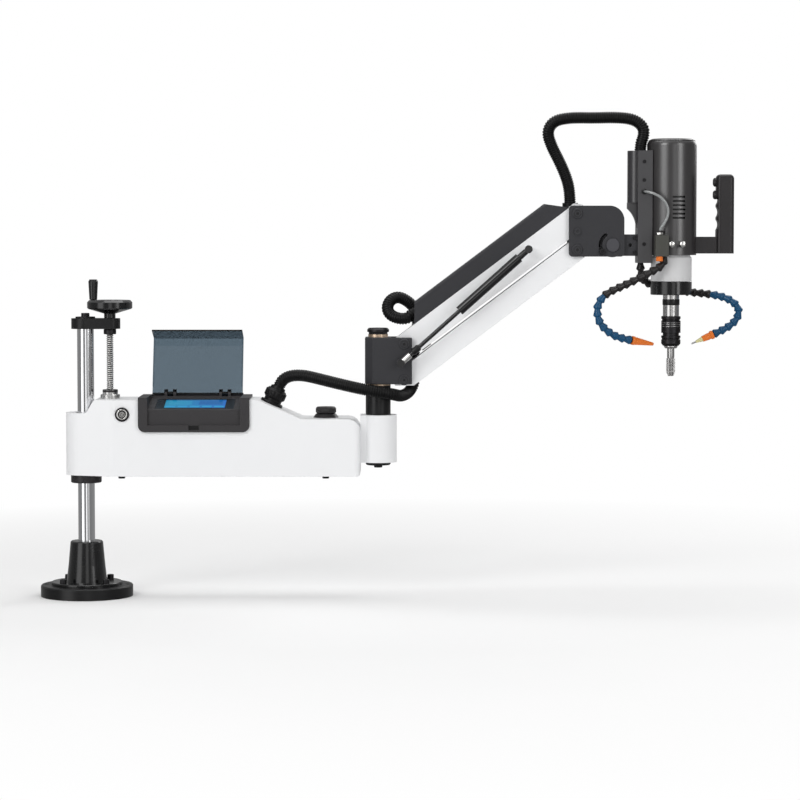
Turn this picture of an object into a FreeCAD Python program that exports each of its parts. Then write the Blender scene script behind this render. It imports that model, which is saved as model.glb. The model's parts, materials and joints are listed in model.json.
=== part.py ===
import FreeCAD, Part
import math
import os
import re
import Sketcher
from FreeCAD import Placement, Rotation, Vector

# Arm tapping machine: a column on a round foot, a lower arm that climbs the column on a lead screw, an
# elbow, a parallelogram of two links with a gas strut, and a tilting tapping head with a servo motor.
# Millimetres, +Z up, +X from the column towards the head, the operator at -Y.
# The origin is the centre of the foot's underside, on the column's axis.

os.makedirs("parts", exist_ok=True)
doc = FreeCAD.newDocument("arm_tapping_machine")
sheet = doc.addObject("Spreadsheet::Sheet", "Sizes")

# ---------------------------------------------------------------- driving dimensions (alias, value, meaning)
SIZES = [
    # fits shared by many pieces
    ("run_fit", 0.05, "radial clearance of a turning or sliding fit"),
    ("seat_fit", 0.05, "radial clearance of a piece that stands still in its seat"),
    ("side_gap", 0.5, "gap beside a piece that turns between two cheeks"),
    ("panel_gap", 0.2, "gap round a plate or module in its opening"),
    # foot and column
    ("foot_d", 177.0, "foot diameter"),
    ("foot_thick", 22.0, "foot thickness"),
    ("bench_pcd", 156.0, "pitch circle of the bench bolt holes"),
    ("bench_hole_d", 9.0, "bench bolt hole"),
    ("boss_d", 136.0, "diameter of the socket's flange"),
    ("boss_thick", 6.0, "thickness of the socket's flange"),
    ("socket_tall", 84.5, "socket height over the foot"),
    ("socket_low_d", 78.0, "socket cone at its flange"),
    ("socket_mid_d", 70.5, "socket cone half way up"),
    ("socket_top_d", 62.5, "socket cone at its top"),
    ("socket_bolt_pcd", 116.0, "pitch circle of the socket bolts"),
    ("socket_bolt_d", 8.0, "socket bolt shank"),
    ("socket_bolt_grip", 15.0, "length of the socket bolt in the foot"),
    ("cap_head_ratio", 1.6, "socket cap head diameter over its shank"),
    ("column_d", 32.0, "column diameter"),
    ("column_low", 10.0, "height of the column's lower end"),
    ("column_shoulder", 515.0, "height of the shoulder that carries the top bracket"),
    ("spigot_d", 20.0, "column spigot through the top bracket"),
    # top bracket and its swivel bolt
    ("screw_x", 47.0, "lead screw axis from the column axis"),
    ("bracket_thick", 20.0, "top bracket thickness"),
    ("bracket_column_r", 27.0, "bracket radius round the column"),
    ("bracket_screw_r", 20.0, "bracket radius round the lead screw"),
    ("cap_washer_d", 38.0, "washer over the spigot"),
    ("cap_washer_thick", 3.0, "washer thickness"),
    ("cap_bolt_d", 10.0, "bolt in the spigot's end"),
    ("cap_bolt_head", 7.0, "bolt head height"),
    ("cap_bolt_grip", 22.0, "bolt length in the column"),
    # lead screw, handwheel, crank
    ("screw_d", 14.0, "lead screw thread diameter"),
    ("journal_d", 12.0, "lead screw journal in its bearings"),
    ("screw_low", 268.0, "height of the lead screw's lower end"),
    ("bearing_od", 26.0, "screw bearing outside diameter"),
    ("bearing_wide", 8.0, "screw bearing width"),
    ("collar_d", 24.0, "retaining collar diameter"),
    ("collar_tall", 10.0, "retaining collar height"),
    ("wheel_d", 86.5, "handwheel diameter"),
    ("wheel_rim_tall", 17.0, "handwheel rim height"),
    ("wheel_lift", 18.0, "rim's underside over the bracket"),
    ("wheel_hub_d", 22.0, "handwheel hub diameter"),
    ("wheel_hub_tall", 24.0, "handwheel hub height"),
    ("wheel_nut_d", 18.0, "nut on the handwheel, across its corners"),
    ("wheel_nut_tall", 7.0, "nut height"),
    ("crank_r", 31.5, "crank handle axis from the wheel's axis"),
    ("crank_axle_d", 8.0, "crank axle diameter"),
    ("crank_head_d", 12.0, "crank axle head"),
    ("crank_sink", 10.0, "depth of the crank axle in the rim"),
    ("crank_low_d", 15.0, "crank handle diameter at its foot"),
    ("crank_top_d", 18.5, "crank handle diameter at its top"),
    ("crank_tall", 39.0, "crank handle length"),
    # lower arm
    ("arm_low", 235.0, "height of the arm's underside"),
    ("arm_tall", 146.0, "arm height at the panel"),
    ("arm_drop", 36.5, "arm end lower than the arm at the panel"),
    ("arm_end_tall", "=arm_tall - arm_drop", "arm height at the elbow end"),
    ("arm_wide", 114.0, "arm width, front to back"),
    ("arm_long", 528.0, "arm end from the column axis"),
    ("arm_wall", 4.0, "arm shell thickness"),
    ("arm_end_wall", 12.0, "arm's end wall at the elbow"),
    ("arm_corner_r", 12.0, "arm corner radius, seen from above"),
    ("arm_top_corner_r", 24.0, "upper corner of the arm's end"),
    ("arm_edge_r", 5.0, "arm edge radius"),
    ("sleeve_d", 76.0, "column sleeve diameter"),
    ("sleeve_tall", 119.5, "column sleeve height"),
    ("shoulder_low_x", 4.0, "foot of the shoulder over the sleeve"),
    ("shoulder_top_x", 20.0, "top of the shoulder over the sleeve"),
    ("shoulder_r", 9.0, "rounding of the shoulder"),
    ("full_width_x", 54.0, "where the arm reaches its full width"),
    ("slope_x", 333.0, "start of the slope on the arm's back"),
    ("slope_share", 0.425641, "the slope's share of the arm behind its start"),
    ("slope_end_x", "=slope_x + (arm_long - slope_x) * slope_share", "end of the slope on the arm's back"),
    ("slope_r", 22.0, "rounding of the slope's ends"),
    ("bush_od", 42.0, "guide bush outside diameter"),
    ("bush_tall", 40.0, "guide bush length"),
    ("guide_collar_d", 58.8, "collar of the lower guide bush"),
    ("guide_collar_tall", 15.8, "height of that collar"),
    ("nut_body_d", 24.0, "feed nut body"),
    ("nut_flange_d", 37.2, "feed nut flange"),
    ("nut_flange_tall", 8.0, "feed nut flange height"),
    ("nut_neck_d", 29.0, "feed nut upper step"),
    ("nut_neck_tall", 9.0, "feed nut upper step height"),
    ("nut_tall", 32.0, "feed nut body length under its flange"),
    ("screw_hole_d", 22.0, "hole for the lead screw in the arm's floor"),
    ("cover_x", 60.0, "bottom cover's column end"),
    ("cover_end_x", "=arm_long - 28", "bottom cover's elbow end"),
    ("cover_wide", 96.0, "bottom cover width"),
    ("cover_screw_x", 72.0, "first pair of cover screws"),
    ("cover_screw_end_x", "=cover_end_x - 38", "last pair of cover screws"),
    ("cover_screw_d", 6.0, "cover screw shank"),
    ("cover_screw_head_d", 13.0, "cover screw head"),
    ("cover_screw_head", 5.0, "cover screw head height"),
    ("cover_post_d", 14.0, "post inside the arm for a cover screw"),
    ("cover_post_tall", 20.0, "post height"),
    # power button
    ("button_x", 75.0, "power button from the column axis"),
    ("button_z", 353.5, "power button height"),
    ("bezel_d", 27.0, "button bezel diameter"),
    ("bezel_thick", 3.5, "button bezel thickness"),
    ("barrel_d", 19.0, "button barrel diameter"),
    ("barrel_long", 22.0, "button barrel length behind the arm's face"),
    ("button_d", 15.0, "button diameter"),
    ("button_long", 18.0, "button length"),
    ("button_nut_d", 25.0, "button's nut"),
    ("button_nut_thick", 4.0, "button's nut thickness"),
    ("switch_long", 16.0, "switch block behind the button"),
    ("switch_side", 17.0, "switch block width"),
    # panel and lid
    ("panel_x", 105.5, "panel frame's near side"),
    ("panel_long", 212.0, "panel frame length"),
    ("panel_drop", 61.0, "panel frame height under the arm's top"),
    ("panel_rise", 5.0, "panel frame over the arm's top"),
    ("panel_proud", 5.0, "panel frame in front of the arm"),
    ("panel_corner_r", 13.0, "panel frame lower corners"),
    ("rail_wide", 17.5, "panel side rail width"),
    ("rail_low", 12.7, "panel lower rail height"),
    ("tub_wall", 4.0, "panel tub wall"),
    ("tub_back_y", 38.0, "back of the tilted screen shelf"),
    ("shelf_back_drop", 0.8, "screen shelf under the arm's top at its back"),
    ("shelf_front_drop", 18.2, "screen shelf under the arm's top at its front"),
    ("tub_floor", 12.0, "panel tub depth under the shelf"),
    ("screen_long", 150.0, "screen module length"),
    ("screen_tall", 78.0, "screen module height along the shelf"),
    ("screen_thick", 6.0, "screen module thickness"),
    ("screen_inset", 8.0, "screen module from the shelf's front edge"),
    ("hinge_y", 50.0, "lid hinge axis behind the column plane"),
    ("hinge_rise", 1.0, "lid hinge axis over the panel frame"),
    ("hinge_spread", 53.0, "half the distance between the lid's hinges"),
    ("knuckle_d", 8.0, "lid knuckle diameter"),
    ("knuckle_wide", 11.0, "lid knuckle width"),
    ("lug_wide", 5.0, "hinge lug width"),
    ("back_rib_rise", 1.5, "rib behind the lid over the hinge axis"),
    ("lid_pin_d", 4.0, "lid hinge pin diameter"),
    ("lid_long", 114.0, "lid length from its hinge"),
    ("lid_front", 50.0, "lid front wall height"),
    ("lid_wall", 3.0, "lid thickness"),
    ("lid_rim", 2.5, "lid side rim height under its skin"),
    ("lid_rim_start", 14.0, "lid side rims' near end from the hinge axis"),
    ("lid_apron", 1.0, "lid skin behind the hinge axis, beside the hinges"),
    ("catch_wide", 20.0, "catch notch in the panel's lower rail"),
    ("catch_tall", 9.0, "catch notch height"),
    ("lid_side_gap", 1.0, "gap between the lid and the side rails"),
    ("lid_open_angle", 110.0, "angle of the open lid"),
    ("board_long", 150.0, "control board length"),
    ("board_tall", 56.0, "control board height"),
    ("board_thick", 14.0, "control board thickness with its components"),
    ("drive_head_room", 11.5, "room under and over the servo drive, up to the regulator"),
    ("drive_tall", "=arm_end_tall - arm_wall - regulator_tall - drive_head_room", "servo drive height"),
    ("drive_wide", 60.0, "servo drive width"),
    ("drive_x", 340.0, "servo drive's near end"),
    ("drive_room", 26.0, "room between the servo drive and the arm's end wall"),
    ("drive_long", "=arm_long - arm_end_wall - drive_room - drive_x", "servo drive length"),
    # conduit gland and regulator knob
    ("gland_share", 0.283133, "conduit gland's place along the slope"),
    ("gland_x", "=slope_x + (slope_end_x - slope_x) * gland_share", "conduit gland on the slope"),
    ("gland_base_d", 44.0, "gland flange"),
    ("gland_base_thick", 5.0, "gland flange thickness"),
    ("gland_neck_d", 34.0, "gland neck"),
    ("gland_neck_tall", 6.0, "gland neck height"),
    ("gland_nut_d", 40.0, "gland nut"),
    ("gland_nut_tall", 19.0, "gland nut height"),
    ("gland_seal_d", 30.0, "gland seal"),
    ("gland_seal_tall", 5.0, "gland seal height"),
    ("conduit_d", 23.0, "cable conduit outside diameter"),
    ("knob_share", 0.407143, "regulator knob's place along the flat behind the slope"),
    ("knob_x", "=slope_end_x + (arm_long - slope_end_x) * knob_share", "regulator knob from the column axis"),
    ("knob_skirt_d", 49.0, "regulator skirt"),
    ("knob_skirt_tall", 7.0, "regulator skirt height"),
    ("knob_d", 38.0, "regulator knob"),
    ("knob_tall", 13.0, "regulator knob height"),
    ("knob_stem_d", 14.0, "regulator stem"),
    ("regulator_d", 30.0, "regulator body inside the arm"),
    ("regulator_tall", 22.0, "regulator body height"),
    # elbow
    ("elbow_reach", 34.0, "elbow axis from the arm's end"),
    ("elbow_x", "=arm_long + elbow_reach", "elbow axis from the column axis"),
    ("elbow_lift", 24.0, "elbow housing underside over the arm's underside"),
    ("elbow_low", "=arm_low + elbow_lift", "elbow housing underside"),
    ("elbow_rise", 5.5, "elbow housing over the arm's end"),
    ("elbow_tall", "=arm_end_tall + elbow_rise - elbow_lift", "elbow housing height"),
    ("elbow_d", 71.5, "elbow housing diameter"),
    ("elbow_bolt_d", 8.0, "bolt that holds the elbow housing"),
    ("elbow_bolt_rise", 17.0, "elbow bolts from the housing's middle"),
    ("elbow_bolt_side", 18.0, "elbow bolts from the arm's middle plane"),
    ("elbow_bolt_grip", 14.0, "elbow bolt length in the housing"),
    ("post_d", 48.0, "elbow post diameter"),
    ("post_tall", 56.0, "elbow post height over its housing"),
    ("post_root_d", 42.0, "elbow post in its housing"),
    ("post_pin_d", 30.0, "elbow post through the block"),
    ("washer_thick", 4.0, "bronze flange thickness"),
    ("block_bush_od", 36.0, "bronze bush in the block"),
    ("block_bush_tall", 40.0, "bronze bush length"),
    ("bush_top_d", 38.0, "upper elbow bush's flange"),
    ("bush_top_tall", 5.5, "upper elbow bush's flange thickness"),
    ("elbow_nut_d", 42.0, "elbow nut's head disc"),
    ("elbow_nut_hex", 36.0, "elbow nut across its corners"),
    ("elbow_nut_hex_tall", 4.0, "height of the nut's hexagon"),
    ("elbow_nut_tall", 12.0, "elbow nut height"),
    ("elbow_cap_d", 48.0, "washer under the elbow"),
    ("elbow_cap_thick", 6.0, "washer thickness"),
    ("elbow_cap_bolt_d", 10.0, "bolt under the elbow"),
    ("elbow_cap_bolt_head", 5.0, "bolt head height"),
    ("elbow_cap_bolt_grip", 30.0, "bolt length in the post"),
    # elbow block
    ("block_tall", 89.0, "elbow block height"),
    ("block_back", 25.0, "elbow block behind the elbow axis"),
    ("block_front", 65.0, "elbow block in front of the elbow axis"),
    ("block_wide", 76.0, "elbow block width"),
    ("block_chamfer", 15.0, "elbow block corner chamfer"),
    ("slot_back", 25.0, "back of the link slot from the elbow axis"),
    ("link_wide", 50.0, "link width"),
    ("pivot_reach", 50.0, "link pivots from the elbow axis"),
    ("pivot_drop", 12.0, "upper pivot under the block's top"),
    ("pivot_space", 69.0, "distance between the two link pivots"),
    ("pivot_pin_d", 12.0, "link pivot pin"),
    ("pivot_head_d", 20.0, "link pivot pin head"),
    ("pivot_head", 3.0, "link pivot pin head thickness"),
    ("eye_bush_od", 18.0, "bush in a link's eye"),
    # links
    ("link_long", 413.0, "pivot to pivot length of a link"),
    ("link_angle", 37.0, "angle of the links over the horizontal"),
    ("upper_above", 18.0, "upper link over its axis"),
    ("upper_below", 30.0, "upper link under its axis"),
    ("lower_half", 20.0, "lower link half height"),
    ("link_wall", 6.0, "link wall"),
    ("link_heel", 11.0, "lower link under its lower pivot, cut level"),
    ("eye_solid", 34.0, "solid length round a link's eye"),
    ("buffer_thick", 2.0, "rubber buffer thickness"),
    ("buffer_long", 20.0, "rubber buffer length"),
    ("buffer_wide", 34.0, "rubber buffer width"),
    ("cover_low_start", 38.0, "cable cover's lower start along the link"),
    ("cover_top_start", 64.0, "cable cover's upper start along the link"),
    ("cover_low_end", "=link_long - 5", "cable cover's lower end along the link"),
    ("cover_top_end", "=link_long - 39", "cable cover's upper end along the link"),
    ("cover_rise", 34.0, "cable cover height over the link"),
    ("cable_cover_wide", 46.0, "cable cover width"),
    ("cable_cover_wall", 3.0, "cable cover wall"),
    # gas strut
    ("strut_plane", 52.0, "strut axis in front of the middle plane"),
    ("strut_foot_x", 6.5, "lower stud behind the upper pivot"),
    ("strut_foot_z", 36.0, "lower stud under the upper pivot"),
    ("strut_top_u", 297.2, "upper stud along the link"),
    ("strut_top_v", 2.2, "upper stud over the link's axis"),
    ("strut_d", 18.5, "strut tube diameter"),
    ("strut_bore_d", 15.5, "strut tube bore"),
    ("strut_tube_long", 152.0, "strut tube length"),
    ("strut_mouth_d", 13.0, "opening in the strut tube's end"),
    ("strut_rod_d", 8.0, "strut rod diameter"),
    ("strut_rod_long", 215.0, "strut rod length from its stud"),
    ("strut_eye_d", 15.0, "strut end fitting"),
    ("strut_eye_long", 24.0, "strut end fitting length"),
    ("stud_d", 8.0, "strut stud shank"),
    ("stud_ball_d", 10.0, "strut stud ball"),
    ("stud_seat_d", 16.0, "strut stud collar"),
    # head carrier
    ("cheek_wide", 105.5, "cheek plate length"),
    ("cheek_tall", 97.0, "cheek plate height"),
    ("cheek_back", 16.0, "cheek plate behind the link pivots"),
    ("cheek_above", 14.9, "cheek plate over the upper link pivot"),
    ("cheek_thick", 8.0, "cheek plate thickness"),
    ("cheek_corner_r", 7.0, "cheek plate small corners"),
    ("cheek_round_r", 28.0, "cheek plate large corner"),
    ("tilt_x", 67.5, "tilt axis in front of the link pivots"),
    ("tilt_drop", 60.3, "tilt axis under the upper link pivot"),
    ("tilt_pin_d", 16.0, "tilt pin"),
    ("tilt_disc_d", 26.0, "tilt pin disc"),
    ("tilt_disc_thick", 3.0, "tilt pin disc thickness"),
    ("arc_r", 23.5, "radius of the arc slot"),
    ("arc_low_angle", 212.0, "lower end of the arc slot"),
    ("arc_span", 87.0, "arc slot's sweep"),
    ("lock_d", 6.0, "lock screw"),
    ("lock_head_d", 12.0, "lock screw head"),
    ("lock_head", 6.0, "lock screw head height"),
    ("cheek_screw_d", 6.0, "screw in a cheek plate between its link pivots"),
    ("cheek_screw_head_d", 13.0, "head of that screw"),
    ("cheek_screw_head", 3.0, "height of that head"),
    ("spacer_d", 16.0, "spacer between the cheeks"),
    ("spacer_x", 42.0, "spacer in front of the link pivots"),
    ("carrier_gland_d", 30.0, "conduit gland on the carrier"),
    ("carrier_gland_tall", 10.0, "conduit gland height"),
    ("carrier_gland_x", 9.0, "conduit gland behind the link pivots"),
    ("carrier_box_tall", 20.0, "height of the gland's box"),
    # head
    ("head_x", 114.7, "spindle axis in front of the tilt axis"),
    ("tilt_block_tall", 41.0, "tilt block height"),
    ("tilt_nose_r", 23.0, "tilt block nose radius"),
    ("tilt_lug_r", 9.0, "lug for the lock screw"),
    ("block_screw_d", 5.0, "screws in the tilt block's front face"),
    ("block_screw_long", 12.0, "length of those screws"),
    ("block_screw_x", 43.5, "those screws in front of the tilt axis"),
    ("block_screw_rise", 14.0, "those screws over and under the tilt axis"),
    ("channel_offset", 67.0, "back of the wiring channel from the spindle axis"),
    ("channel_front", 28.0, "wiring channel depth along X"),
    ("channel_wide", 60.0, "wiring channel width"),
    ("channel_drop", 34.0, "wiring channel under the tilt axis"),
    ("channel_tall", 214.0, "wiring channel height"),
    ("channel_bulge_r", 18.0, "half round back of the wiring channel"),
    ("channel_inlet_x", 6.5, "conduit inlet in front of the channel's back"),
    ("channel_bulge_tall", 99.0, "half round back's height"),
    ("channel_scoop", 48.0, "height of the scoop under the half round"),
    ("channel_wall", 4.0, "wiring channel wall"),
    ("channel_tube_x", 12.0, "air tube's hole in front of the channel's back"),
    ("channel_tube_drop", 78.0, "air tube's hole under the channel's top"),
    ("cover_d", 95.0, "motor cover diameter"),
    ("cover_low", 19.0, "motor cover's underside below the tilt axis"),
    ("cover_tall", 222.0, "motor cover height"),
    ("cover_wall", 3.0, "motor cover wall"),
    ("cover_round_r", 13.0, "motor cover top rounding"),
    ("vent_wide", 25.0, "vent slot width"),
    ("vent_tall", 3.5, "vent slot height"),
    ("vent_pitch", 8.0, "vent slot pitch"),
    ("vent_count", 6, "vent slots"),
    ("vent_low", 50.0, "lowest vent slot over the tilt axis"),
    ("motor_d", 84.0, "servo motor diameter"),
    ("motor_tall", 150.0, "servo motor height"),
    ("rotor_shaft_d", 14.0, "rotor shaft"),
    ("gearbox_d", 78.0, "gearbox diameter"),
    ("gearbox_tall", 50.0, "gearbox height"),
    ("gearbox_flange", 8.0, "gearbox flange thickness"),
    ("gearbox_bore_d", 56.0, "gearbox bore"),
    ("nose_d", 79.0, "nose ring diameter"),
    ("nose_tall", 26.0, "nose ring height"),
    ("nose_bore_d", 38.0, "nose ring bore"),
    ("spindle_bearing_od", 56.0, "spindle bearing outside diameter"),
    ("spindle_bearing_wide", 12.0, "spindle bearing width"),
    ("spindle_d", 31.0, "spindle diameter under the nose"),
    ("spindle_journal_d", 25.0, "spindle journal"),
    ("spindle_reach", 41.0, "spindle under the nose ring"),
    ("chuck_d", 37.0, "chuck diameter"),
    ("chuck_tall", 57.0, "chuck length"),
    ("chuck_socket_d", 20.0, "chuck socket"),
    ("chuck_socket_deep", 34.0, "chuck socket depth"),
    ("sleeve_slide_tall", 20.0, "release sleeve length"),
    ("sleeve_step_d", 31.0, "chuck under the release sleeve"),
    ("sleeve_travel", 5.0, "release sleeve travel"),
    ("adapter_d", 19.8, "tap adapter diameter"),
    ("adapter_flange_d", 26.0, "tap adapter flange"),
    ("adapter_flange", 5.0, "tap adapter flange thickness"),
    ("tap_shank_d", 14.0, "tap shank"),
    ("tap_d", 18.0, "tap thread diameter"),
    ("tap_reach", 53.0, "tap under the adapter"),
    ("tap_thread", 34.0, "tap thread length"),
    ("tap_held", 24.0, "tap length in the adapter"),
    ("flute_r", 3.4, "tap flute radius"),
    # handle
    ("bar_low", 16.0, "handle bar's underside below the tilt axis"),
    ("bar_tall", 32.0, "handle bar height"),
    ("bar_wide", 30.0, "handle bar width"),
    ("grip_x", 85.0, "grip's inner side from the spindle axis"),
    ("grip_thick", 33.5, "grip thickness"),
    ("grip_wide", 34.0, "grip width"),
    ("grip_tall", 119.0, "grip height over the bar"),
    ("grip_edge_r", 8.0, "grip edge radius"),
    ("finger_r", 15.0, "finger groove radius"),
    ("finger_deep", 4.0, "finger groove depth"),
    ("finger_pitch", 24.0, "finger groove pitch"),
    ("trigger_d", 17.0, "trigger button diameter"),
    ("trigger_proud", 6.0, "trigger button out of the grip"),
    ("trigger_long", 14.0, "trigger button length"),
    ("trigger_travel", 3.0, "trigger button travel"),
    ("trigger_top", 15.0, "upper trigger under the grip's top"),
    ("trigger_space", 24.0, "distance between the triggers"),
    # coolant
    ("valve_x", 36.0, "valve block's near side before the spindle axis"),
    ("valve_long", 25.0, "valve block length"),
    ("valve_front", 66.0, "valve block front from the middle plane"),
    ("valve_deep", 32.0, "valve block depth"),
    ("valve_low", 21.0, "valve block under the tilt axis"),
    ("valve_tall", 40.0, "valve block height"),
    ("valve_stem_d", 6.0, "valve knob stem"),
    ("valve_knob_d", 13.0, "valve knob"),
    ("valve_knob_tall", 9.0, "valve knob height"),
    ("fitting_d", 11.0, "push-in fitting"),
    ("fitting_long", 16.0, "push-in fitting length"),
    ("fitting_x", -4.5, "first fitting from the spindle axis"),
    ("fitting_space", 20.5, "distance between the two fittings"),
    ("hose_d", 17.0, "segmented coolant hose"),
    ("nozzle_tip_d", 6.0, "coolant nozzle tip"),
    ("nozzle_bore_d", 3.0, "coolant nozzle bore"),
    ("air_tube_d", 5.0, "air tube"),
    ("channel_screw_d", 7.0, "channel screw head"),
    ("channel_screw_head", 2.0, "channel screw head height"),
    ("clamp_band", 2.5, "thickness of the conduit clamp's band"),
    ("clamp_wide", 14.0, "conduit clamp width"),
    ("clamp_reach", 19.0, "conduit clamp in front of the link pivots"),
    ("clamp_rise", 38.0, "conduit clamp over the block's underside"),
    ("clamp_foot", 13.0, "length of the clamp's foot beside the conduit"),
]
ALIASES = {alias for alias, value, meaning in SIZES}

for row, (alias, value, meaning) in enumerate(SIZES, start=1):
    sheet.set(f"A{row}", meaning)
    sheet.set(f"B{row}", str(value))
    sheet.setAlias(f"B{row}", alias)
doc.recompute()


# ---------------------------------------------------------------- expressions bound to the sheet
def bound(expression):
    """The expression with the sheet's name put before each of its aliases."""
    return re.sub(r"[a-z_][a-z0-9_]*",
                  lambda word: "Sizes." + word[0] if word[0] in ALIASES else word[0], str(expression))


def number(expression):
    """The present value of an expression, for first guesses and for shapes made by Part."""
    return float(sheet.evalExpression(bound(expression)))


def bind(item, prop, expression):
    """Tie one property of a document object to the sheet."""
    item.setExpression(prop, bound(expression))


def put(item, at=("0", "0", "0"), turn=None):
    """Place an object; turn is an axis and an angle in degrees, the angle as an expression."""
    if turn:
        axis, angle = turn
        item.Placement = Placement(Vector(0, 0, 0), Rotation(Vector(*axis), 1.0))
        bind(item, "Placement.Rotation.Angle", angle)
    for letter, expression in zip("xyz", at):
        if str(expression) != "0":
            bind(item, f"Placement.Base.{letter}", expression)
    return item


# ---------------------------------------------------------------- solids
def box(name, x_span, y_span, z_span):
    """A block between pairs of expressions along X, Y and Z."""
    item = doc.addObject("Part::Box", name)
    for prop, (low, high) in zip(("Length", "Width", "Height"), (x_span, y_span, z_span)):
        bind(item, prop, f"({high}) - ({low})")
    return put(item, (x_span[0], y_span[0], z_span[0]))


ALONG = {"x": (Vector(0, 1, 0), 90), "y": (Vector(1, 0, 0), -90), "z": (Vector(0, 0, 1), 0)}


def rod(name, diameter, span, centre, along="z"):
    """A cylinder along one axis between two expressions, its centre line at the other two coordinates."""
    item = doc.addObject("Part::Cylinder", name)
    bind(item, "Radius", f"({diameter}) / 2")
    bind(item, "Height", f"({span[1]}) - ({span[0]})")
    item.Placement = Placement(Vector(0, 0, 0), Rotation(*ALONG[along]))
    spot = list(centre)
    spot.insert("xyz".index(along), span[0])
    for letter, expression in zip("xyz", spot):
        if str(expression) != "0":
            bind(item, f"Placement.Base.{letter}", expression)
    return item


def fuse(name, *pieces):
    item = doc.addObject("Part::MultiFuse", name)
    item.Shapes = list(pieces)
    item.Refine = True
    return item


def cut(name, base, *tools):
    tool = tools[0]
    if len(tools) > 1:
        tool = doc.addObject("Part::MultiFuse", name + "_tools")
        tool.Shapes = list(tools)
    item = doc.addObject("Part::Cut", name)
    item.Base = base
    item.Tool = tool
    item.Refine = True
    return item


def common(name, base, tool):
    item = doc.addObject("Part::Common", name)
    item.Base = base
    item.Tool = tool
    item.Refine = True
    return item


def group(name, *pieces):
    """Several separate solids in one sub-part."""
    item = doc.addObject("Part::Compound", name)
    item.Links = list(pieces)
    return item


def sketch_on(body, role, points, name):
    """A closed outline whose corners are tied to expressions, on one of the body's own planes."""
    sketch = body.newObject("Sketcher::SketchObject", name)
    plane = [item for item in body.Origin.OriginFeatures if item.Role == role][0]
    sketch.AttachmentSupport = (plane, [""])
    sketch.MapMode = "FlatFace"
    corners = [Vector(number(u), number(v), 0) for u, v in points]
    count = len(corners)
    for index in range(count):
        sketch.addGeometry(Part.LineSegment(corners[index], corners[(index + 1) % count]), False)
    for index in range(count):
        sketch.addConstraint(Sketcher.Constraint("Coincident", index, 2, (index + 1) % count, 1))
    for index, (u, v) in enumerate(points):
        corner = corners[index]
        for kind, expression, start in (("DistanceX", u, corner.x), ("DistanceY", v, corner.y)):
            place = sketch.addConstraint(Sketcher.Constraint(kind, -1, 1, index, 1, start))
            sketch.setExpression(f"Constraints[{place}]", bound(expression))
    return sketch


def round_edges(body, name, radius, wanted, kind="PartDesign::Fillet"):
    """Round or bevel the edges of the body's tip that the test wanted(edge) picks."""
    doc.recompute()
    base = body.Tip
    names = [f"Edge{place}" for place, edge in enumerate(base.Shape.Edges, start=1) if wanted(edge)]
    item = body.newObject(kind, name)
    item.Base = (base, names)
    bind(item, "Radius" if kind == "PartDesign::Fillet" else "Size", radius)
    return item


def turned(name, profile):
    """A piece turned about its own Z axis from an outline of radius and height."""
    body = doc.addObject("PartDesign::Body", name)
    sketch = sketch_on(body, "XZ_Plane", profile, name + "_outline")
    item = body.newObject("PartDesign::Revolution", name + "_turning")
    item.Profile = sketch
    item.ReferenceAxis = (sketch, ["V_Axis"])
    item.Angle = 360
    return body


def padded(name, outline, thickness, role="XZ_Plane"):
    """An outline padded to both sides of its plane: XZ_Plane takes (x, z), XY_Plane (x, y)."""
    body = doc.addObject("PartDesign::Body", name)
    sketch = sketch_on(body, role, outline, name + "_outline")
    item = body.newObject("PartDesign::Pad", name + "_pad")
    item.Profile = sketch
    item.SideType = "Symmetric"
    bind(item, "Length", thickness)
    return body


def near(first, second):
    return abs(first - second) < 0.01


def upright(edge, x=None, y=None, z=None):
    """True for a straight edge through the given coordinates."""
    if not isinstance(edge.Curve, (Part.Line, Part.LineSegment)):
        return False
    middle = edge.CenterOfMass
    wanted = ((x, middle.x), (y, middle.y), (z, middle.z))
    return all(value is None or near(value, spot) for value, spot in wanted)


def hull_of_two(name, first_r, second_r, reach, low, thickness):
    """A plate round two circles, the first at the origin and the second at reach along X."""
    cosine = f"(({first_r}) - ({second_r})) / ({reach})"
    sine = f"sqrt(1 - ({cosine}) * ({cosine}))"
    web = padded(name + "_web", [
        (f"({first_r}) * {cosine}", f"({first_r}) * {sine}"),
        (f"({reach}) + ({second_r}) * {cosine}", f"({second_r}) * {sine}"),
        (f"({reach}) + ({second_r}) * {cosine}", f"-({second_r}) * {sine}"),
        (f"({first_r}) * {cosine}", f"-({first_r}) * {sine}"),
    ], thickness, "XY_Plane")
    put(web, ("0", "0", f"({low}) + ({thickness}) / 2"))
    top = f"({low}) + ({thickness})"
    ends = [rod(name + "_end_a", f"2 * ({first_r})", (low, top), ("0", "0")),
            rod(name + "_end_b", f"2 * ({second_r})", (low, top), (reach, "0"))]
    return fuse(name, web, *ends)


def cap_screw(name, shank, grip, head_tall, head_d=None):
    """A socket head screw: its head on z = 0 and up, its shank below, a hexagon socket in the head."""
    head = head_d or f"cap_head_ratio * ({shank})"
    solid = turned(name + "_turned", [
        ("0", f"-({grip})"), (f"({shank}) / 2", f"-({grip})"), (f"({shank}) / 2", "0"),
        (f"({head}) / 2", "0"), (f"({head}) / 2", f"0.9 * ({head_tall})"),
        (f"0.45 * ({head})", head_tall), ("0", head_tall)])
    socket = doc.addObject("Part::Prism", name + "_socket")
    socket.Polygon = 6
    bind(socket, "Circumradius", f"0.29 * ({head})")
    bind(socket, "Height", f"0.6 * ({head_tall})")
    put(socket, ("0", "0", f"0.5 * ({head_tall})"))
    return cut(name, solid, socket)


FACING_FRONT = ((1, 0, 0), "90")
FACING_BACK = ((1, 0, 0), "-90")
FACING_DOWN = ((1, 0, 0), "180")

PARTS = {}


def keep(node, item):
    """Take an object as a sub-part: its label is the node's and the file's name."""
    item.Label = node
    PARTS[node] = item
    return item


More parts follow.
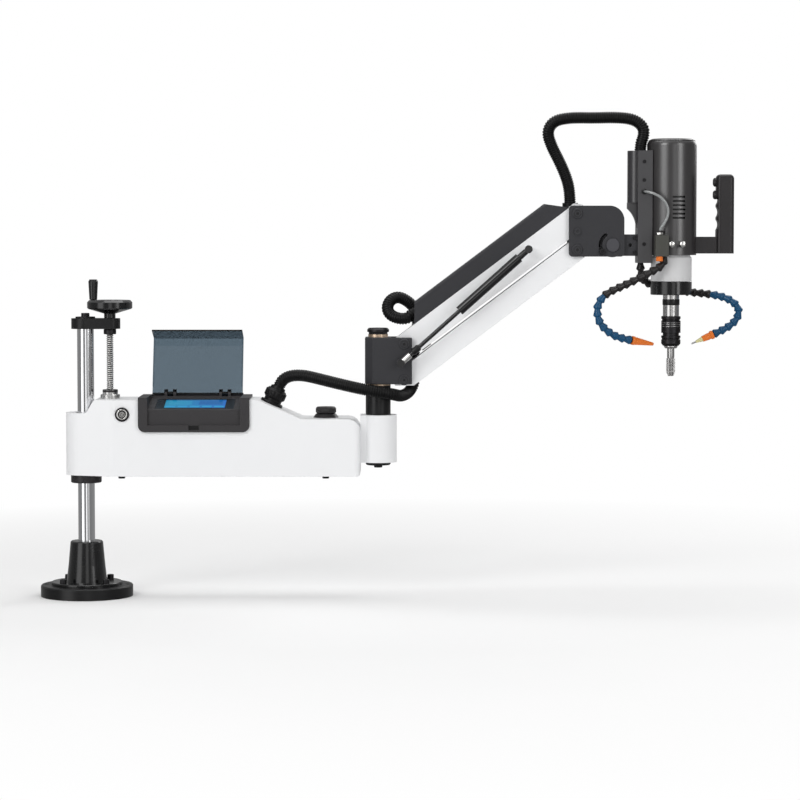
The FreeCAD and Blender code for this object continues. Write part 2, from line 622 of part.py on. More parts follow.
# ---------------------------------------------------------------- places that many pieces share
FOOT_TOP = "foot_thick"
SOCKET_TOP = "(foot_thick + socket_tall)"
BRACKET_TOP = "(column_shoulder + bracket_thick)"
ARM_TOP = "(arm_low + arm_tall)"
ARM_HALF = "(arm_wide / 2)"
ARM_END_TOP = "(arm_low + arm_end_tall)"
PANEL_TOP = "(arm_low + arm_tall + panel_rise)"
PANEL_FRONT = "(arm_wide / 2 + panel_proud)"
ARM_FLOOR = "(arm_low + 2 * arm_wall)"
SLOPE_ANGLE = "atan2(arm_tall - arm_end_tall; slope_end_x - slope_x)"
ELBOW_TOP = "(elbow_low + elbow_tall)"
BLOCK_LOW = "(elbow_low + elbow_tall + post_tall + washer_thick)"
BLOCK_TOP = f"({BLOCK_LOW} + block_tall)"
PIVOT_X = "(elbow_x + pivot_reach)"
PIVOT_Z = f"({BLOCK_TOP} - pivot_drop)"
LOWER_PIVOT_Z = f"({PIVOT_Z} - pivot_space)"
HEAD_PIVOT_X = f"({PIVOT_X} + link_long * cos(link_angle))"
HEAD_PIVOT_Z = f"({PIVOT_Z} + link_long * sin(link_angle))"
TILT_X = f"({HEAD_PIVOT_X} + tilt_x)"
TILT_Z = f"({HEAD_PIVOT_Z} - tilt_drop)"
SPINDLE_X = f"({TILT_X} + head_x)"
COVER_LOW = f"({TILT_Z} - cover_low)"
GEARBOX_LOW = f"({COVER_LOW} - gearbox_tall)"
NOSE_LOW = f"({GEARBOX_LOW} - nose_tall)"
CHUCK_TOP = f"({NOSE_LOW} - spindle_reach)"
CHUCK_LOW = f"({CHUCK_TOP} - chuck_tall)"
CHEEK_INNER = "(link_wide / 2 + side_gap)"
CHEEK_OUTER = "(link_wide / 2 + side_gap + cheek_thick)"
BLOCK_INNER = CHEEK_INNER
LINK_TURN = ((0, -1, 0), "link_angle")


# ---------------------------------------------------------------- foot and column
def make_foot():
    plate = turned("foot_turned", [
        ("0", "0"), ("foot_d / 2", "0"), ("foot_d / 2", "foot_thick - 2"), ("foot_d / 2 - 2", FOOT_TOP),
        ("0", FOOT_TOP)])
    holes = []
    for place in range(4):
        angle = 90 * place
        spot = (f"bench_pcd / 2 * cos({angle})", f"bench_pcd / 2 * sin({angle})")
        holes.append(rod(f"bench_hole_{place}", "bench_hole_d", ("-1", "foot_thick + 1"), spot))
    for place in range(4):
        angle = 45 + 90 * place
        spot = (f"socket_bolt_pcd / 2 * cos({angle})", f"socket_bolt_pcd / 2 * sin({angle})")
        span = ("foot_thick - socket_bolt_grip - 1", "foot_thick + 1")
        holes.append(rod(f"socket_thread_{place}", "socket_bolt_d + 2 * seat_fit", span, spot))
    well = rod("column_well", "column_d + 2 * seat_fit", ("column_low", "foot_thick + 1"), ("0", "0"))
    keep("base_flange", cut("base_flange", plate, well, *holes))


def make_socket():
    rise = f"({FOOT_TOP} + boss_thick)"
    middle = f"({FOOT_TOP} + 0.45 * socket_tall)"
    cone = turned("socket_turned", [
        ("column_d / 2 + seat_fit", FOOT_TOP), ("boss_d / 2", FOOT_TOP), ("boss_d / 2", f"{rise} - 1"),
        ("boss_d / 2 - 1", rise), ("socket_low_d / 2", rise), ("socket_mid_d / 2", middle),
        ("socket_top_d / 2", f"{SOCKET_TOP} - 2"), ("socket_top_d / 2 - 2", SOCKET_TOP),
        ("column_d / 2 + seat_fit", SOCKET_TOP)])
    holes = []
    bolts = []
    for place in range(4):
        angle = 45 + 90 * place
        spot = (f"socket_bolt_pcd / 2 * cos({angle})", f"socket_bolt_pcd / 2 * sin({angle})")
        holes.append(rod(f"socket_hole_{place}", "socket_bolt_d + 2 * seat_fit",
                         (f"{FOOT_TOP} - 1", f"{rise} + 1"), spot))
        screw = cap_screw(f"socket_bolt_{place}", "socket_bolt_d", "socket_bolt_grip + boss_thick",
                          "socket_bolt_d")
        bolts.append(put(screw, (spot[0], spot[1], rise)))
    keep("column_socket", cut("column_socket", cone, *holes))
    keep("socket_bolts", group("socket_bolts", *bolts))


def make_column():
    bar = turned("column_turned", [
        ("0", "column_low"), ("column_d / 2", "column_low"), ("column_d / 2", "column_shoulder"),
        ("spigot_d / 2", "column_shoulder"), ("spigot_d / 2", f"{BRACKET_TOP} + panel_gap"),
        ("0", f"{BRACKET_TOP} + panel_gap")])
    thread = rod("column_thread", "cap_bolt_d + 2 * seat_fit",
                 (f"{BRACKET_TOP} - cap_bolt_grip - 1", f"{BRACKET_TOP} + 1"), ("0", "0"))
    keep("column", cut("column", bar, thread))
    seat = f"({BRACKET_TOP} + panel_gap)"
    washer = turned("cap_washer", [
        ("cap_bolt_d / 2 + seat_fit", seat), ("cap_washer_d / 2", seat),
        ("cap_washer_d / 2", f"{seat} + cap_washer_thick - 0.6"),
        ("cap_washer_d / 2 - 0.6", f"{seat} + cap_washer_thick"),
        ("cap_bolt_d / 2 + seat_fit", f"{seat} + cap_washer_thick")])
    bolt = cap_screw("cap_bolt", "cap_bolt_d", "cap_bolt_grip + cap_washer_thick", "cap_bolt_head")
    keep("swivel_bolt", group("swivel_bolt", washer, put(bolt, ("0", "0", f"{seat} + cap_washer_thick"))))


# ---------------------------------------------------------------- top bracket, lead screw, handwheel
def make_top_bracket():
    plate = hull_of_two("bracket_plate", "bracket_column_r", "bracket_screw_r", "screw_x",
                        "column_shoulder", "bracket_thick")
    spigot = rod("bracket_bore", "spigot_d + 2 * run_fit", ("column_shoulder - 1", f"{BRACKET_TOP} + 1"),
                 ("0", "0"))
    seat = rod("bracket_seat", "bearing_od + 2 * seat_fit", ("column_shoulder - 1", f"{BRACKET_TOP} + 1"),
               ("screw_x", "0"))
    rings = [cut("bracket_body", plate, spigot, seat)]
    for place, low in enumerate(("column_shoulder", f"{BRACKET_TOP} - bearing_wide")):
        ring = turned(f"screw_bearing_{place}", [
            ("journal_d / 2 + run_fit", "0"), ("bearing_od / 2", "0"), ("bearing_od / 2", "bearing_wide"),
            ("journal_d / 2 + run_fit", "bearing_wide")])
        rings.append(put(ring, ("screw_x", "0", low)))
    keep("top_bracket", group("top_bracket", *rings))


WHEEL_LOW = f"({BRACKET_TOP} + 0.5)"
RIM_LOW = f"({BRACKET_TOP} + wheel_lift)"
RIM_TOP = f"({RIM_LOW} + wheel_rim_tall)"
HUB_TOP = f"({WHEEL_LOW} + wheel_hub_tall)"
CRANK_FOOT = f"({RIM_TOP} + 0.5)"
CRANK_TOP = f"({CRANK_FOOT} + crank_tall)"
CRANK_HEAD = f"({CRANK_TOP} - 5)"


def make_lead_screw():
    shoulder = "(column_shoulder - 0.5)"
    stud_top = f"({HUB_TOP} + wheel_nut_tall + 2)"
    bar = turned("screw_bar", [
        ("0", "screw_low"), ("screw_d / 2 - 2", "screw_low"), ("screw_d / 2", "screw_low + 2"),
        ("screw_d / 2", f"{shoulder} - collar_tall"), ("journal_d / 2", f"{shoulder} - collar_tall"),
        ("journal_d / 2", HUB_TOP), ("journal_d / 2 - 1", HUB_TOP), ("journal_d / 2 - 1", stud_top),
        ("0", stud_top)])
    collar = turned("screw_collar", [
        ("journal_d / 2 + seat_fit", f"{shoulder} - collar_tall"),
        ("collar_d / 2", f"{shoulder} - collar_tall"), ("collar_d / 2", shoulder),
        ("journal_d / 2 + seat_fit", shoulder)])
    nut = doc.addObject("Part::Prism", "wheel_nut_hexagon")
    nut.Polygon = 6
    bind(nut, "Circumradius", "wheel_nut_d / 2")
    bind(nut, "Height", "wheel_nut_tall")
    put(nut, ("0", "0", HUB_TOP))
    thread = rod("wheel_nut_thread", "journal_d - 2 + 2 * seat_fit", (f"{HUB_TOP} - 1", f"{HUB_TOP} + 20"),
                 ("0", "0"))
    pieces = group("lead_screw", bar, collar, cut("wheel_nut", nut, thread))
    keep("lead_screw", put(pieces, ("screw_x", "0", "0")))


def make_handwheel():
    hub_r = "(wheel_hub_d / 2)"
    rim_r = "(wheel_d / 2)"
    dish = turned("wheel_turned", [
        ("journal_d / 2 + seat_fit", WHEEL_LOW), (hub_r, WHEEL_LOW), (hub_r, f"{RIM_LOW} - 9"),
        (f"{rim_r} - 2", RIM_LOW), (rim_r, f"{RIM_LOW} + 2"),
        (rim_r, f"{RIM_TOP} - 4"), (f"{rim_r} - 4", RIM_TOP), (f"{rim_r} - 20", RIM_TOP),
        (f"{rim_r} - 21", f"{RIM_TOP} - 3"), (f"{rim_r} - 22", f"{RIM_LOW} + 7"),
        (f"{hub_r} + 5", f"{RIM_LOW} + 4"), (hub_r, HUB_TOP), ("journal_d / 2 + seat_fit", HUB_TOP)])
    hole = rod("crank_hole", "crank_axle_d + 2 * seat_fit", (f"{RIM_TOP} - crank_sink", f"{RIM_TOP} + 1"),
               ("-crank_r", "0"))
    wheel = cut("wheel_body", dish, hole)
    axle = turned("crank_axle", [
        ("0", f"{RIM_TOP} - crank_sink"), ("crank_axle_d / 2", f"{RIM_TOP} - crank_sink"),
        ("crank_axle_d / 2", CRANK_HEAD), ("crank_head_d / 2", CRANK_HEAD),
        ("crank_head_d / 2", f"{CRANK_HEAD} + 3"), ("0", f"{CRANK_HEAD} + 3")])
    put(axle, ("-crank_r", "0", "0"))
    keep("handwheel", put(group("handwheel", wheel, axle), ("screw_x", "0", "0")))


def make_crank():
    handle = turned("crank_handle", [
        ("crank_axle_d / 2 + run_fit", CRANK_FOOT), ("crank_low_d / 2 - 1", CRANK_FOOT),
        ("crank_low_d / 2", f"{CRANK_FOOT} + 1"), ("crank_top_d / 2", f"{CRANK_TOP} - 4"),
        ("crank_top_d / 2 - 2", CRANK_TOP), ("crank_head_d / 2 + 2 * run_fit", CRANK_TOP),
        ("crank_head_d / 2 + 2 * run_fit", f"{CRANK_HEAD} - 0.2"),
        ("crank_axle_d / 2 + run_fit", f"{CRANK_HEAD} - 0.2")])
    keep("crank_handle", put(handle, ("screw_x - crank_r", "0", "0")))


# ---------------------------------------------------------------- lower arm shell
def arm_outline(inset, start, low, end):
    """The arm's front outline with its top moved down by inset, between the X of its two ends."""
    top = f"{ARM_TOP} - {inset}"
    end_top = f"{ARM_END_TOP} - {inset}"
    shift = f"{inset} * tan({SLOPE_ANGLE} / 2)"
    return [(start, low), (end, low), (end, end_top), (f"slope_end_x - {shift}", end_top),
            (f"slope_x - {shift}", top)]


def make_arm_shell():
    left = "(-sleeve_d / 2 - 2)"
    front = padded("arm_front", arm_outline("0", left, "arm_low", "arm_long") + [
        ("shoulder_top_x", ARM_TOP), ("shoulder_low_x", "arm_low + sleeve_tall"),
        (left, "arm_low + sleeve_tall")], "arm_wide")
    end = number("arm_long")
    top = number(ARM_TOP)
    end_top = number(ARM_END_TOP)
    round_edges(front, "arm_end_corner", "arm_top_corner_r",
                lambda edge: upright(edge, x=end, y=0, z=end_top))
    round_edges(front, "arm_low_corner", "arm_edge_r",
                lambda edge: upright(edge, x=end, y=0, z=number("arm_low")))
    slope_spots = [(number("slope_x"), top), (number("slope_end_x"), end_top)]
    round_edges(front, "arm_slope_round", "slope_r",
                lambda edge: any(upright(edge, x=x, y=0, z=z) for x, z in slope_spots))
    shoulder_spots = [(number("shoulder_top_x"), top),
                      (number("shoulder_low_x"), number("arm_low + sleeve_tall"))]
    round_edges(front, "arm_shoulder_round", "shoulder_r",
                lambda edge: any(upright(edge, x=x, y=0, z=z) for x, z in shoulder_spots))
    radius = "(sleeve_d / 2)"
    reach = f"(full_width_x * full_width_x + {ARM_HALF} * {ARM_HALF})"
    tangent = f"sqrt({reach} - {radius} * {radius})"
    touch_x = f"({radius} * {radius} * full_width_x - {radius} * {tangent} * {ARM_HALF}) / {reach}"
    touch_y = f"({radius} * {radius} * {ARM_HALF} + {radius} * {tangent} * full_width_x) / {reach}"
    plan = padded("arm_plan", [
        (touch_x, touch_y), ("full_width_x", ARM_HALF), ("arm_long", ARM_HALF),
        ("arm_long", f"-{ARM_HALF}"), ("full_width_x", f"-{ARM_HALF}"), (touch_x, f"-({touch_y})")],
        "2 * (arm_low + arm_tall) + 20", "XY_Plane")
    half = number(ARM_HALF)
    round_edges(plan, "arm_plan_corner", "arm_corner_r",
                lambda edge: upright(edge, x=end, z=0) and near(abs(edge.CenterOfMass.y), half))
    round_edges(plan, "arm_plan_blend", "3 * arm_corner_r",
                lambda edge: upright(edge, x=number("full_width_x"), z=0))
    sleeve = rod("arm_sleeve", "sleeve_d", ("0", "arm_low + 2 * arm_tall"), ("0", "0"))
    solid = common("arm_solid", front, fuse("arm_plan_all", plan, sleeve))
    return solid


def make_arm_hollow():
    start = "full_width_x"
    end = "arm_long - arm_end_wall"
    outline = arm_outline("arm_wall", start, ARM_FLOOR, end)
    hollow = padded("arm_hollow_front", outline + [(start, f"{ARM_TOP} - arm_wall")],
                    "arm_wide - 2 * arm_wall")
    corner = (number(end), number(f"{ARM_END_TOP} - arm_wall"))
    round_edges(hollow, "arm_hollow_corner", "arm_top_corner_r - arm_end_wall",
                lambda edge: upright(edge, x=corner[0], y=0, z=corner[1]))
    return hollow


def cover_screw_spots():
    side = "(cover_wide / 2 - 10)"
    return [(x, f"{sign} * {side}") for x in ("cover_screw_x", "cover_screw_end_x") for sign in (1, -1)]


def make_arm():
    solid = make_arm_shell()
    hollow = make_arm_hollow()
    posts = []
    for place, spot in enumerate(cover_screw_spots()):
        post = rod(f"cover_post_{place}", "cover_post_d",
                   (f"{ARM_FLOOR} - 0.5", f"{ARM_FLOOR} + cover_post_tall"), spot)
        posts.append(post)
    opening_x = ("cover_x - panel_gap", "cover_end_x + panel_gap")
    opening_y = ("-cover_wide / 2 - panel_gap", "cover_wide / 2 + panel_gap")
    cavity = cut("arm_cavity", hollow, *posts)
    recess = box("arm_cover_recess", opening_x, opening_y, ("arm_low - 1", "arm_low + arm_wall - 0.5"))
    opening = box("arm_opening", ("cover_screw_x + cover_post_d", "cover_screw_end_x - cover_post_d"),
                  ("-cover_wide / 2 + 20", "cover_wide / 2 - 20"), ("arm_low - 1", f"{ARM_FLOOR} + 1"))
    bore = rod("arm_column_bore", "bush_od + 2 * seat_fit", ("arm_low - 1", f"{ARM_TOP} + 1"), ("0", "0"))
    nut = rod("arm_nut_bore", "nut_body_d + 2 * seat_fit",
              (f"{ARM_TOP} - nut_tall - 2", f"{ARM_TOP} + 1"), ("screw_x", "0"))
    well = rod("arm_screw_well", "screw_hole_d", ("arm_low - 1", f"{ARM_TOP} - nut_tall"), ("screw_x", "0"))
    button = rod("arm_button_hole", "barrel_d + 2 * seat_fit", (f"-{ARM_HALF} - 1", f"-{ARM_HALF} + 20"),
                 ("button_x", "button_z"), "y")
    tub = box("arm_panel_opening",
              ("panel_x + rail_wide - tub_wall - panel_gap",
               "panel_x + panel_long - rail_wide + tub_wall + panel_gap"),
              (f"-{ARM_HALF} - 1", "tub_back_y + tub_wall + panel_gap"),
              (f"{ARM_TOP} - panel_drop + rail_low - tub_wall - panel_gap", f"{ARM_TOP} + 1"))
    gland = put(group("arm_gland_tool", rod("arm_gland_hole", "gland_seal_d", ("-20", "20"), ("0", "0"))),
                GLAND_AT, GLAND_TURN)
    regulator = rod("arm_regulator_hole", "knob_stem_d + 4", (f"{ARM_END_TOP} - 20", f"{ARM_END_TOP} + 1"),
                    ("knob_x", "0"))
    bolts = []
    threads = []
    for place, spot in enumerate(cover_screw_spots()):
        threads.append(rod(f"cover_thread_{place}", "cover_screw_d + 2 * seat_fit",
                           ("arm_low - 1", "arm_low + 18"), spot))
    for place, (rise, side) in enumerate(elbow_bolt_spots()):
        bolts.append(rod(f"elbow_wall_hole_{place}", "elbow_bolt_d + 2 * seat_fit",
                         ("arm_long - 20", "arm_long + 2"), (side, rise), "x"))
    shell = cut("arm_housing", solid, cavity, recess, opening, bore, nut, well, button, tub, gland, regulator,
                *threads, *bolts)
    keep("arm_housing", shell)


GLAND_Z = f"({ARM_TOP} - (gland_x - slope_x) * tan({SLOPE_ANGLE}))"
GLAND_AT = ("gland_x", "0", GLAND_Z)
GLAND_TURN = ((0, 1, 0), SLOPE_ANGLE)


def elbow_bolt_spots():
    middle = "(elbow_low + elbow_tall / 2)"
    return [(f"{middle} + {up} * elbow_bolt_rise", f"{side} * elbow_bolt_side")
            for up in (1, -1) for side in (1, -1)]


def make_arm_cover():
    z_span = ("arm_low", "arm_low + arm_wall - 0.5 - panel_gap")
    plate = box("cover_plate", ("cover_x", "cover_end_x"), ("-cover_wide / 2", "cover_wide / 2"), z_span)
    holes = []
    screws = []
    for place, spot in enumerate(cover_screw_spots()):
        holes.append(rod(f"cover_hole_{place}", "cover_screw_d + 2 * seat_fit",
                         ("arm_low - 1", "arm_low + arm_wall"), spot))
        screw = cap_screw(f"cover_screw_{place}", "cover_screw_d", "15", "cover_screw_head",
                          "cover_screw_head_d")
        screws.append(put(screw, (spot[0], spot[1], "arm_low"), FACING_DOWN))
    keep("bottom_cover", cut("bottom_cover", plate, *holes))
    keep("cover_screws", group("cover_screws", *screws))


def make_guides():
    inner = "(column_d / 2 + run_fit)"
    outer = "(bush_od / 2)"
    top = "(arm_low + sleeve_tall)"
    upper = turned("upper_guide_bush", [
        (inner, f"{top} - bush_tall"), (outer, f"{top} - bush_tall"), (outer, f"{top} - 0.4"),
        (f"{outer} - 1", top), (f"{inner} + 1", top), (inner, f"{top} - 1")])
    lower = turned("lower_guide_bush", [
        (inner, "arm_low - guide_collar_tall"), ("guide_collar_d / 2 - 1.5", "arm_low - guide_collar_tall"),
        ("guide_collar_d / 2", "arm_low - guide_collar_tall + 1.5"),
        ("guide_collar_d / 2", "arm_low - 0.8"), ("guide_collar_d / 2 - 0.8", "arm_low"),
        (outer, "arm_low"), (outer, "arm_low + bush_tall"), (inner, "arm_low + bush_tall")])
    keep("guide_bushes", group("guide_bushes", upper, lower))
    inner_nut = "(screw_d / 2 + 2 * run_fit)"
    nut = turned("feed_nut", [
        (inner_nut, f"{ARM_TOP} - nut_tall"), ("nut_body_d / 2", f"{ARM_TOP} - nut_tall"),
        ("nut_body_d / 2", ARM_TOP), ("nut_flange_d / 2", ARM_TOP),
        ("nut_flange_d / 2", f"{ARM_TOP} + nut_flange_tall - 1"),
        ("nut_flange_d / 2 - 1", f"{ARM_TOP} + nut_flange_tall"),
        ("nut_neck_d / 2", f"{ARM_TOP} + nut_flange_tall"),
        ("nut_neck_d / 2", f"{ARM_TOP} + nut_flange_tall + nut_neck_tall"),
        (inner_nut, f"{ARM_TOP} + nut_flange_tall + nut_neck_tall")])
    keep("feed_nut", put(nut, ("screw_x", "0", "0")))


# ---------------------------------------------------------------- power button
BUTTON_AT = ("button_x", f"-{ARM_HALF}", "button_z")


def make_button():
    bezel = turned("bezel_turned", [
        ("button_d / 2 + run_fit", "-barrel_long"), ("barrel_d / 2", "-barrel_long"), ("barrel_d / 2", "0"),
        ("bezel_d / 2", "0"), ("bezel_d / 2", "bezel_thick - 1"), ("bezel_d / 2 - 1.5", "bezel_thick"),
        ("button_d / 2 + run_fit", "bezel_thick")])
    button = turned("power_button", [
        ("0", "bezel_thick - button_long"), ("button_d / 2", "bezel_thick - button_long"),
        ("button_d / 2", "bezel_thick - 1"), ("button_d / 2 - 1", "bezel_thick"), ("0", "bezel_thick")])
    keep("power_button", put(button, BUTTON_AT, FACING_FRONT))
    nut = doc.addObject("Part::Prism", "button_nut_hexagon")
    nut.Polygon = 6
    bind(nut, "Circumradius", "button_nut_d / 2")
    bind(nut, "Height", "button_nut_thick")
    put(nut, ("0", "0", "-arm_wall - button_nut_thick"))
    hole = rod("button_nut_hole", "barrel_d + 2 * seat_fit", ("-barrel_long", "0"), ("0", "0"))
    housing = group("button_pieces", bezel, cut("button_nut", nut, hole))
    put(housing, BUTTON_AT, FACING_FRONT)
    back = f"(-{ARM_HALF} + barrel_long)"
    half = "(switch_side / 2)"
    switch = box("power_switch", (f"button_x - {half}", f"button_x + {half}"),
                 (back, f"{back} + switch_long"), (f"button_z - {half}", f"button_z + {half}"))
    keep("button_housing", group("button_housing", housing, switch))


# ---------------------------------------------------------------- operator panel and its lid
PANEL_END = "(panel_x + panel_long)"
PANEL_MIDDLE = "(panel_x + panel_long / 2)"
RECESS_X = ("panel_x + rail_wide", "panel_x + panel_long - rail_wide")
RECESS_FACE = f"({ARM_HALF} - 0.5)"
SHELF_FRONT_Z = f"({ARM_TOP} - shelf_front_drop)"
SHELF_BACK_Z = f"({ARM_TOP} - shelf_back_drop)"
SHELF_ANGLE = f"atan2({SHELF_BACK_Z} - {SHELF_FRONT_Z}; tub_back_y + {RECESS_FACE})"
LID_FLOOR = f"({PANEL_TOP} - panel_rise + 1.4)"
HINGE_Z = f"({PANEL_TOP} + hinge_rise)"
PANEL_LOW = f"({ARM_TOP} - panel_drop)"


def side_profile(name, points, x_span):
    """An outline of (y, z) points, padded along X between two expressions."""
    body = doc.addObject("PartDesign::Body", name)
    sketch = sketch_on(body, "YZ_Plane", points, name + "_outline")
    item = body.newObject("PartDesign::Pad", name + "_pad")
    item.Profile = sketch
    item.SideType = "Symmetric"
    bind(item, "Length", f"({x_span[1]}) - ({x_span[0]})")
    return put(body, (f"(({x_span[0]}) + ({x_span[1]})) / 2", "0", "0"))


def make_panel():
    face = padded("panel_face", [
        ("panel_x", PANEL_LOW), (PANEL_END, PANEL_LOW), (PANEL_END, PANEL_TOP), ("panel_x", PANEL_TOP)],
        "panel_proud")
    low = number(PANEL_LOW)
    round_edges(face, "panel_face_corner", "panel_corner_r", lambda edge: upright(edge, y=0, z=low))
    put(face, ("0", f"-{ARM_HALF} - panel_proud / 2", "0"))
    top = box("panel_top", ("panel_x", PANEL_END), (f"-{PANEL_FRONT}", "hinge_y + knuckle_d / 2 + 2"),
              (ARM_TOP, PANEL_TOP))
    tub_x = ("panel_x + rail_wide - tub_wall", "panel_x + panel_long - rail_wide + tub_wall")
    inner_low = f"{PANEL_LOW} + rail_low - tub_wall"
    tub = side_profile("panel_tub", [
        (f"-{ARM_HALF} - 1", inner_low), (f"-{RECESS_FACE} + tub_wall", inner_low),
        (f"-{RECESS_FACE} + tub_wall", f"{SHELF_FRONT_Z} - tub_floor"),
        ("tub_back_y + tub_wall", f"{SHELF_BACK_Z} - tub_floor"), ("tub_back_y + tub_wall", PANEL_TOP),
        (f"-{ARM_HALF} - 1", PANEL_TOP)], tub_x)
    lugs = []
    for place, sign in enumerate((-1, 1)):
        middle = f"({PANEL_MIDDLE} + {sign} * hinge_spread)"
        inner = "(knuckle_wide / 2 + side_gap)"
        for side in (-1, 1):
            first = f"{middle} + {side} * {inner}"
            second = f"{middle} + {side} * ({inner} + lug_wide)"
            span = (first, second) if side > 0 else (second, first)
            lugs.append(rod(f"panel_lug_{place}_{side + 1}", "knuckle_d", span, ("hinge_y", HINGE_Z), "x"))
            lugs.append(box(f"panel_lug_foot_{place}_{side + 1}", span,
                            ("hinge_y - knuckle_d / 2", "hinge_y + knuckle_d / 2"),
                            (f"{LID_FLOOR} - 0.5", HINGE_Z)))
    recess = side_profile("panel_recess", [
        (f"-{PANEL_FRONT} - 2", f"{PANEL_LOW} + rail_low"), (f"-{RECESS_FACE}", f"{PANEL_LOW} + rail_low"),
        (f"-{RECESS_FACE}", SHELF_FRONT_Z), ("tub_back_y", SHELF_BACK_Z), ("tub_back_y", LID_FLOOR),
        ("hinge_y + knuckle_d", LID_FLOOR), ("hinge_y + knuckle_d", f"{PANEL_TOP} + 2"),
        (f"-{PANEL_FRONT} - 2", f"{PANEL_TOP} + 2")], RECESS_X)
    pocket = put(box("screen_pocket", ("-screen_long / 2 - panel_gap", "screen_long / 2 + panel_gap"),
                     ("screen_inset - panel_gap", "screen_inset + screen_tall + panel_gap"),
                     ("-screen_thick - panel_gap", "2")), ("0", "0", "0"))
    pocket_bed = fuse("screen_pocket_bed", pocket,
                      box("screen_cable_way", ("-20", "20"), ("screen_inset + 20", "screen_inset + 40"),
                          ("-30", "-1")))
    put(pocket_bed, (PANEL_MIDDLE, f"-{RECESS_FACE}", SHELF_FRONT_Z), ((1, 0, 0), SHELF_ANGLE))
    catch = box("panel_catch", (f"{PANEL_MIDDLE} - catch_wide / 2", f"{PANEL_MIDDLE} + catch_wide / 2"),
                (f"-{PANEL_FRONT} - 1", f"-{PANEL_FRONT} + 4"),
                (f"{PANEL_LOW} + rail_low - catch_tall", f"{PANEL_LOW} + rail_low + 1"))
    pin_hole = rod("lid_pin_hole", "lid_pin_d + 2 * run_fit", ("panel_x", PANEL_END),
                   ("hinge_y", HINGE_Z), "x")
    plain = cut("panel_plain", fuse("panel_solid", face, top, tub), recess, pocket_bed, catch)
    back_rib = box("panel_back_rib", RECESS_X,
                   ("hinge_y + knuckle_d / 2 + 0.5", "hinge_y + knuckle_d / 2 + 2"),
                   (f"{LID_FLOOR} - 0.5", f"{HINGE_Z} + back_rib_rise"))
    keep("panel_frame", cut("panel_frame", fuse("panel_with_lugs", plain, *lugs, back_rib), pin_hole))


def make_screen():
    slab = box("screen_slab", ("-screen_long / 2", "screen_long / 2"),
               ("screen_inset", "screen_inset + screen_tall"), ("-screen_thick", "0"))
    screen = group("touch_screen", slab)
    keep("touch_screen",
         put(screen, (PANEL_MIDDLE, f"-{RECESS_FACE}", SHELF_FRONT_Z), ((1, 0, 0), SHELF_ANGLE)))


def make_lid():
    """The lid is drawn shut, from its hinge axis towards the operator, and then swung open."""
    half = "(panel_long / 2 - rail_wide - lid_side_gap)"
    skin_top = "-(hinge_rise + 0.3)"
    skin_low = "-(hinge_rise + 0.3 + lid_wall)"
    back = "-6"
    skin = box("lid_skin", (f"-{half}", half), ("-lid_long", back), (skin_low, skin_top))
    front = box("lid_front_wall", (f"-{half}", half), ("-lid_long", "-lid_long + lid_wall"),
                (f"{skin_top} - lid_front", skin_top))
    rims = [box(f"lid_rim_{side + 1}", (f"{side} * {half} - (1 + {side}) / 2 * lid_wall",
                                        f"{side} * {half} + (1 - {side}) / 2 * lid_wall"),
                ("-lid_long", "-lid_rim_start"), (f"{skin_low} - lid_rim", skin_top)) for side in (-1, 1)]
    inner = "(hinge_spread - knuckle_wide / 2 - lug_wide - 2 * side_gap)"
    outer = "(hinge_spread + knuckle_wide / 2 + lug_wide + 2 * side_gap)"
    apron_spans = ((f"-{half}", f"-{outer}"), (f"-{inner}", inner), (outer, half))
    aprons = [box(f"lid_apron_{place}", span, (f"{back} - 1", "lid_apron"), (skin_low, skin_top))
              for place, span in enumerate(apron_spans)]
    knuckles = []
    for place, sign in enumerate((-1, 1)):
        span = (f"{sign} * hinge_spread - knuckle_wide / 2", f"{sign} * hinge_spread + knuckle_wide / 2")
        knuckles.append(rod(f"lid_knuckle_{place}", "knuckle_d", span, ("0", "0"), "x"))
        knuckles.append(box(f"lid_tongue_{place}", span, ("-8", "-1"), (skin_low, skin_top)))
        reach = "(knuckle_wide / 2 + side_gap + lug_wide)"
        trunnion = (f"{sign} * hinge_spread - {reach}", f"{sign} * hinge_spread + {reach}")
        knuckles.append(rod(f"lid_trunnion_{place}", "lid_pin_d", trunnion, ("0", "0"), "x"))
    solid = fuse("screen_lid", skin, front, *rims, *aprons, *knuckles)
    keep("screen_lid", put(solid, (PANEL_MIDDLE, "hinge_y", HINGE_Z), ((-1, 0, 0), "lid_open_angle")))


def make_electronics():
    low = f"({SHELF_FRONT_Z} - tub_floor - 12 - board_tall)"
    board = box("control_board", (f"{PANEL_MIDDLE} - board_long / 2", f"{PANEL_MIDDLE} + board_long / 2"),
                (f"{ARM_HALF} - arm_wall - board_thick", f"{ARM_HALF} - arm_wall"),
                (low, f"{low} + board_tall"))
    drive = box("drive_case", ("drive_x", "drive_x + drive_long"),
                (f"{ARM_HALF} - arm_wall - drive_wide", f"{ARM_HALF} - arm_wall"),
                (ARM_FLOOR, f"{ARM_FLOOR} + drive_tall"))
    relief = rod("drive_post_relief", "cover_post_d + 2", ("arm_low", f"{ARM_FLOOR} + cover_post_tall + 2"),
                 ("cover_screw_end_x", "cover_wide / 2 - 10"))
    keep("control_electronics", group("control_electronics", board, cut("servo_drive", drive, relief)))


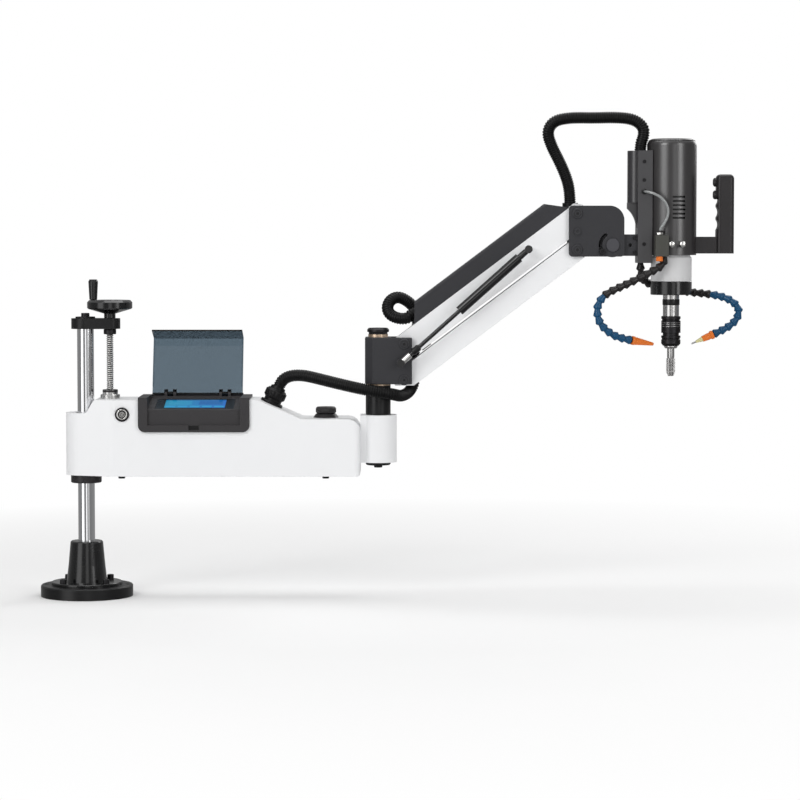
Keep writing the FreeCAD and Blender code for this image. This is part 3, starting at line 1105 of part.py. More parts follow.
# ---------------------------------------------------------------- conduit gland and regulator
def make_gland():
    bore = "(conduit_d / 2 + seat_fit)"
    neck = "(gland_base_thick + gland_neck_tall)"
    base = turned("gland_turned", [
        (bore, "-8"), ("gland_seal_d / 2 - seat_fit", "-8"), ("gland_seal_d / 2 - seat_fit", "0"),
        ("gland_base_d / 2", "0"), ("gland_base_d / 2", "gland_base_thick - 1"),
        ("gland_base_d / 2 - 1", "gland_base_thick"), ("gland_neck_d / 2", "gland_base_thick"),
        ("gland_neck_d / 2", neck), (bore, neck)])
    top = f"({neck} + gland_nut_tall)"
    nut = turned("gland_nut", [
        (bore, neck), ("gland_nut_d / 2 - 2", neck), ("gland_nut_d / 2", f"{neck} + 3"),
        ("gland_nut_d / 2", f"{top} - 4"), ("gland_nut_d / 2 - 3", top),
        ("gland_seal_d / 2", top), ("gland_seal_d / 2 - 1", f"{top} + gland_seal_tall"),
        (bore, f"{top} + gland_seal_tall")])
    keep("conduit_gland", put(group("conduit_gland", base, nut), GLAND_AT, GLAND_TURN))


def make_regulator():
    skirt_top = f"({ARM_END_TOP} + knob_skirt_tall)"
    body_low = f"({ARM_END_TOP} - arm_wall - regulator_tall)"
    stem = "(knob_stem_d / 2)"
    body = turned("regulator_body", [
        ("0", body_low), ("regulator_d / 2", body_low), ("regulator_d / 2", f"{ARM_END_TOP} - arm_wall"),
        (f"{stem} + 2 - seat_fit", f"{ARM_END_TOP} - arm_wall"),
        (f"{stem} + 2 - seat_fit", ARM_END_TOP), ("knob_skirt_d / 2", ARM_END_TOP),
        ("knob_skirt_d / 2 - 5", skirt_top), (f"{stem} + run_fit", skirt_top),
        (f"{stem} + run_fit", f"{ARM_END_TOP} - 2"), ("0", f"{ARM_END_TOP} - 2")])
    keep("air_regulator", put(body, ("knob_x", "0", "0")))
    low = f"({skirt_top} + 0.5)"
    knob = turned("regulator_knob", [
        ("0", f"{ARM_END_TOP} - 1.5"), (stem, f"{ARM_END_TOP} - 1.5"), (stem, low),
        ("knob_d / 2 - 2", low), ("knob_d / 2", f"{low} + 2"), ("knob_d / 2", f"{low} + knob_tall - 2"),
        ("knob_d / 2 - 2", f"{low} + knob_tall"), ("0", f"{low} + knob_tall")])
    keep("regulator_knob", put(knob, ("knob_x", "0", "0")))


# ---------------------------------------------------------------- elbow
def make_elbow():
    drum = rod("elbow_drum", "elbow_d", ("elbow_low", ELBOW_TOP), ("elbow_x", "0"))
    pad = box("elbow_pad", ("arm_long", "elbow_x"), ("-elbow_bolt_side - 10", "elbow_bolt_side + 10"),
              ("elbow_low", ELBOW_TOP))
    trim = box("elbow_trim", ("arm_long - 40", "arm_long"), ("-arm_wide", "arm_wide"),
               ("elbow_low - 1", f"{ELBOW_TOP} + 1"))
    bore = rod("elbow_bore", "post_root_d + 2 * seat_fit", ("elbow_low - 1", f"{ELBOW_TOP} + 1"),
               ("elbow_x", "0"))
    threads = []
    bolts = []
    for place, (rise, side) in enumerate(elbow_bolt_spots()):
        threads.append(rod(f"elbow_thread_{place}", "elbow_bolt_d + 2 * seat_fit",
                           ("arm_long - 1", "arm_long + elbow_bolt_grip + 1"), (side, rise), "x"))
        screw = cap_screw(f"elbow_bolt_{place}", "elbow_bolt_d", "elbow_bolt_grip + arm_end_wall",
                          "elbow_bolt_d")
        bolts.append(put(screw, ("arm_long - arm_end_wall", side, rise), ((0, 1, 0), "-90")))
    housing = cut("elbow_body", fuse("elbow_solid", drum, pad), trim, bore, *threads)
    keep("elbow_housing", group("elbow_housing", housing, *bolts))
    shoulder = f"({ELBOW_TOP} + post_tall)"
    nut_low = f"({BLOCK_TOP} + bush_top_tall + panel_gap)"
    post = turned("post_turned", [
        ("0", "elbow_low + 1"), ("post_root_d / 2", "elbow_low + 1"), ("post_root_d / 2", ELBOW_TOP),
        ("post_d / 2", ELBOW_TOP), ("post_d / 2", shoulder), ("post_pin_d / 2", shoulder),
        ("post_pin_d / 2", nut_low), ("post_pin_d / 2 - 3", nut_low),
        ("post_pin_d / 2 - 3", f"{nut_low} + elbow_nut_tall - 2"),
        ("0", f"{nut_low} + elbow_nut_tall - 2")])
    thread = rod("post_thread", "elbow_cap_bolt_d + 2 * seat_fit",
                 ("elbow_low - 1", "elbow_low + elbow_cap_bolt_grip + 1"), ("0", "0"))
    keep("elbow_post", put(cut("elbow_post", post, thread), ("elbow_x", "0", "0")))
    disc_low = f"({nut_low} + elbow_nut_hex_tall)"
    disc = turned("elbow_nut_disc", [
        ("0", disc_low), ("elbow_nut_d / 2 - 1", disc_low), ("elbow_nut_d / 2", f"{disc_low} + 1"),
        ("elbow_nut_d / 2", f"{nut_low} + elbow_nut_tall - 3"),
        ("elbow_nut_d / 2 - 3", f"{nut_low} + elbow_nut_tall"), ("0", f"{nut_low} + elbow_nut_tall")])
    hexagon = doc.addObject("Part::Prism", "elbow_nut_hexagon")
    hexagon.Polygon = 6
    bind(hexagon, "Circumradius", "elbow_nut_hex / 2")
    bind(hexagon, "Height", "elbow_nut_hex_tall + 1")
    put(hexagon, ("0", "0", nut_low))
    nut_bore = rod("elbow_nut_bore", "post_pin_d - 6 + 2 * seat_fit",
                   (f"{nut_low} - 1", f"{nut_low} + elbow_nut_tall + 1"), ("0", "0"))
    nut = cut("elbow_nut", fuse("elbow_nut_solid", disc, hexagon), nut_bore)
    put(nut, ("elbow_x", "0", "0"))
    cap = turned("elbow_cap", [
        ("elbow_cap_bolt_d / 2 + seat_fit", "elbow_low - elbow_cap_thick"),
        ("elbow_cap_d / 2 - 2", "elbow_low - elbow_cap_thick"),
        ("elbow_cap_d / 2", "elbow_low - elbow_cap_thick + 2"), ("elbow_cap_d / 2", "elbow_low"),
        ("elbow_cap_bolt_d / 2 + seat_fit", "elbow_low")])
    put(cap, ("elbow_x", "0", "0"))
    bolt = cap_screw("elbow_cap_bolt", "elbow_cap_bolt_d", "elbow_cap_bolt_grip + elbow_cap_thick",
                     "elbow_cap_bolt_head")
    put(bolt, ("elbow_x", "0", "elbow_low - elbow_cap_thick"), FACING_DOWN)
    keep("elbow_fastenings", group("elbow_fastenings", nut, cap, bolt))


def make_block():
    """The elbow block is drawn round the elbow axis and then moved to it."""
    half = "(block_wide / 2)"
    block = padded("block_plan", [
        ("-block_back + block_chamfer", f"-{half}"), ("block_front", f"-{half}"), ("block_front", half),
        ("-block_back + block_chamfer", half), ("-block_back", f"{half} - block_chamfer"),
        ("-block_back", f"-{half} + block_chamfer")], "block_tall", "XY_Plane")
    front = number("block_front")
    round_edges(block, "block_edges", "2",
                lambda edge: upright(edge, x=front, z=0) or not near(edge.CenterOfMass.z, 0))
    put(block, ("0", "0", f"{BLOCK_LOW} + block_tall / 2"))
    slot = box("block_slot", ("slot_back", "block_front + 1"), (f"-{BLOCK_INNER}", BLOCK_INNER),
               (f"{BLOCK_LOW} - 1", f"{BLOCK_TOP} + 1"))
    bore = rod("block_bore", "block_bush_od + 2 * seat_fit", (f"{BLOCK_LOW} - 1", f"{BLOCK_TOP} + 1"),
               ("0", "0"))
    holes = [rod(f"block_pivot_hole_{place}", "pivot_pin_d + 2 * seat_fit",
                 (f"-{half} - 1", f"{half} + 1"), ("pivot_reach", height), "y")
             for place, height in enumerate((PIVOT_Z, LOWER_PIVOT_Z))]
    stud = rod("block_stud_hole", "stud_d + 2 * seat_fit", (f"-{half} - 1", f"-{half} + 10"),
               ("pivot_reach - strut_foot_x", f"{PIVOT_Z} - strut_foot_z"), "y")
    body = cut("elbow_block", block, slot, bore, stud, *holes)
    keep("elbow_block", put(body, ("elbow_x", "0", "0")))
    bushes = []
    for place, (face, sign, flange_d, flange_tall) in enumerate((
            (BLOCK_LOW, -1, "post_d", "washer_thick"), (BLOCK_TOP, 1, "bush_top_d", "bush_top_tall"))):
        bush = turned(f"block_bush_{place}", [
            ("post_pin_d / 2 + run_fit", f"{-sign} * block_bush_tall"),
            ("block_bush_od / 2", f"{-sign} * block_bush_tall"), ("block_bush_od / 2", "0"),
            (f"{flange_d} / 2", "0"), (f"{flange_d} / 2", f"{sign} * {flange_tall}"),
            ("post_pin_d / 2 + run_fit", f"{sign} * {flange_tall}")])
        bushes.append(put(bush, ("elbow_x", "0", face)))
    keep("elbow_bushes", group("elbow_bushes", *bushes))
    pins = pivot_pins("block_pivot", half, ((PIVOT_X, PIVOT_Z), (PIVOT_X, LOWER_PIVOT_Z)))
    stud = strut_stud("strut_lower_stud", STRUT_X, STRUT_Z, half, "9")
    clamp_y = f"({half} + clamp_band + conduit_d / 2)"
    band = rod("clamp_ring", "conduit_d + 2 * clamp_band",
               (f"{CLAMP_Z} - clamp_wide / 2", f"{CLAMP_Z} + clamp_wide / 2"), (CLAMP_X, clamp_y))
    foot = box("clamp_foot", (f"{CLAMP_X} - conduit_d / 2 - clamp_band - clamp_foot", CLAMP_X),
               (half, f"{half} + clamp_band"),
               (f"{CLAMP_Z} - clamp_wide / 2", f"{CLAMP_Z} + clamp_wide / 2"))
    hole = rod("clamp_hole", "conduit_d + 2 * seat_fit",
               (f"{CLAMP_Z} - clamp_wide", f"{CLAMP_Z} + clamp_wide"), (CLAMP_X, clamp_y))
    clamp = cut("conduit_clamp", fuse("clamp_solid", band, foot), hole)
    keep("block_fittings", group("block_fittings", *pins, stud, clamp))


CLAMP_X = f"({PIVOT_X} + clamp_reach)"
CLAMP_Z = f"({BLOCK_LOW} + clamp_rise)"


def pivot_pins(name, half, spots):
    """Shouldered pins along Y through two cheeks, a flat head on each face."""
    pins = []
    for place, (x, z) in enumerate(spots):
        pin = turned(f"{name}_{place}", [
            ("0", f"-{half} - pivot_head"), ("pivot_head_d / 2 - 1", f"-{half} - pivot_head"),
            ("pivot_head_d / 2", f"-{half} - pivot_head + 1"), ("pivot_head_d / 2", f"-{half}"),
            ("pivot_pin_d / 2", f"-{half}"), ("pivot_pin_d / 2", half), ("pivot_head_d / 2", half),
            ("pivot_head_d / 2", f"{half} + pivot_head - 1"),
            ("pivot_head_d / 2 - 1", f"{half} + pivot_head"), ("0", f"{half} + pivot_head")])
        pins.append(put(pin, (x, "0", z), FACING_FRONT))
    return pins


# ---------------------------------------------------------------- links, drawn along X from their pivot
def link_bushes(name):
    bushes = []
    for place, reach in enumerate(("0", "link_long")):
        outer = rod(f"{name}_sleeve_{place}", "eye_bush_od", ("-link_wide / 2", "link_wide / 2"),
                    (reach, "0"), "y")
        inner = rod(f"{name}_bore_{place}", "pivot_pin_d + 2 * run_fit", ("-link_wide", "link_wide"),
                    (reach, "0"), "y")
        bushes.append(cut(f"{name}_bush_{place}", outer, inner))
    return bushes


def link_eyes(name):
    return [rod(f"{name}_eye_{place}", "eye_bush_od + 2 * seat_fit", ("-link_wide", "link_wide"),
                (reach, "0"), "y") for place, reach in enumerate(("0", "link_long"))]


def make_upper_link():
    top = "upper_above"
    low = "-upper_below"
    beam = padded("upper_beam", [
        ("-0.45 * upper_above", top), ("-upper_above", "0.45 * upper_above"),
        ("-upper_above", "-0.45 * upper_above"), ("-0.3 * upper_above", "-0.95 * upper_above"),
        ("0.8 * upper_above", low), ("link_long", low),
        ("link_long + 0.55 * upper_above", "-1.1 * upper_above"),
        ("link_long + upper_above", "-0.45 * upper_above"), ("link_long + upper_above", "0.45 * upper_above"),
        ("link_long + 0.45 * upper_above", top)], "link_wide")
    inner = "(link_wide / 2 - link_wall)"
    trough = box("upper_trough", ("eye_solid", "link_long - eye_solid"), (f"-{inner}", inner),
                 ("-upper_below + link_wall", "upper_above + 1"))
    stud_hole = rod("upper_stud_hole", "stud_d + 2 * seat_fit",
                    ("-link_wide / 2 - 1", "-link_wide / 2 + link_wall + 1"),
                    ("strut_top_u", "strut_top_v"), "y")
    at = (PIVOT_X, "0", PIVOT_Z)
    body = put(cut("upper_body", beam, trough, stud_hole, *link_eyes("upper")), at, LINK_TURN)
    bushes = put(group("upper_bushes", *link_bushes("upper")), at, LINK_TURN)
    stud = strut_stud("strut_upper_stud", STRUT_TOP_X, STRUT_TOP_Z, "(link_wide / 2)", "link_wall")
    keep("upper_link", group("upper_link", body, bushes, stud))
    buffers = []
    middles = ("0.8 * upper_above + buffer_long / 2 + 6", "link_long - buffer_long / 2 - 6")
    for place, middle in enumerate(middles):
        buffers.append(box(f"buffer_{place}", (f"{middle} - buffer_long / 2", f"{middle} + buffer_long / 2"),
                           ("-buffer_wide / 2", "buffer_wide / 2"), ("-upper_below - buffer_thick", low)))
    keep("link_buffers", put(group("link_buffers", *buffers), at, LINK_TURN))


COVER_MOUTH = ("cover_low_start + 0.32 * (cover_top_start - cover_low_start)", "0",
               "upper_above + 0.32 * cover_rise")


def make_cable_cover():
    top = "(upper_above + cover_rise)"
    low = "upper_above"
    shell = padded("cover_shell", [
        ("cover_low_start", low), ("cover_low_end", low), ("cover_top_end", top), ("cover_top_start", top)],
        "cable_cover_wide")
    crest = number(top)
    half = number("cable_cover_wide / 2")
    round_edges(shell, "cover_crest", "4",
                lambda edge: near(edge.CenterOfMass.z, crest) and near(abs(edge.CenterOfMass.y), half))
    inner = "(cable_cover_wide / 2 - cable_cover_wall)"
    hollow = padded("cover_hollow", [
        ("cover_low_start + 6", f"{low} - 1"), ("cover_low_end - 6", f"{low} - 1"),
        ("cover_top_end - cable_cover_wall", f"{top} - cable_cover_wall"),
        ("cover_top_start + cable_cover_wall", f"{top} - cable_cover_wall")],
        f"2 * {inner}")
    entry = rod("cover_entry", "conduit_d + 5", ("-30", "30"), ("0", "0"), "x")
    entry = put(group("cover_entry_tool", entry), COVER_MOUTH, ((0, 1, 0), "link_angle"))
    at = (PIVOT_X, "0", PIVOT_Z)
    cover = cut("cable_cover", shell, hollow, entry)
    keep("cable_cover", put(cover, at, LINK_TURN))


def make_lower_link():
    half = "lower_half"
    heel_x = "(lower_half * cos(link_angle) - link_heel) / sin(link_angle)"
    heel_z = "(lower_half * sin(link_angle) - link_heel) / cos(link_angle)"
    beam = padded("lower_beam", [
        ("-0.42 * lower_half", half), (f"-{half}", "0.42 * lower_half"), (f"-{half}", heel_z),
        (heel_x, f"-{half}"), ("link_long + 0.42 * lower_half", f"-{half}"),
        ("link_long + lower_half", "-0.42 * lower_half"), ("link_long + lower_half", "0.42 * lower_half"),
        ("link_long + 0.42 * lower_half", half)], "link_wide")
    inner = "(link_wide / 2 - link_wall)"
    trough = box("lower_trough", ("eye_solid", "link_long - eye_solid"), (f"-{inner}", inner),
                 ("-lower_half - 1", "lower_half - link_wall"))
    at = (PIVOT_X, "0", LOWER_PIVOT_Z)
    body = cut("lower_body", beam, trough, *link_eyes("lower"))
    keep("lower_link", put(group("lower_link", body, *link_bushes("lower")), at, LINK_TURN))


# ---------------------------------------------------------------- gas strut, drawn along X from its lower stud
STRUT_X = f"({PIVOT_X} - strut_foot_x)"
STRUT_Z = f"({PIVOT_Z} - strut_foot_z)"
STRUT_TOP_X = f"({PIVOT_X} + strut_top_u * cos(link_angle) - strut_top_v * sin(link_angle))"
STRUT_TOP_Z = f"({PIVOT_Z} + strut_top_u * sin(link_angle) + strut_top_v * cos(link_angle))"


STRUT_ANGLE = f"atan2({STRUT_TOP_Z} - {STRUT_Z}; {STRUT_TOP_X} - {STRUT_X})"
STRUT_LENGTH = f"(({STRUT_TOP_X} - {STRUT_X}) / cos({STRUT_ANGLE}))"
STRUT_TURN = ((0, -1, 0), STRUT_ANGLE)


def strut_stud(name, x, z, face, root):
    """A ball stud: its shank in the carrying piece, a collar on its face, the ball in the strut's eye."""
    reach = f"(strut_plane - {face})"
    ball = "(stud_ball_d / 2)"
    waist = f"({reach} - 0.8 * {ball})"
    body = turned(name, [
        ("0", f"-{root}"), ("stud_d / 2", f"-{root}"), ("stud_d / 2", "0"), ("stud_seat_d / 2", "0"),
        ("stud_seat_d / 2", f"0.45 * ({reach} - {ball})"),
        ("0.3 * stud_ball_d", f"0.6 * ({reach} - {ball})"),
        ("0.3 * stud_ball_d", waist), (ball, f"{reach} - 0.35 * {ball}"), (ball, f"{reach} + 0.35 * {ball}"),
        ("0.3 * stud_ball_d", f"{reach} + {ball}"), ("0", f"{reach} + {ball}")])
    return put(body, (x, f"-{face}", z), FACING_FRONT)


def strut_eye(name, reach):
    """The end fitting at reach along the strut: a cup round the ball, open at the back for the stud."""
    cup = rod(f"{name}_cup", "strut_eye_d", ("-stud_ball_d / 2 - 3", "stud_ball_d / 2 - 1.5"),
              (reach, "0"), "y")
    return cup


def make_strut():
    at = (STRUT_X, "-strut_plane", STRUT_Z)
    lower_neck = rod("lower_neck", "0.8 * strut_eye_d", ("0.4 * strut_eye_d", "strut_eye_long"),
                     ("0", "0"), "x")
    shaft = rod("strut_shaft", "strut_rod_d", ("strut_eye_long - 1", "strut_rod_long"), ("0", "0"), "x")
    lower_ball = rod("lower_ball_room", "stud_ball_d + 2 * run_fit",
                     ("-stud_ball_d / 2 - 0.5", "stud_ball_d"), ("0", "0"), "y")
    keep("strut_rod", put(cut("strut_rod", fuse("strut_rod_solid", strut_eye("lower_end", "0"), lower_neck,
                                                shaft), lower_ball), at, STRUT_TURN))
    end = STRUT_LENGTH
    tube_end = f"({end} - strut_eye_long)"
    tube_start = f"({tube_end} - strut_tube_long)"
    upper_neck = rod("upper_neck", "0.8 * strut_eye_d", (f"{tube_end} - 1", f"{end} - 0.4 * strut_eye_d"),
                     ("0", "0"), "x")
    tube = rod("strut_barrel", "strut_d", (tube_start, tube_end), ("0", "0"), "x")
    bore = rod("strut_bore", "strut_bore_d", (f"{tube_start} + 3", f"{tube_end} - 4"), ("0", "0"), "x")
    mouth = rod("strut_mouth", "strut_mouth_d", (f"{tube_start} - 1", f"{tube_start} + 4"), ("0", "0"), "x")
    upper_ball = rod("upper_ball_room", "stud_ball_d + 2 * run_fit",
                     ("-stud_ball_d / 2 - 0.5", "stud_ball_d"), (end, "0"), "y")
    keep("strut_tube", put(cut("strut_tube", fuse("strut_tube_solid", strut_eye("upper_end", end),
                                                  upper_neck, tube), bore, mouth, upper_ball), at, STRUT_TURN))


# ---------------------------------------------------------------- head carrier
def cheek_plate(name, front_side):
    """One cheek plate, drawn flat round the upper link pivot, with its holes."""
    left = "-cheek_back"
    right = "(cheek_wide - cheek_back)"
    top = "cheek_above"
    low = "(cheek_above - cheek_tall)"
    plate = padded(name + "_plate", [(left, low), (right, low), (right, top), (left, top)], "cheek_thick")
    corner = (number(right), number(top))
    round_edges(plate, name + "_round", "cheek_round_r",
                lambda edge: upright(edge, x=corner[0], y=0, z=corner[1]))
    round_edges(plate, name + "_corners", "cheek_corner_r",
                lambda edge: upright(edge, y=0) and near(edge.Length, number("cheek_thick"))
                and any(upright(edge, x=x, z=z) for x, z in ((number(left), number(low)),
                                                             (number(left), number(top)),
                                                             (number(right), number(low)))))
    span = ("-cheek_thick", "cheek_thick")
    tools = [rod(f"{name}_hole_{place}", "pivot_pin_d + 2 * seat_fit", span, spot, "y")
             for place, spot in enumerate((("0", "0"), ("0", "-pivot_space")))]
    tools.append(rod(f"{name}_screw_hole", "cheek_screw_d + 2 * seat_fit", span, ("0", "-pivot_space / 2"),
                     "y"))
    tools.append(rod(f"{name}_tilt_hole", "tilt_pin_d + 2 * seat_fit", span, ("tilt_x", "-tilt_drop"), "y"))
    if front_side:
        tools.append(arc_slot(name))
    cheek = cut(name, plate, *tools)
    sign = "-" if front_side else ""
    return put(cheek, (HEAD_PIVOT_X, f"{sign}({CHEEK_INNER} + cheek_thick / 2)", HEAD_PIVOT_Z))


def arc_slot(name):
    """The arc slot for the lock screw, round the tilt axis, from its lower end clockwise."""
    half = "(lock_d / 2 + 0.5)"
    span = ("-cheek_thick", "cheek_thick")
    ring = cut(name + "_arc_ring",
               rod(name + "_arc_outer", f"2 * (arc_r + {half})", span, ("0", "0")),
               rod(name + "_arc_inner", f"2 * (arc_r - {half})", span, ("0", "0")))
    wedge = doc.addObject("Part::Cylinder", name + "_arc_wedge")
    bind(wedge, "Radius", "3 * arc_r")
    bind(wedge, "Height", "2 * cheek_thick")
    bind(wedge, "Angle", "arc_span")
    put(wedge, ("0", "0", "-cheek_thick"), ((0, 0, 1), "arc_low_angle - arc_span"))
    sector = common(name + "_arc_sector", ring, wedge)
    ends = [rod(f"{name}_arc_end_{place}", f"2 * {half}", span,
                (f"arc_r * cos({angle})", f"arc_r * sin({angle})"))
            for place, angle in enumerate(("arc_low_angle", "arc_low_angle - arc_span"))]
    slot = fuse(name + "_arc_slot", sector, *ends)
    return put(slot, ("tilt_x", "0", "-tilt_drop"), FACING_FRONT)


def make_carrier():
    keep("cheek_plates", group("cheek_plates", cheek_plate("front_cheek", True),
                               cheek_plate("rear_cheek", False)))
    pins = pivot_pins("carrier_pivot", CHEEK_OUTER,
                      ((HEAD_PIVOT_X, HEAD_PIVOT_Z), (HEAD_PIVOT_X, f"{HEAD_PIVOT_Z} - pivot_space")))
    tilt = turned("tilt_pin", [
        ("0", f"-{CHEEK_OUTER} - tilt_disc_thick"),
        ("tilt_disc_d / 2 - 1", f"-{CHEEK_OUTER} - tilt_disc_thick"),
        ("tilt_disc_d / 2", f"-{CHEEK_OUTER} - tilt_disc_thick + 1"), ("tilt_disc_d / 2", f"-{CHEEK_OUTER}"),
        ("tilt_pin_d / 2", f"-{CHEEK_OUTER}"), ("tilt_pin_d / 2", CHEEK_OUTER),
        ("tilt_disc_d / 2", CHEEK_OUTER), ("tilt_disc_d / 2", f"{CHEEK_OUTER} + tilt_disc_thick - 1"),
        ("tilt_disc_d / 2 - 1", f"{CHEEK_OUTER} + tilt_disc_thick"),
        ("0", f"{CHEEK_OUTER} + tilt_disc_thick")])
    put(tilt, (TILT_X, "0", TILT_Z), FACING_FRONT)
    spacer = rod("carrier_spacer", "spacer_d", (f"-{CHEEK_INNER}", CHEEK_INNER),
                 (f"{HEAD_PIVOT_X} + spacer_x", f"{HEAD_PIVOT_Z} - 6"), "y")
    screws = []
    for sign, turn in (("-", FACING_FRONT), ("", FACING_BACK)):
        screw = cap_screw(f"cheek_screw_{len(screws)}", "cheek_screw_d", "cheek_thick", "cheek_screw_head",
                          "cheek_screw_head_d")
        spot = (HEAD_PIVOT_X, f"{sign}{CHEEK_OUTER}", f"{HEAD_PIVOT_Z} - pivot_space / 2")
        screws.append(put(screw, spot, turn))
    keep("carrier_pins", group("carrier_pins", *pins, tilt, spacer, *screws))
    half = "(carrier_gland_d / 2)"
    middle = f"({CHEEK_OUTER} + pivot_head + {half})"
    base = box("carrier_box", (f"{CARRIER_GLAND_X} - {half}", f"{CARRIER_GLAND_X} + {half}"),
               (CHEEK_OUTER, f"{middle} + {half}"), (CARRIER_BOX_LOW, CARRIER_BOX_TOP))
    ring = rod("carrier_gland_ring", "carrier_gland_d", (f"{CARRIER_BOX_TOP} - 1",
                                                        f"{CARRIER_BOX_TOP} + carrier_gland_tall"),
               (CARRIER_GLAND_X, middle))
    hole = rod("carrier_gland_hole", "conduit_d + 2 * seat_fit",
               (f"{CARRIER_BOX_TOP} - 8", f"{CARRIER_BOX_TOP} + 30"), (CARRIER_GLAND_X, middle))
    relief = rod("carrier_pin_relief", "pivot_head_d + 1",
                 (f"{CHEEK_OUTER} - 1", f"{CHEEK_OUTER} + pivot_head + 0.3"), (HEAD_PIVOT_X, HEAD_PIVOT_Z), "y")
    keep("carrier_gland", cut("carrier_gland", fuse("carrier_gland_solid", base, ring), hole, relief))


CARRIER_GLAND_X = f"({HEAD_PIVOT_X} - carrier_gland_x)"
CARRIER_GLAND_Y = f"({CHEEK_OUTER} + pivot_head + carrier_gland_d / 2)"
CARRIER_BOX_TOP = f"({HEAD_PIVOT_Z} + cheek_above - 4)"
CARRIER_BOX_LOW = f"({CARRIER_BOX_TOP} - carrier_box_tall)"


# ---------------------------------------------------------------- head: tilt block, channel, motor, gearbox
def make_tilt_block():
    """Drawn round the tilt axis with Y as its thickness, then moved to it."""
    half = "(link_wide / 2)"
    span = (f"-{half}", half)
    nose = rod("tilt_nose", "2 * tilt_nose_r", span, ("0", "0"), "y")
    bar = box("tilt_bar", ("0", "head_x - channel_offset"), span,
              ("-tilt_block_tall / 2", "tilt_block_tall / 2"))
    lug_x = "arc_r * cos(arc_low_angle)"
    lug_z = "arc_r * sin(arc_low_angle)"
    lug = rod("tilt_lug", "2 * tilt_lug_r", span, (lug_x, lug_z), "y")
    hole = rod("tilt_hole", "tilt_pin_d + 2 * run_fit", (f"-{half} - 1", f"{half} + 1"), ("0", "0"), "y")
    thread = rod("lock_thread", "lock_d + 2 * seat_fit", (f"-{half} - 1", f"-{half} + 19"),
                 (lug_x, lug_z), "y")
    gauge = rod("tilt_gauge_hole", "7", (f"-{half} - 1", f"-{half} + 8"), ("33.5", "0"), "y")
    seats = [rod(f"block_screw_hole_{place}", "block_screw_d + 2 * seat_fit",
                 (f"-{half} - 1", f"-{half} + block_screw_long + 1"),
                 ("block_screw_x", f"{sign} * block_screw_rise"), "y") for place, sign in enumerate((1, -1))]
    solid = fuse("tilt_block_solid", nose, bar, lug)
    keep("tilt_block", put(cut("tilt_block", solid, hole, thread, gauge, *seats), (TILT_X, "0", TILT_Z)))
    screw = cap_screw("lock_screw", "lock_d", f"18 + {CHEEK_OUTER} - {half}", "lock_head", "lock_head_d")
    put(screw, (f"{TILT_X} + {lug_x}", f"-{CHEEK_OUTER} - 0.3", f"{TILT_Z} + {lug_z}"), FACING_FRONT)
    screws = [screw]
    for place, sign in enumerate((1, -1)):
        item = cap_screw(f"block_screw_{place}", "block_screw_d", "block_screw_long", "block_screw_d")
        spot = (f"{TILT_X} + block_screw_x", f"-{half}", f"{TILT_Z} + {sign} * block_screw_rise")
        screws.append(put(item, spot, FACING_FRONT))
    return screws


CHANNEL_X = f"({SPINDLE_X} - channel_offset)"
CHANNEL_LOW = f"({TILT_Z} - channel_drop)"
CHANNEL_TOP = f"({CHANNEL_LOW} + channel_tall)"
TUBE_HOLE_Z = f"({CHANNEL_TOP} - channel_tube_drop)"


def make_channel():
    half = "(channel_wide / 2)"
    front = f"({CHANNEL_X} + channel_front)"
    trunk = box("channel_trunk", (CHANNEL_X, front), (f"-{half}", half), (CHANNEL_LOW, CHANNEL_TOP))
    bulge = rod("channel_bulge", "2 * channel_bulge_r", (f"{CHANNEL_TOP} - channel_bulge_tall", CHANNEL_TOP),
                (CHANNEL_X, "0"))
    foot_z = f"({CHANNEL_TOP} - channel_bulge_tall)"
    scoop_block = box("channel_scoop_block", (f"{CHANNEL_X} - channel_bulge_r", CHANNEL_X),
                      (f"-0.6 * channel_bulge_r", "0.6 * channel_bulge_r"),
                      (f"{foot_z} - channel_scoop", foot_z))
    scoop = rod("channel_scoop", "2 * channel_scoop", ("-channel_wide", "channel_wide"),
                (f"{CHANNEL_X} - channel_scoop - 1", f"{foot_z} - channel_scoop"), "y")
    scooped = cut("channel_scooped", scoop_block, scoop)
    motor_room = rod("channel_motor_room", "cover_d + 2 * seat_fit",
                     (f"{CHANNEL_LOW} - 1", f"{CHANNEL_TOP} + 1"), (SPINDLE_X, "0"))
    duct = box("channel_duct", (f"{CHANNEL_X} + channel_wall", f"{CHANNEL_X} + channel_front / 2"),
               (f"-{half} + channel_wall", f"{half} - channel_wall"),
               (f"{CHANNEL_LOW} + channel_wall", f"{CHANNEL_TOP} - channel_wall"))
    inlet = rod("channel_inlet", "conduit_d + 2 * seat_fit", (f"{CHANNEL_TOP} - 22", f"{CHANNEL_TOP} + 1"),
                (f"{CHANNEL_X} + channel_inlet_x", "0"))
    gearbox_room = rod("channel_gearbox_room", "nose_d + 2", (f"{CHANNEL_LOW} - 1", COVER_LOW),
                       (SPINDLE_X, "0"))
    tube_hole = rod("channel_tube_hole", "air_tube_d + 2 * seat_fit", (f"-{half} - 1", f"-{half} + 9"),
                    (f"{CHANNEL_X} + channel_tube_x", TUBE_HOLE_Z), "y")
    screws = []
    holes = []
    for place, height in enumerate((159, 124, 2)):
        spot = (f"{CHANNEL_X} + 12", f"{TILT_Z} + {height}")
        holes.append(rod(f"channel_screw_hole_{place}", "3.1", (f"-{half} - 1", f"-{half} + 3.5"), spot, "y"))
        item = cap_screw(f"channel_screw_{place}", "3", "3", "channel_screw_head", "channel_screw_d")
        screws.append(put(item, (spot[0], f"-{half}", spot[1]), FACING_FRONT))
    solid = fuse("channel_solid", trunk, bulge, scooped)
    keep("wiring_channel", cut("wiring_channel", solid, motor_room, gearbox_room, duct, inlet, tube_hole,
                               *holes))
    keep("head_screws", group("head_screws", *screws, *make_tilt_block()))


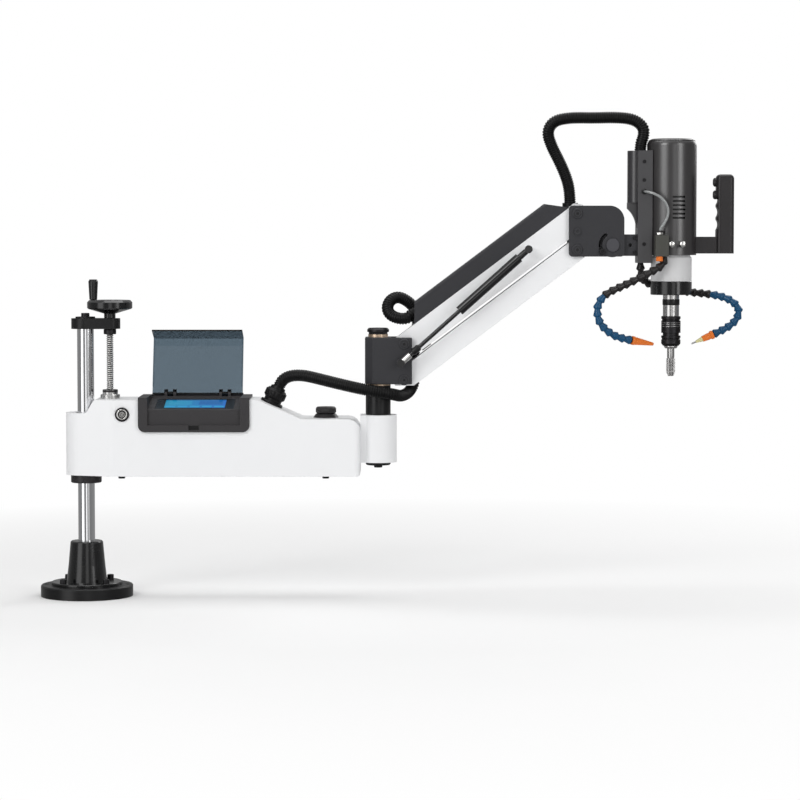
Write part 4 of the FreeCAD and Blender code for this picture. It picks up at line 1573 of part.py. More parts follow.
def make_motor():
    top = f"({COVER_LOW} + cover_tall)"
    radius = "(cover_d / 2)"
    inner = f"({radius} - cover_wall)"
    can = turned("cover_can", [
        (inner, COVER_LOW), (radius, COVER_LOW), (radius, top), ("0", top), ("0", f"{top} - cover_wall"),
        (inner, f"{top} - cover_wall")])
    crest = number(top)
    round_edges(can, "cover_can_round", "cover_round_r",
                lambda edge: near(edge.CenterOfMass.z, crest) and isinstance(edge.Curve, Part.Circle))
    slots = []
    for place in range(int(number("vent_count"))):
        low = f"({TILT_Z} + vent_low + {place} * vent_pitch)"
        slots.append(box(f"vent_{place}", ("-vent_wide / 2 + 10", "vent_wide / 2 + 10"),
                         (f"-{radius} - 1", "-0.5 * cover_d + 3 * cover_wall"), (low, f"{low} + vent_tall")))
    keep("motor_cover", put(cut("motor_cover", can, *slots), (SPINDLE_X, "0", "0")))
    floor = f"({COVER_LOW} + gearbox_flange)"
    ceiling = f"({floor} + motor_tall)"
    motor = turned("servo_motor", [
        ("0", f"{floor} - 16"), ("rotor_shaft_d / 2", f"{floor} - 16"), ("rotor_shaft_d / 2", floor),
        ("motor_d / 2", floor), ("motor_d / 2", ceiling), ("0", ceiling)])
    keep("servo_motor", put(motor, (SPINDLE_X, "0", "0")))


def make_gearbox():
    outer = "(gearbox_d / 2)"
    bore = "(gearbox_bore_d / 2)"
    neck = f"({COVER_LOW} + gearbox_flange)"
    case = turned("gearbox_case", [
        (bore, GEARBOX_LOW), (outer, GEARBOX_LOW), (outer, f"{COVER_LOW} - 5"), (f"{outer} - 4", COVER_LOW),
        ("cover_d / 2 - cover_wall - seat_fit", COVER_LOW), ("cover_d / 2 - cover_wall - seat_fit", neck),
        ("rotor_shaft_d / 2 + 2", neck), ("rotor_shaft_d / 2 + 2", f"{neck} - 14"), (bore, f"{neck} - 14")])
    put(case, (SPINDLE_X, "0", "0"))
    ring = turned("nose_ring", [
        ("nose_bore_d / 2", NOSE_LOW), ("nose_d / 2 - 1", NOSE_LOW), ("nose_d / 2", f"{NOSE_LOW} + 1"),
        ("nose_d / 2", f"{GEARBOX_LOW} - 1"), ("nose_d / 2 - 1", GEARBOX_LOW),
        (f"{bore} - 3", GEARBOX_LOW), (f"{bore} - 3", f"{NOSE_LOW} + 8"),
        ("nose_bore_d / 2", f"{NOSE_LOW} + 8")])
    keep("nose_ring", put(ring, (SPINDLE_X, "0", "0")))
    rings = []
    for place, low in enumerate((f"{GEARBOX_LOW}", f"{GEARBOX_LOW} + spindle_bearing_wide + 3")):
        item = turned(f"spindle_bearing_{place}", [
            ("spindle_journal_d / 2 + run_fit", "0"), ("spindle_bearing_od / 2 - seat_fit", "0"),
            ("spindle_bearing_od / 2 - seat_fit", "spindle_bearing_wide"),
            ("spindle_journal_d / 2 + run_fit", "spindle_bearing_wide")])
        rings.append(put(item, (SPINDLE_X, "0", low)))
    keep("gearbox_housing", group("gearbox_housing", case, *rings))


def make_spindle():
    top = f"({GEARBOX_LOW} + 2 * spindle_bearing_wide + 4)"
    shaft = turned("spindle", [
        ("0", CHUCK_TOP), ("spindle_d / 2", CHUCK_TOP), ("spindle_d / 2", f"{GEARBOX_LOW} - 0.5"),
        ("spindle_journal_d / 2", f"{GEARBOX_LOW} - 0.5"), ("spindle_journal_d / 2", top), ("0", top)])
    keep("spindle", put(shaft, (SPINDLE_X, "0", "0")))
    radius = "(chuck_d / 2)"
    step = f"({CHUCK_LOW} + sleeve_slide_tall + sleeve_travel)"
    chuck = turned("chuck", [
        ("0", f"{CHUCK_LOW} + chuck_socket_deep"), ("chuck_socket_d / 2", f"{CHUCK_LOW} + chuck_socket_deep"),
        ("chuck_socket_d / 2", CHUCK_LOW), ("sleeve_step_d / 2 - 1", CHUCK_LOW),
        ("sleeve_step_d / 2", f"{CHUCK_LOW} + 1"), ("sleeve_step_d / 2", step), (radius, step),
        (radius, f"{CHUCK_TOP} - 9"), (f"{radius} - 1.5", f"{CHUCK_TOP} - 8"),
        (f"{radius} - 1.5", f"{CHUCK_TOP} - 6"), (radius, f"{CHUCK_TOP} - 5"),
        (radius, f"{CHUCK_TOP} - 1"), (f"{radius} - 1", CHUCK_TOP), ("0", CHUCK_TOP)])
    keep("chuck", put(chuck, (SPINDLE_X, "0", "0")))
    low = f"({CHUCK_LOW} + 0.5)"
    sleeve = turned("release_sleeve", [
        ("sleeve_step_d / 2 + run_fit", f"{low} + 1.5"), (f"{radius} - 3", low),
        (radius, f"{low} + 4"), (radius, f"{low} + 0.55 * sleeve_slide_tall"),
        (f"{radius} - 1.2", f"{low} + 0.6 * sleeve_slide_tall"),
        (f"{radius} - 1.2", f"{low} + 0.7 * sleeve_slide_tall"),
        (radius, f"{low} + 0.75 * sleeve_slide_tall"), (radius, f"{low} + sleeve_slide_tall - 1"),
        (f"{radius} - 1", f"{low} + sleeve_slide_tall - 0.8"),
        ("sleeve_step_d / 2 + run_fit", f"{low} + sleeve_slide_tall - 0.8")])
    keep("release_sleeve", put(sleeve, (SPINDLE_X, "0", "0")))
    adapter = turned("tap_adapter", [
        ("tap_shank_d / 2 + seat_fit", f"{CHUCK_LOW} - adapter_flange"),
        ("adapter_flange_d / 2 - 2", f"{CHUCK_LOW} - adapter_flange"),
        ("adapter_flange_d / 2", f"{CHUCK_LOW} - 2"), ("adapter_flange_d / 2", f"{CHUCK_LOW} - 0.2"),
        ("adapter_d / 2", f"{CHUCK_LOW} - 0.2"),
        ("adapter_d / 2", f"{CHUCK_LOW} + chuck_socket_deep - 0.3"),
        ("tap_shank_d / 2 + seat_fit", f"{CHUCK_LOW} + chuck_socket_deep - 0.3")])
    low = f"({CHUCK_LOW} - adapter_flange - tap_reach)"
    blank = turned("tap_blank", [
        ("0", low), ("0.32 * tap_d", low), ("tap_d / 2", f"{low} + 0.22 * tap_thread"),
        ("tap_d / 2", f"{low} + tap_thread"), ("tap_shank_d / 2", f"{low} + tap_thread + 3"),
        ("tap_shank_d / 2", f"{CHUCK_LOW} - adapter_flange + tap_held"),
        ("0", f"{CHUCK_LOW} - adapter_flange + tap_held")])
    flutes = [rod(f"tap_flute_{place}", "2 * flute_r", (f"{low} - 1", f"{low} + tap_thread + 4"),
                  (f"(tap_d / 2 - 0.2) * cos({90 * place + 45})", f"(tap_d / 2 - 0.2) * sin({90 * place + 45})"))
              for place in range(4)]
    keep("tap", put(group("tap", adapter, cut("tap_body", blank, *flutes)), (SPINDLE_X, "0", "0")))


# ---------------------------------------------------------------- handle
BAR_LOW = f"({TILT_Z} - bar_low)"
BAR_TOP = f"({BAR_LOW} + bar_tall)"
GRIP_TOP = f"({BAR_TOP} + grip_tall)"


def trigger_heights():
    return [f"{GRIP_TOP} - trigger_top - {place} * trigger_space" for place in range(2)]


def make_handle():
    """Bar and grip are drawn from the spindle axis."""
    half = "(bar_wide / 2)"
    bar = box("bar_block", ("cover_d / 2 - 12", "grip_x"), (f"-{half}", half), (BAR_LOW, BAR_TOP))
    room = rod("bar_room", "cover_d + 2 * seat_fit", (f"{BAR_LOW} - 1", f"{BAR_TOP} + 1"), ("0", "0"))
    keep("handle_bar", put(cut("handle_bar", bar, room), (SPINDLE_X, "0", "0")))
    body = padded("grip_block", [
        ("grip_x", BAR_LOW), ("grip_x + grip_thick", BAR_LOW), ("grip_x + grip_thick", GRIP_TOP),
        ("grip_x", GRIP_TOP)], "grip_wide")
    side = number("grip_wide / 2")
    outer = number("grip_x + grip_thick")
    foot, crest = number(BAR_LOW), number(GRIP_TOP)
    round_edges(body, "grip_edges", "grip_edge_r",
                lambda edge: not near(edge.CenterOfMass.z, foot)
                and (near(abs(edge.CenterOfMass.y), side) or near(edge.CenterOfMass.x, outer)
                     or near(edge.CenterOfMass.z, crest)))
    grooves = []
    count = 3
    for place in range(count):
        height = f"{GRIP_TOP} - 2 * trigger_space - {place} * finger_pitch"
        grooves.append(rod(f"finger_groove_{place}", "2 * finger_r", ("-grip_wide", "grip_wide"),
                           ("grip_x - finger_r + finger_deep", height), "y"))
    wells = [rod(f"trigger_well_{place}", "trigger_d + 2 * run_fit",
                 ("grip_x - 1", "grip_x + trigger_long - trigger_proud + trigger_travel + 1"),
                 ("0", height), "x") for place, height in enumerate(trigger_heights())]
    keep("hand_grip", put(cut("hand_grip", body, *grooves, *wells), (SPINDLE_X, "0", "0")))
    names = ("start_trigger", "reverse_trigger")
    for node, height in zip(names, trigger_heights()):
        button = turned(node, [
            ("0", "trigger_proud - trigger_long"), ("trigger_d / 2", "trigger_proud - trigger_long"),
            ("trigger_d / 2", "trigger_proud - 3"), ("trigger_d / 2 - 1.2", "trigger_proud - 1"),
            ("trigger_d / 2 - 3.5", "trigger_proud"), ("0", "trigger_proud")])
        keep(node, put(button, (f"{SPINDLE_X} + grip_x", "0", height), ((0, -1, 0), "90")))


# ---------------------------------------------------------------- coolant valve, hoses and air tube
VALVE_X = f"({SPINDLE_X} - valve_x)"
VALVE_LOW = f"({TILT_Z} - valve_low)"
VALVE_KNOB_X = f"({VALVE_X} + 8)"
VALVE_KNOB_Y = "(valve_front - 8)"
HOSE_PORT_X = f"({VALVE_X} + 18)"
HOSE_PORT_Y = "(valve_front - 20)"


def make_valve():
    block = box("valve_block", (VALVE_X, f"{VALVE_X} + valve_long"),
                ("-valve_front", "-valve_front + valve_deep"), (VALVE_LOW, f"{VALVE_LOW} + valve_tall"))
    room = rod("valve_room", "cover_d + 2 * seat_fit", (f"{COVER_LOW} - 5", f"{VALVE_LOW} + 80"),
               (SPINDLE_X, "0"))
    stem = rod("valve_stem_hole", "valve_stem_d + 2 * run_fit", (f"{VALVE_LOW} - 1", f"{VALVE_LOW} + 12"),
               (VALVE_KNOB_X, f"-{VALVE_KNOB_Y}"))
    port = rod("valve_air_port", "air_tube_d + 2 * seat_fit",
               (f"{VALVE_LOW} + valve_tall - 6", f"{VALVE_LOW} + valve_tall + 1"),
               (f"{VALVE_X} + 9", "-valve_front + 12"))
    valve = cut("valve_body", block, room, stem, port)
    knob = turned("valve_knob", [
        ("0", "-valve_knob_tall - 0.4"), ("valve_knob_d / 2 - 1", "-valve_knob_tall - 0.4"),
        ("valve_knob_d / 2", "-valve_knob_tall + 0.6"), ("valve_knob_d / 2", "-0.4"),
        ("valve_stem_d / 2", "-0.4"), ("valve_stem_d / 2", "11"), ("0", "11")])
    keep("valve_knob", put(knob, (VALVE_KNOB_X, f"-{VALVE_KNOB_Y}", VALVE_LOW)))
    fittings = []
    for place in range(2):
        side = f"(fitting_x + {place} * fitting_space)"
        depth = f"sqrt(cover_d * cover_d / 4 - {side} * {side})"
        outer = turned(f"fitting_{place}", [
            ("0", "-1"), ("fitting_d / 2", "-1"), ("fitting_d / 2", "0.45 * fitting_long"),
            ("0.4 * fitting_d", "0.5 * fitting_long"), ("0.4 * fitting_d", "fitting_long"),
            ("0", "fitting_long")])
        room = rod(f"fitting_room_{place}", "cover_d + 2 * seat_fit", ("-60", "60"), ("0", "0"))
        put(outer, (side, f"-({depth})", "0"), FACING_FRONT)
        item = cut(f"fitting_seat_{place}", outer, room)
        fittings.append(put(item, (SPINDLE_X, "0", f"{TILT_Z} + 2")))
    keep("coolant_valve", group("coolant_valve", valve, *fittings))


def smooth_route(points, label):
    """Straight runs joined by tangent arcs through a list of points, and the wire's length."""
    edges = []
    radii = []
    start = points[0]
    for before, corner, after in zip(points, points[1:], points[2:]):
        run_in = (corner - before).Length
        run_out = (after - corner).Length
        into = (corner - before).normalize()
        out = (after - corner).normalize()
        turn = into.getAngle(out)
        trim = 0.45 * min(run_in, run_out)
        radii.append(trim / math.tan(turn / 2))
        first = corner - into * trim
        last = corner + out * trim
        toward = (out - into).normalize()
        middle = corner + toward * (trim / math.sin(turn / 2) * (1 / math.cos(turn / 2) - 1)
                                    * math.cos(turn / 2))
        edges.append(Part.LineSegment(start, first).toShape())
        edges.append(Part.Arc(first, middle, last).toShape())
        start = last
    edges.append(Part.LineSegment(start, points[-1]).toShape())
    wire = Part.Wire(edges)
    print(f"{label}: length {wire.Length:.0f} mm, radii", [round(radius) for radius in radii])
    return wire


def tube_shape(label, points, diameter):
    """A round tube along a route; its volume is compared with its section times its length."""
    wire = smooth_route(points, label)
    radius = number(diameter) / 2
    profile = Part.Wire([Part.makeCircle(radius, points[0], points[1] - points[0])])
    shape = wire.makePipeShell([profile], True, False)
    if abs(shape.Volume / (math.pi * radius * radius * wire.Length) - 1) > 0.02:
        raise ValueError(f"{label}: the tube's volume is not its section times its length")
    return shape


def tube(node, points, diameter):
    item = doc.addObject("Part::Feature", node)
    item.Shape = tube_shape(node, points, diameter)
    return keep(node, item)


def place_of(x, y, z):
    return Vector(number(x), number(y), number(z))


def route(anchor, offsets):
    """Points at chosen distances from an anchor that moves with the sizes."""
    return [anchor + Vector(*offset) for offset in offsets]


def nozzle_shape(base, tip):
    """A tapered nozzle from the hose's end to its tip, with its bore."""
    axis = tip - base
    solid = Part.makeCone(number("hose_d") / 2, number("nozzle_tip_d") / 2, axis.Length, base, axis)
    bore = Part.makeCylinder(number("nozzle_bore_d") / 2, 2 * axis.Length, base - axis * 0.5, axis)
    return solid.cut(bore)


# Routes: chosen points, as distances in millimetres from each hose's port.
LEFT_HOSE = [(0, 0, 0), (0, 0, -11), (-7, -2, -20), (-24, -4, -29), (-43.5, -7, -39.4), (-61, -9, -48),
             (-84, -11, -58.3), (-109, -14, -69.7), (-121, -16, -81), (-127.3, -17, -94.3),
             (-128.1, -17, -105.7), (-125.2, -16, -121), (-117.3, -14, -133.3), (-105.8, -11, -143.8),
             (-87.3, -6, -154.6), (-62.1, 2, -159.6)]
LEFT_TIP = (43, 18, -8)
RIGHT_HOSE = [(0, 0, 0), (0, 0, -12), (3, 5, -27), (14, 17, -39), (34, 33, -46), (59, 40, -51),
              (85, 36, -55), (107, 30, -58), (125, 26, -59.5), (147, 18, -62.5), (160, 13, -65.5),
              (177, 8, -73), (186, 4, -82.5), (189.7, 1, -91), (188.3, -1, -100.5), (184, -3, -110),
              (171.5, -5, -121.5), (156, -7, -130), (140, -9, -137)]
RIGHT_TIP = (-42, -3, -18)
AIR_TUBE = [(0, -15, 0), (5, -25, -1), (16, -31, -4), (29, -33, -11), (39, -33, -22), (44, -32, -35),
            (42, -31, -49), (35, -31, -62)]
VALVE_TUBE = [(0, 0, 11), (0, 0, 0)]
ARM_CONDUIT = [(24.5, -2.5, 48.3), (39.5, -6, 54.8), (61.5, -11, 55.3), (84.5, -18, 50.8),
               (128.5, -30, 40.3)]
ELBOW_CONDUIT = [(-95, -93, -48), (-61, -96, -53.5), (-39, -85, -57.5), (-28, -58, -62), (-19, -30, -62),
                 (-9, -8, -57)]
CLAMP_CONDUIT = [(0.3, 0, -41), (0, 0, -21), (0, 0, 0)]
LINK_CONDUIT = [(0, 0, 0), (0, 0, 24), (5, -1, 54), (8, -4, 79), (5, -7, 100), (-9, -12, 117),
                (-29, -20, 128), (-45, -30, 122.5), (-52.5, -37, 108), (-47, -44, 93.5), (-30, -50, 86),
                (-12, -52, 86.5)]
MOUTH_CONDUIT = [(0, 0, 0), (14, 0, 3.5)]
HEAD_CONDUIT = [(0, 0, 0), (0, 0, 26.6), (-3.8, -3, 56.6), (-18.8, -8, 92.6), (-36.8, -14, 125.6),
                (-46.3, -20, 153.6), (-33.8, -25, 174.6), (-0.8, -30, 180.6), (42.2, -36, 179.6),
                (87.2, -42, 180.6), (119.2, -47, 176.6), (137.2, -50, 161.6), (137.2, -51.5, 144.6)]
INLET_CONDUIT = [(0, 0, 12), (0, 0, -12)]


def make_hoses():
    left = route(place_of(HOSE_PORT_X, f"-{HOSE_PORT_Y}", VALVE_LOW), LEFT_HOSE)
    right = route(place_of(f"{CHANNEL_X} + 9", "12", CHANNEL_LOW), RIGHT_HOSE)
    shapes = []
    for label, points, tip in (("left hose", left, LEFT_TIP), ("right hose", right, RIGHT_TIP)):
        shapes.append(tube_shape(label, points, "hose_d"))
        along = (points[-1] - points[-2]).normalize()
        turn = along.getAngle(Vector(*tip))
        base = points[-1] + along * (number("hose_d") / 2 * math.sin(turn) + 0.1)
        shapes.append(nozzle_shape(base, base + Vector(*tip)))
    item = doc.addObject("Part::Feature", "coolant_hoses")
    item.Shape = Part.makeCompound(shapes)
    keep("coolant_hoses", item)
    air_start = place_of(f"{CHANNEL_X} + channel_tube_x", "-channel_wide / 2 + 5", TUBE_HOLE_Z)
    air_end = place_of(f"{VALVE_X} + 9", "-valve_front + 12", f"{VALVE_LOW} + valve_tall - 5")
    tube("air_tube", [air_start] + route(air_start, AIR_TUBE) + route(air_end, VALVE_TUBE),
         "air_tube_d")


def make_conduits():
    axis = Rotation(Vector(0, 1, 0), number(SLOPE_ANGLE)).multVec(Vector(0, 0, 1))
    gland = place_of(*GLAND_AT)
    clamp = place_of(CLAMP_X, "block_wide / 2 + clamp_band + conduit_d / 2", CLAMP_Z)
    tube("arm_conduit", [gland + axis * 20, gland + axis * 42] + route(gland, ARM_CONDUIT)
         + route(clamp, ELBOW_CONDUIT + CLAMP_CONDUIT), "conduit_d")
    lean = Rotation(Vector(0, -1, 0), number("link_angle"))
    mouth = place_of(PIVOT_X, "0", PIVOT_Z) + lean.multVec(place_of(*COVER_MOUTH))
    tube("link_conduit", route(clamp + Vector(0, 0, 0.1), LINK_CONDUIT) + route(mouth, MOUTH_CONDUIT),
         "conduit_d")
    seat = place_of(CARRIER_GLAND_X, CARRIER_GLAND_Y, f"{CARRIER_BOX_TOP} - 7.5")
    inlet = place_of(f"{CHANNEL_X} + channel_inlet_x", "0", CHANNEL_TOP)
    tube("head_conduit", route(seat, HEAD_CONDUIT) + route(inlet, INLET_CONDUIT), "conduit_d")


# ---------------------------------------------------------------- build, check and write
BUILDERS = [make_foot, make_socket, make_column, make_top_bracket, make_lead_screw, make_handwheel,
            make_crank, make_arm, make_arm_cover, make_guides, make_button, make_panel, make_screen, make_lid,
            make_electronics, make_gland, make_regulator, make_elbow, make_block, make_upper_link,
            make_cable_cover, make_lower_link, make_strut, make_carrier, make_channel,
            make_motor, make_gearbox, make_spindle, make_handle, make_valve, make_hoses, make_conduits]

for builder in BUILDERS:
    builder()
doc.recompute()

for item in doc.Objects:
    if "Invalid" in item.State or "Error" in item.State:
        raise ValueError(f"{item.Name} could not be computed")
for node, item in PARTS.items():
    if item.Shape.isNull() or not item.Shape.isValid() or not item.Shape.Solids:
        raise ValueError(f"{node} has no valid solid")
for node, item in PARTS.items():
    item.Shape.exportStep(f"parts/{node}.step")
print(f"{len(PARTS)} sub-parts written")
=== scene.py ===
import json
import math
from bisect import bisect_right

import bmesh
import bpy
from bpy.props import FloatProperty, FloatVectorProperty, PointerProperty
from bpy.types import Operator, Panel, PropertyGroup
from mathutils import Matrix, Vector


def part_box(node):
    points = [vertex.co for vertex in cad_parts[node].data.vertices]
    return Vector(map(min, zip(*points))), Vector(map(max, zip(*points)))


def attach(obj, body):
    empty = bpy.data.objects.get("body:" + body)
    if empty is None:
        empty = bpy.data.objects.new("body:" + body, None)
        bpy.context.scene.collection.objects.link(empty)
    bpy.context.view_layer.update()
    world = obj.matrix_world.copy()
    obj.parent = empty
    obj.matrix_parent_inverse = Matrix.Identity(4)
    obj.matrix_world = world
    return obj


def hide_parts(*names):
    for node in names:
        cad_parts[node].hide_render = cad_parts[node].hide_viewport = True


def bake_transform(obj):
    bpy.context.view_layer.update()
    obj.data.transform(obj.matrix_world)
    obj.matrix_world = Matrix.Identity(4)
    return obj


bl_info = {
    "name": "Arm Tapping Machine Finish",
    "version": (1, 0, 0),
    "blender": (4, 5, 0),
    "location": "3D View > Sidebar > Tapping Machine",
    "description": "Dresses the packed arm tapping machine with conduits, hoses, threads and finishes",
    "category": "Object",
}

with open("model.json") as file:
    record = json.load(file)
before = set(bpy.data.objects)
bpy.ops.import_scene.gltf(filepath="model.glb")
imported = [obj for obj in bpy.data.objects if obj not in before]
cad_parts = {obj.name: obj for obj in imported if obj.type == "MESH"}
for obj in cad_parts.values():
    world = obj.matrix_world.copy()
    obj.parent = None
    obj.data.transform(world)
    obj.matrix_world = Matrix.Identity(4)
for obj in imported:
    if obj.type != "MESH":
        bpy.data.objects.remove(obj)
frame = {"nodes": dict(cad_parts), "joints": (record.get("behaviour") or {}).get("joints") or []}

MM = 0.001


# ---------------------------------------------------------------- places read from the frame
def middle(part):
    """The middle of a part's box."""
    low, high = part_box(part)
    return (low + high) / 2


def joint_place(name):
    """A point on a joint's axis, as the record gives it."""
    found = next(joint for joint in frame["joints"] if joint["name"] == name)
    return Vector(found["pos_m"])


SCREW_AXIS = middle("lead_screw")
SPINDLE_AXIS = middle("spindle")
CHUCK_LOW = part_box("chuck")[0].z
NOSE_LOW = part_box("nose_ring")[0].z
VALVE_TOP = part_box("coolant_valve")[1].z
BUTTON_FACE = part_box("power_button")[0].y
LINK_PIVOT = joint_place("arm_lift")
LOWER_PIVOT = joint_place("lower_link_turn")
CARRIER_PIVOT = joint_place("carrier_level")
TILT_PIVOT = joint_place("head_tilt")
LID_HINGE = joint_place("lid_hinge")
STRUT_FOOT = joint_place("strut_foot_turn")
STRUT_UP = (joint_place("strut_top_turn") - STRUT_FOOT).normalized()
UPWARD = Vector((0, 0, 1))
FRONTWARD = Vector((0, -1, 0))


# ---------------------------------------------------------------- sizes and colours a user may change
def length(default, text, low=0.0):
    """A length that a user may change; the text is its name and what it means."""
    return FloatProperty(name=text[0], description=text[1], default=default, min=low, subtype="DISTANCE",
                         unit="LENGTH", precision=4)


def colour(default, text):
    """A colour that a user may change."""
    return FloatVectorProperty(name=text[0], description=text[1], default=default, size=3, min=0, max=1,
                               subtype="COLOR")


class TappingSizes(PropertyGroup):
    """Sizes of the pieces that are modelled here."""

    rib_pitch: length(4.2 * MM, ("Rib pitch", "Distance between two ribs of a cable conduit"), 2 * MM)
    rib_depth: length(1.3 * MM, ("Rib depth", "Height of a conduit's ribs"))
    conduit_width: length(23 * MM, ("Conduit width", "Outside diameter of a cable conduit"))
    bead_pitch: length(14 * MM, ("Bead pitch", "Length of one segment of a coolant hose"), 5 * MM)
    bead_width: length(17 * MM, ("Bead width", "Widest diameter of a coolant hose"))
    bead_neck: length(11 * MM, ("Bead neck", "Narrowest diameter of a coolant hose"))
    air_width: length(5 * MM, ("Air tube width", "Outside diameter of the air tube"))
    screw_pitch: length(4 * MM, ("Lead screw pitch", "Pitch of the lead screw's thread"), 1 * MM)
    tap_pitch: length(2.5 * MM, ("Tap pitch", "Pitch of the tap's thread"), 0.5 * MM)
    camera_far: length(5.37, ("Camera distance", "Distance of the camera in front of the machine"), 1.0)


class TappingColours(PropertyGroup):
    """Colours of the finishes."""

    white_paint: colour((0.845, 0.85, 0.86), ("White paint", "Powder coat of the arms"))
    dark_grey: colour((0.032, 0.032, 0.036), ("Dark grey paint", "Elbow block, cheek plates and covers"))
    black_paint: colour((0.007, 0.007, 0.0075), ("Black paint", "Foot, socket and top bracket"))
    hose_blue: colour((0.0055, 0.062, 0.145), ("Hose blue", "Blue segments of the coolant hoses"))
    orange: colour((0.72, 0.170, 0.022), ("Orange plastic", "Nozzles and the valve's knob"))
    bronze: colour((0.60, 0.46, 0.34), ("Bronze", "Elbow bushes"))
    lid_tint: colour((0.158, 0.205, 0.240), ("Lid tint", "Smoky lid of the panel"))


# ---------------------------------------------------------------- node helpers
def node(tree, kind, **settings):
    """A shader node, with its input values or properties by name."""
    made = tree.nodes.new(kind)
    for key, value in settings.items():
        if key in made.inputs:
            made.inputs[key].default_value = value
        else:
            setattr(made, key, value)
    return made


def link(tree, source, target):
    """A link from an output to an input."""
    tree.links.new(source, target)


def math_node(tree, operation, first, second):
    """An operation on two values; each is a number or an output."""
    made = tree.nodes.new("ShaderNodeMath")
    made.operation = operation
    for socket, value in zip(made.inputs, (first, second)):
        if isinstance(value, (int, float)):
            socket.default_value = value
        else:
            tree.links.new(value, socket)
    return made.outputs[0]


def map_range(tree, value, span, target):
    """The value, carried from one span of numbers to another."""
    made = node(tree, "ShaderNodeMapRange")
    made.inputs["From Min"].default_value, made.inputs["From Max"].default_value = span
    made.inputs["To Min"].default_value, made.inputs["To Max"].default_value = target
    tree.links.new(value, made.inputs["Value"])
    return made.outputs["Result"]


def ink_over(tree, under, mask, ink):
    """A flat colour laid over another where the mask says."""
    mix = node(tree, "ShaderNodeMix", data_type="RGBA")
    mix.inputs["B"].default_value = (*ink, 1)
    link(tree, mask, mix.inputs["Factor"])
    link(tree, under, mix.inputs["A"])
    return mix.outputs["Result"]


def even_light(tree, kind, strength=1.0):
    """A white emission or background of an even strength."""
    made = node(tree, kind, Strength=strength)
    made.inputs["Color"].default_value = (1, 1, 1, 1)
    return made


def either(tree, choice, first, second):
    """The first shader where the choice is 0, and the second where it is 1."""
    mix = node(tree, "ShaderNodeMixShader")
    for socket, source in zip(mix.inputs, (choice, first, second)):
        link(tree, source, socket)
    return mix.outputs["Shader"]


def blank_material(name):
    """A material with a Principled shader, its tree and its Object coordinates."""
    material = bpy.data.materials.new(name)
    material.use_nodes = True
    tree = material.node_tree
    tree.nodes.clear()
    output = node(tree, "ShaderNodeOutputMaterial")
    shader = node(tree, "ShaderNodeBsdfPrincipled")
    link(tree, shader.outputs["BSDF"], output.inputs["Surface"])
    place = node(tree, "ShaderNodeTexCoord")
    return material, tree, shader, place.outputs["Object"]


def mottle(tree, place, scale, detail=4.0, stretch=(1, 1, 1)):
    """Noise in Object coordinates, stretched along an axis for brushed or drawn metal."""
    mapping = node(tree, "ShaderNodeMapping")
    mapping.inputs["Scale"].default_value = stretch
    link(tree, place, mapping.inputs["Vector"])
    noise = node(tree, "ShaderNodeTexNoise", Scale=scale, Detail=detail)
    link(tree, mapping.outputs["Vector"], noise.inputs["Vector"])
    return noise.outputs["Fac"]


def shaded(tree, base, fac, spread):
    """The base colour, darker and lighter by spread where the mottle says."""
    mix = node(tree, "ShaderNodeMix", data_type="RGBA")
    mix.inputs["A"].default_value = (*[c * (1 - spread) for c in base], 1)
    mix.inputs["B"].default_value = (*[min(1, c * (1 + spread)) for c in base], 1)
    link(tree, fac, mix.inputs["Factor"])
    return mix.outputs["Result"]


def soft_edges(tree, radius):
    """Normals that run round the edges, so that corners catch the light."""
    made = node(tree, "ShaderNodeBevel", samples=4)
    made.inputs["Radius"].default_value = radius
    return made.outputs["Normal"]


def edge_mask(tree, normal):
    """1 on the edges that the soft normals find, and 0 on open faces."""
    geometry = node(tree, "ShaderNodeNewGeometry")
    dot = node(tree, "ShaderNodeVectorMath", operation="DOT_PRODUCT")
    link(tree, normal, dot.inputs[0])
    link(tree, geometry.outputs["Normal"], dot.inputs[1])
    return map_range(tree, dot.outputs["Value"], (0.985, 0.80), (0.0, 1.0))


def relief(tree, shader, height, strength, distance, normal=None):
    """Bumps on the shader, over the given normals."""
    bump = node(tree, "ShaderNodeBump", Strength=strength, Distance=distance)
    link(tree, height, bump.inputs["Height"])
    if normal is not None:
        link(tree, normal, bump.inputs["Normal"])
    link(tree, bump.outputs["Normal"], shader.inputs["Normal"])


def uneven_gloss(tree, shader, marks, low, high):
    """Roughness that runs from low to high with the marks."""
    link(tree, map_range(tree, marks, (0.3, 0.7), (low, high)), shader.inputs["Roughness"])


def coated(name, base, rough, grain, depth, spread=0.06, edge=0.7, wear=None, coat=0.0, gloss_spread=0.06,
           sheen=0.3):
    """Paint or plastic: mottled colour, a fine pebbled skin, rubbed edges and an uneven gloss."""
    material, tree, shader, place = blank_material(name)
    normal = soft_edges(tree, edge * MM)
    result = shaded(tree, base, mottle(tree, place, 9.0), spread)
    if wear:
        mask = math_node(tree, "MULTIPLY", edge_mask(tree, normal), mottle(tree, place, 120.0))
        result = ink_over(tree, result, mask, wear)
    link(tree, result, shader.inputs["Base Color"])
    uneven_gloss(tree, shader, mottle(tree, place, 35.0), rough - gloss_spread, rough + gloss_spread)
    shader.inputs["Specular IOR Level"].default_value = sheen
    shader.inputs["Coat Weight"].default_value = coat
    shader.inputs["Coat Roughness"].default_value = 0.12
    relief(tree, shader, mottle(tree, place, grain, 2.0), 0.5, depth, normal)
    return material


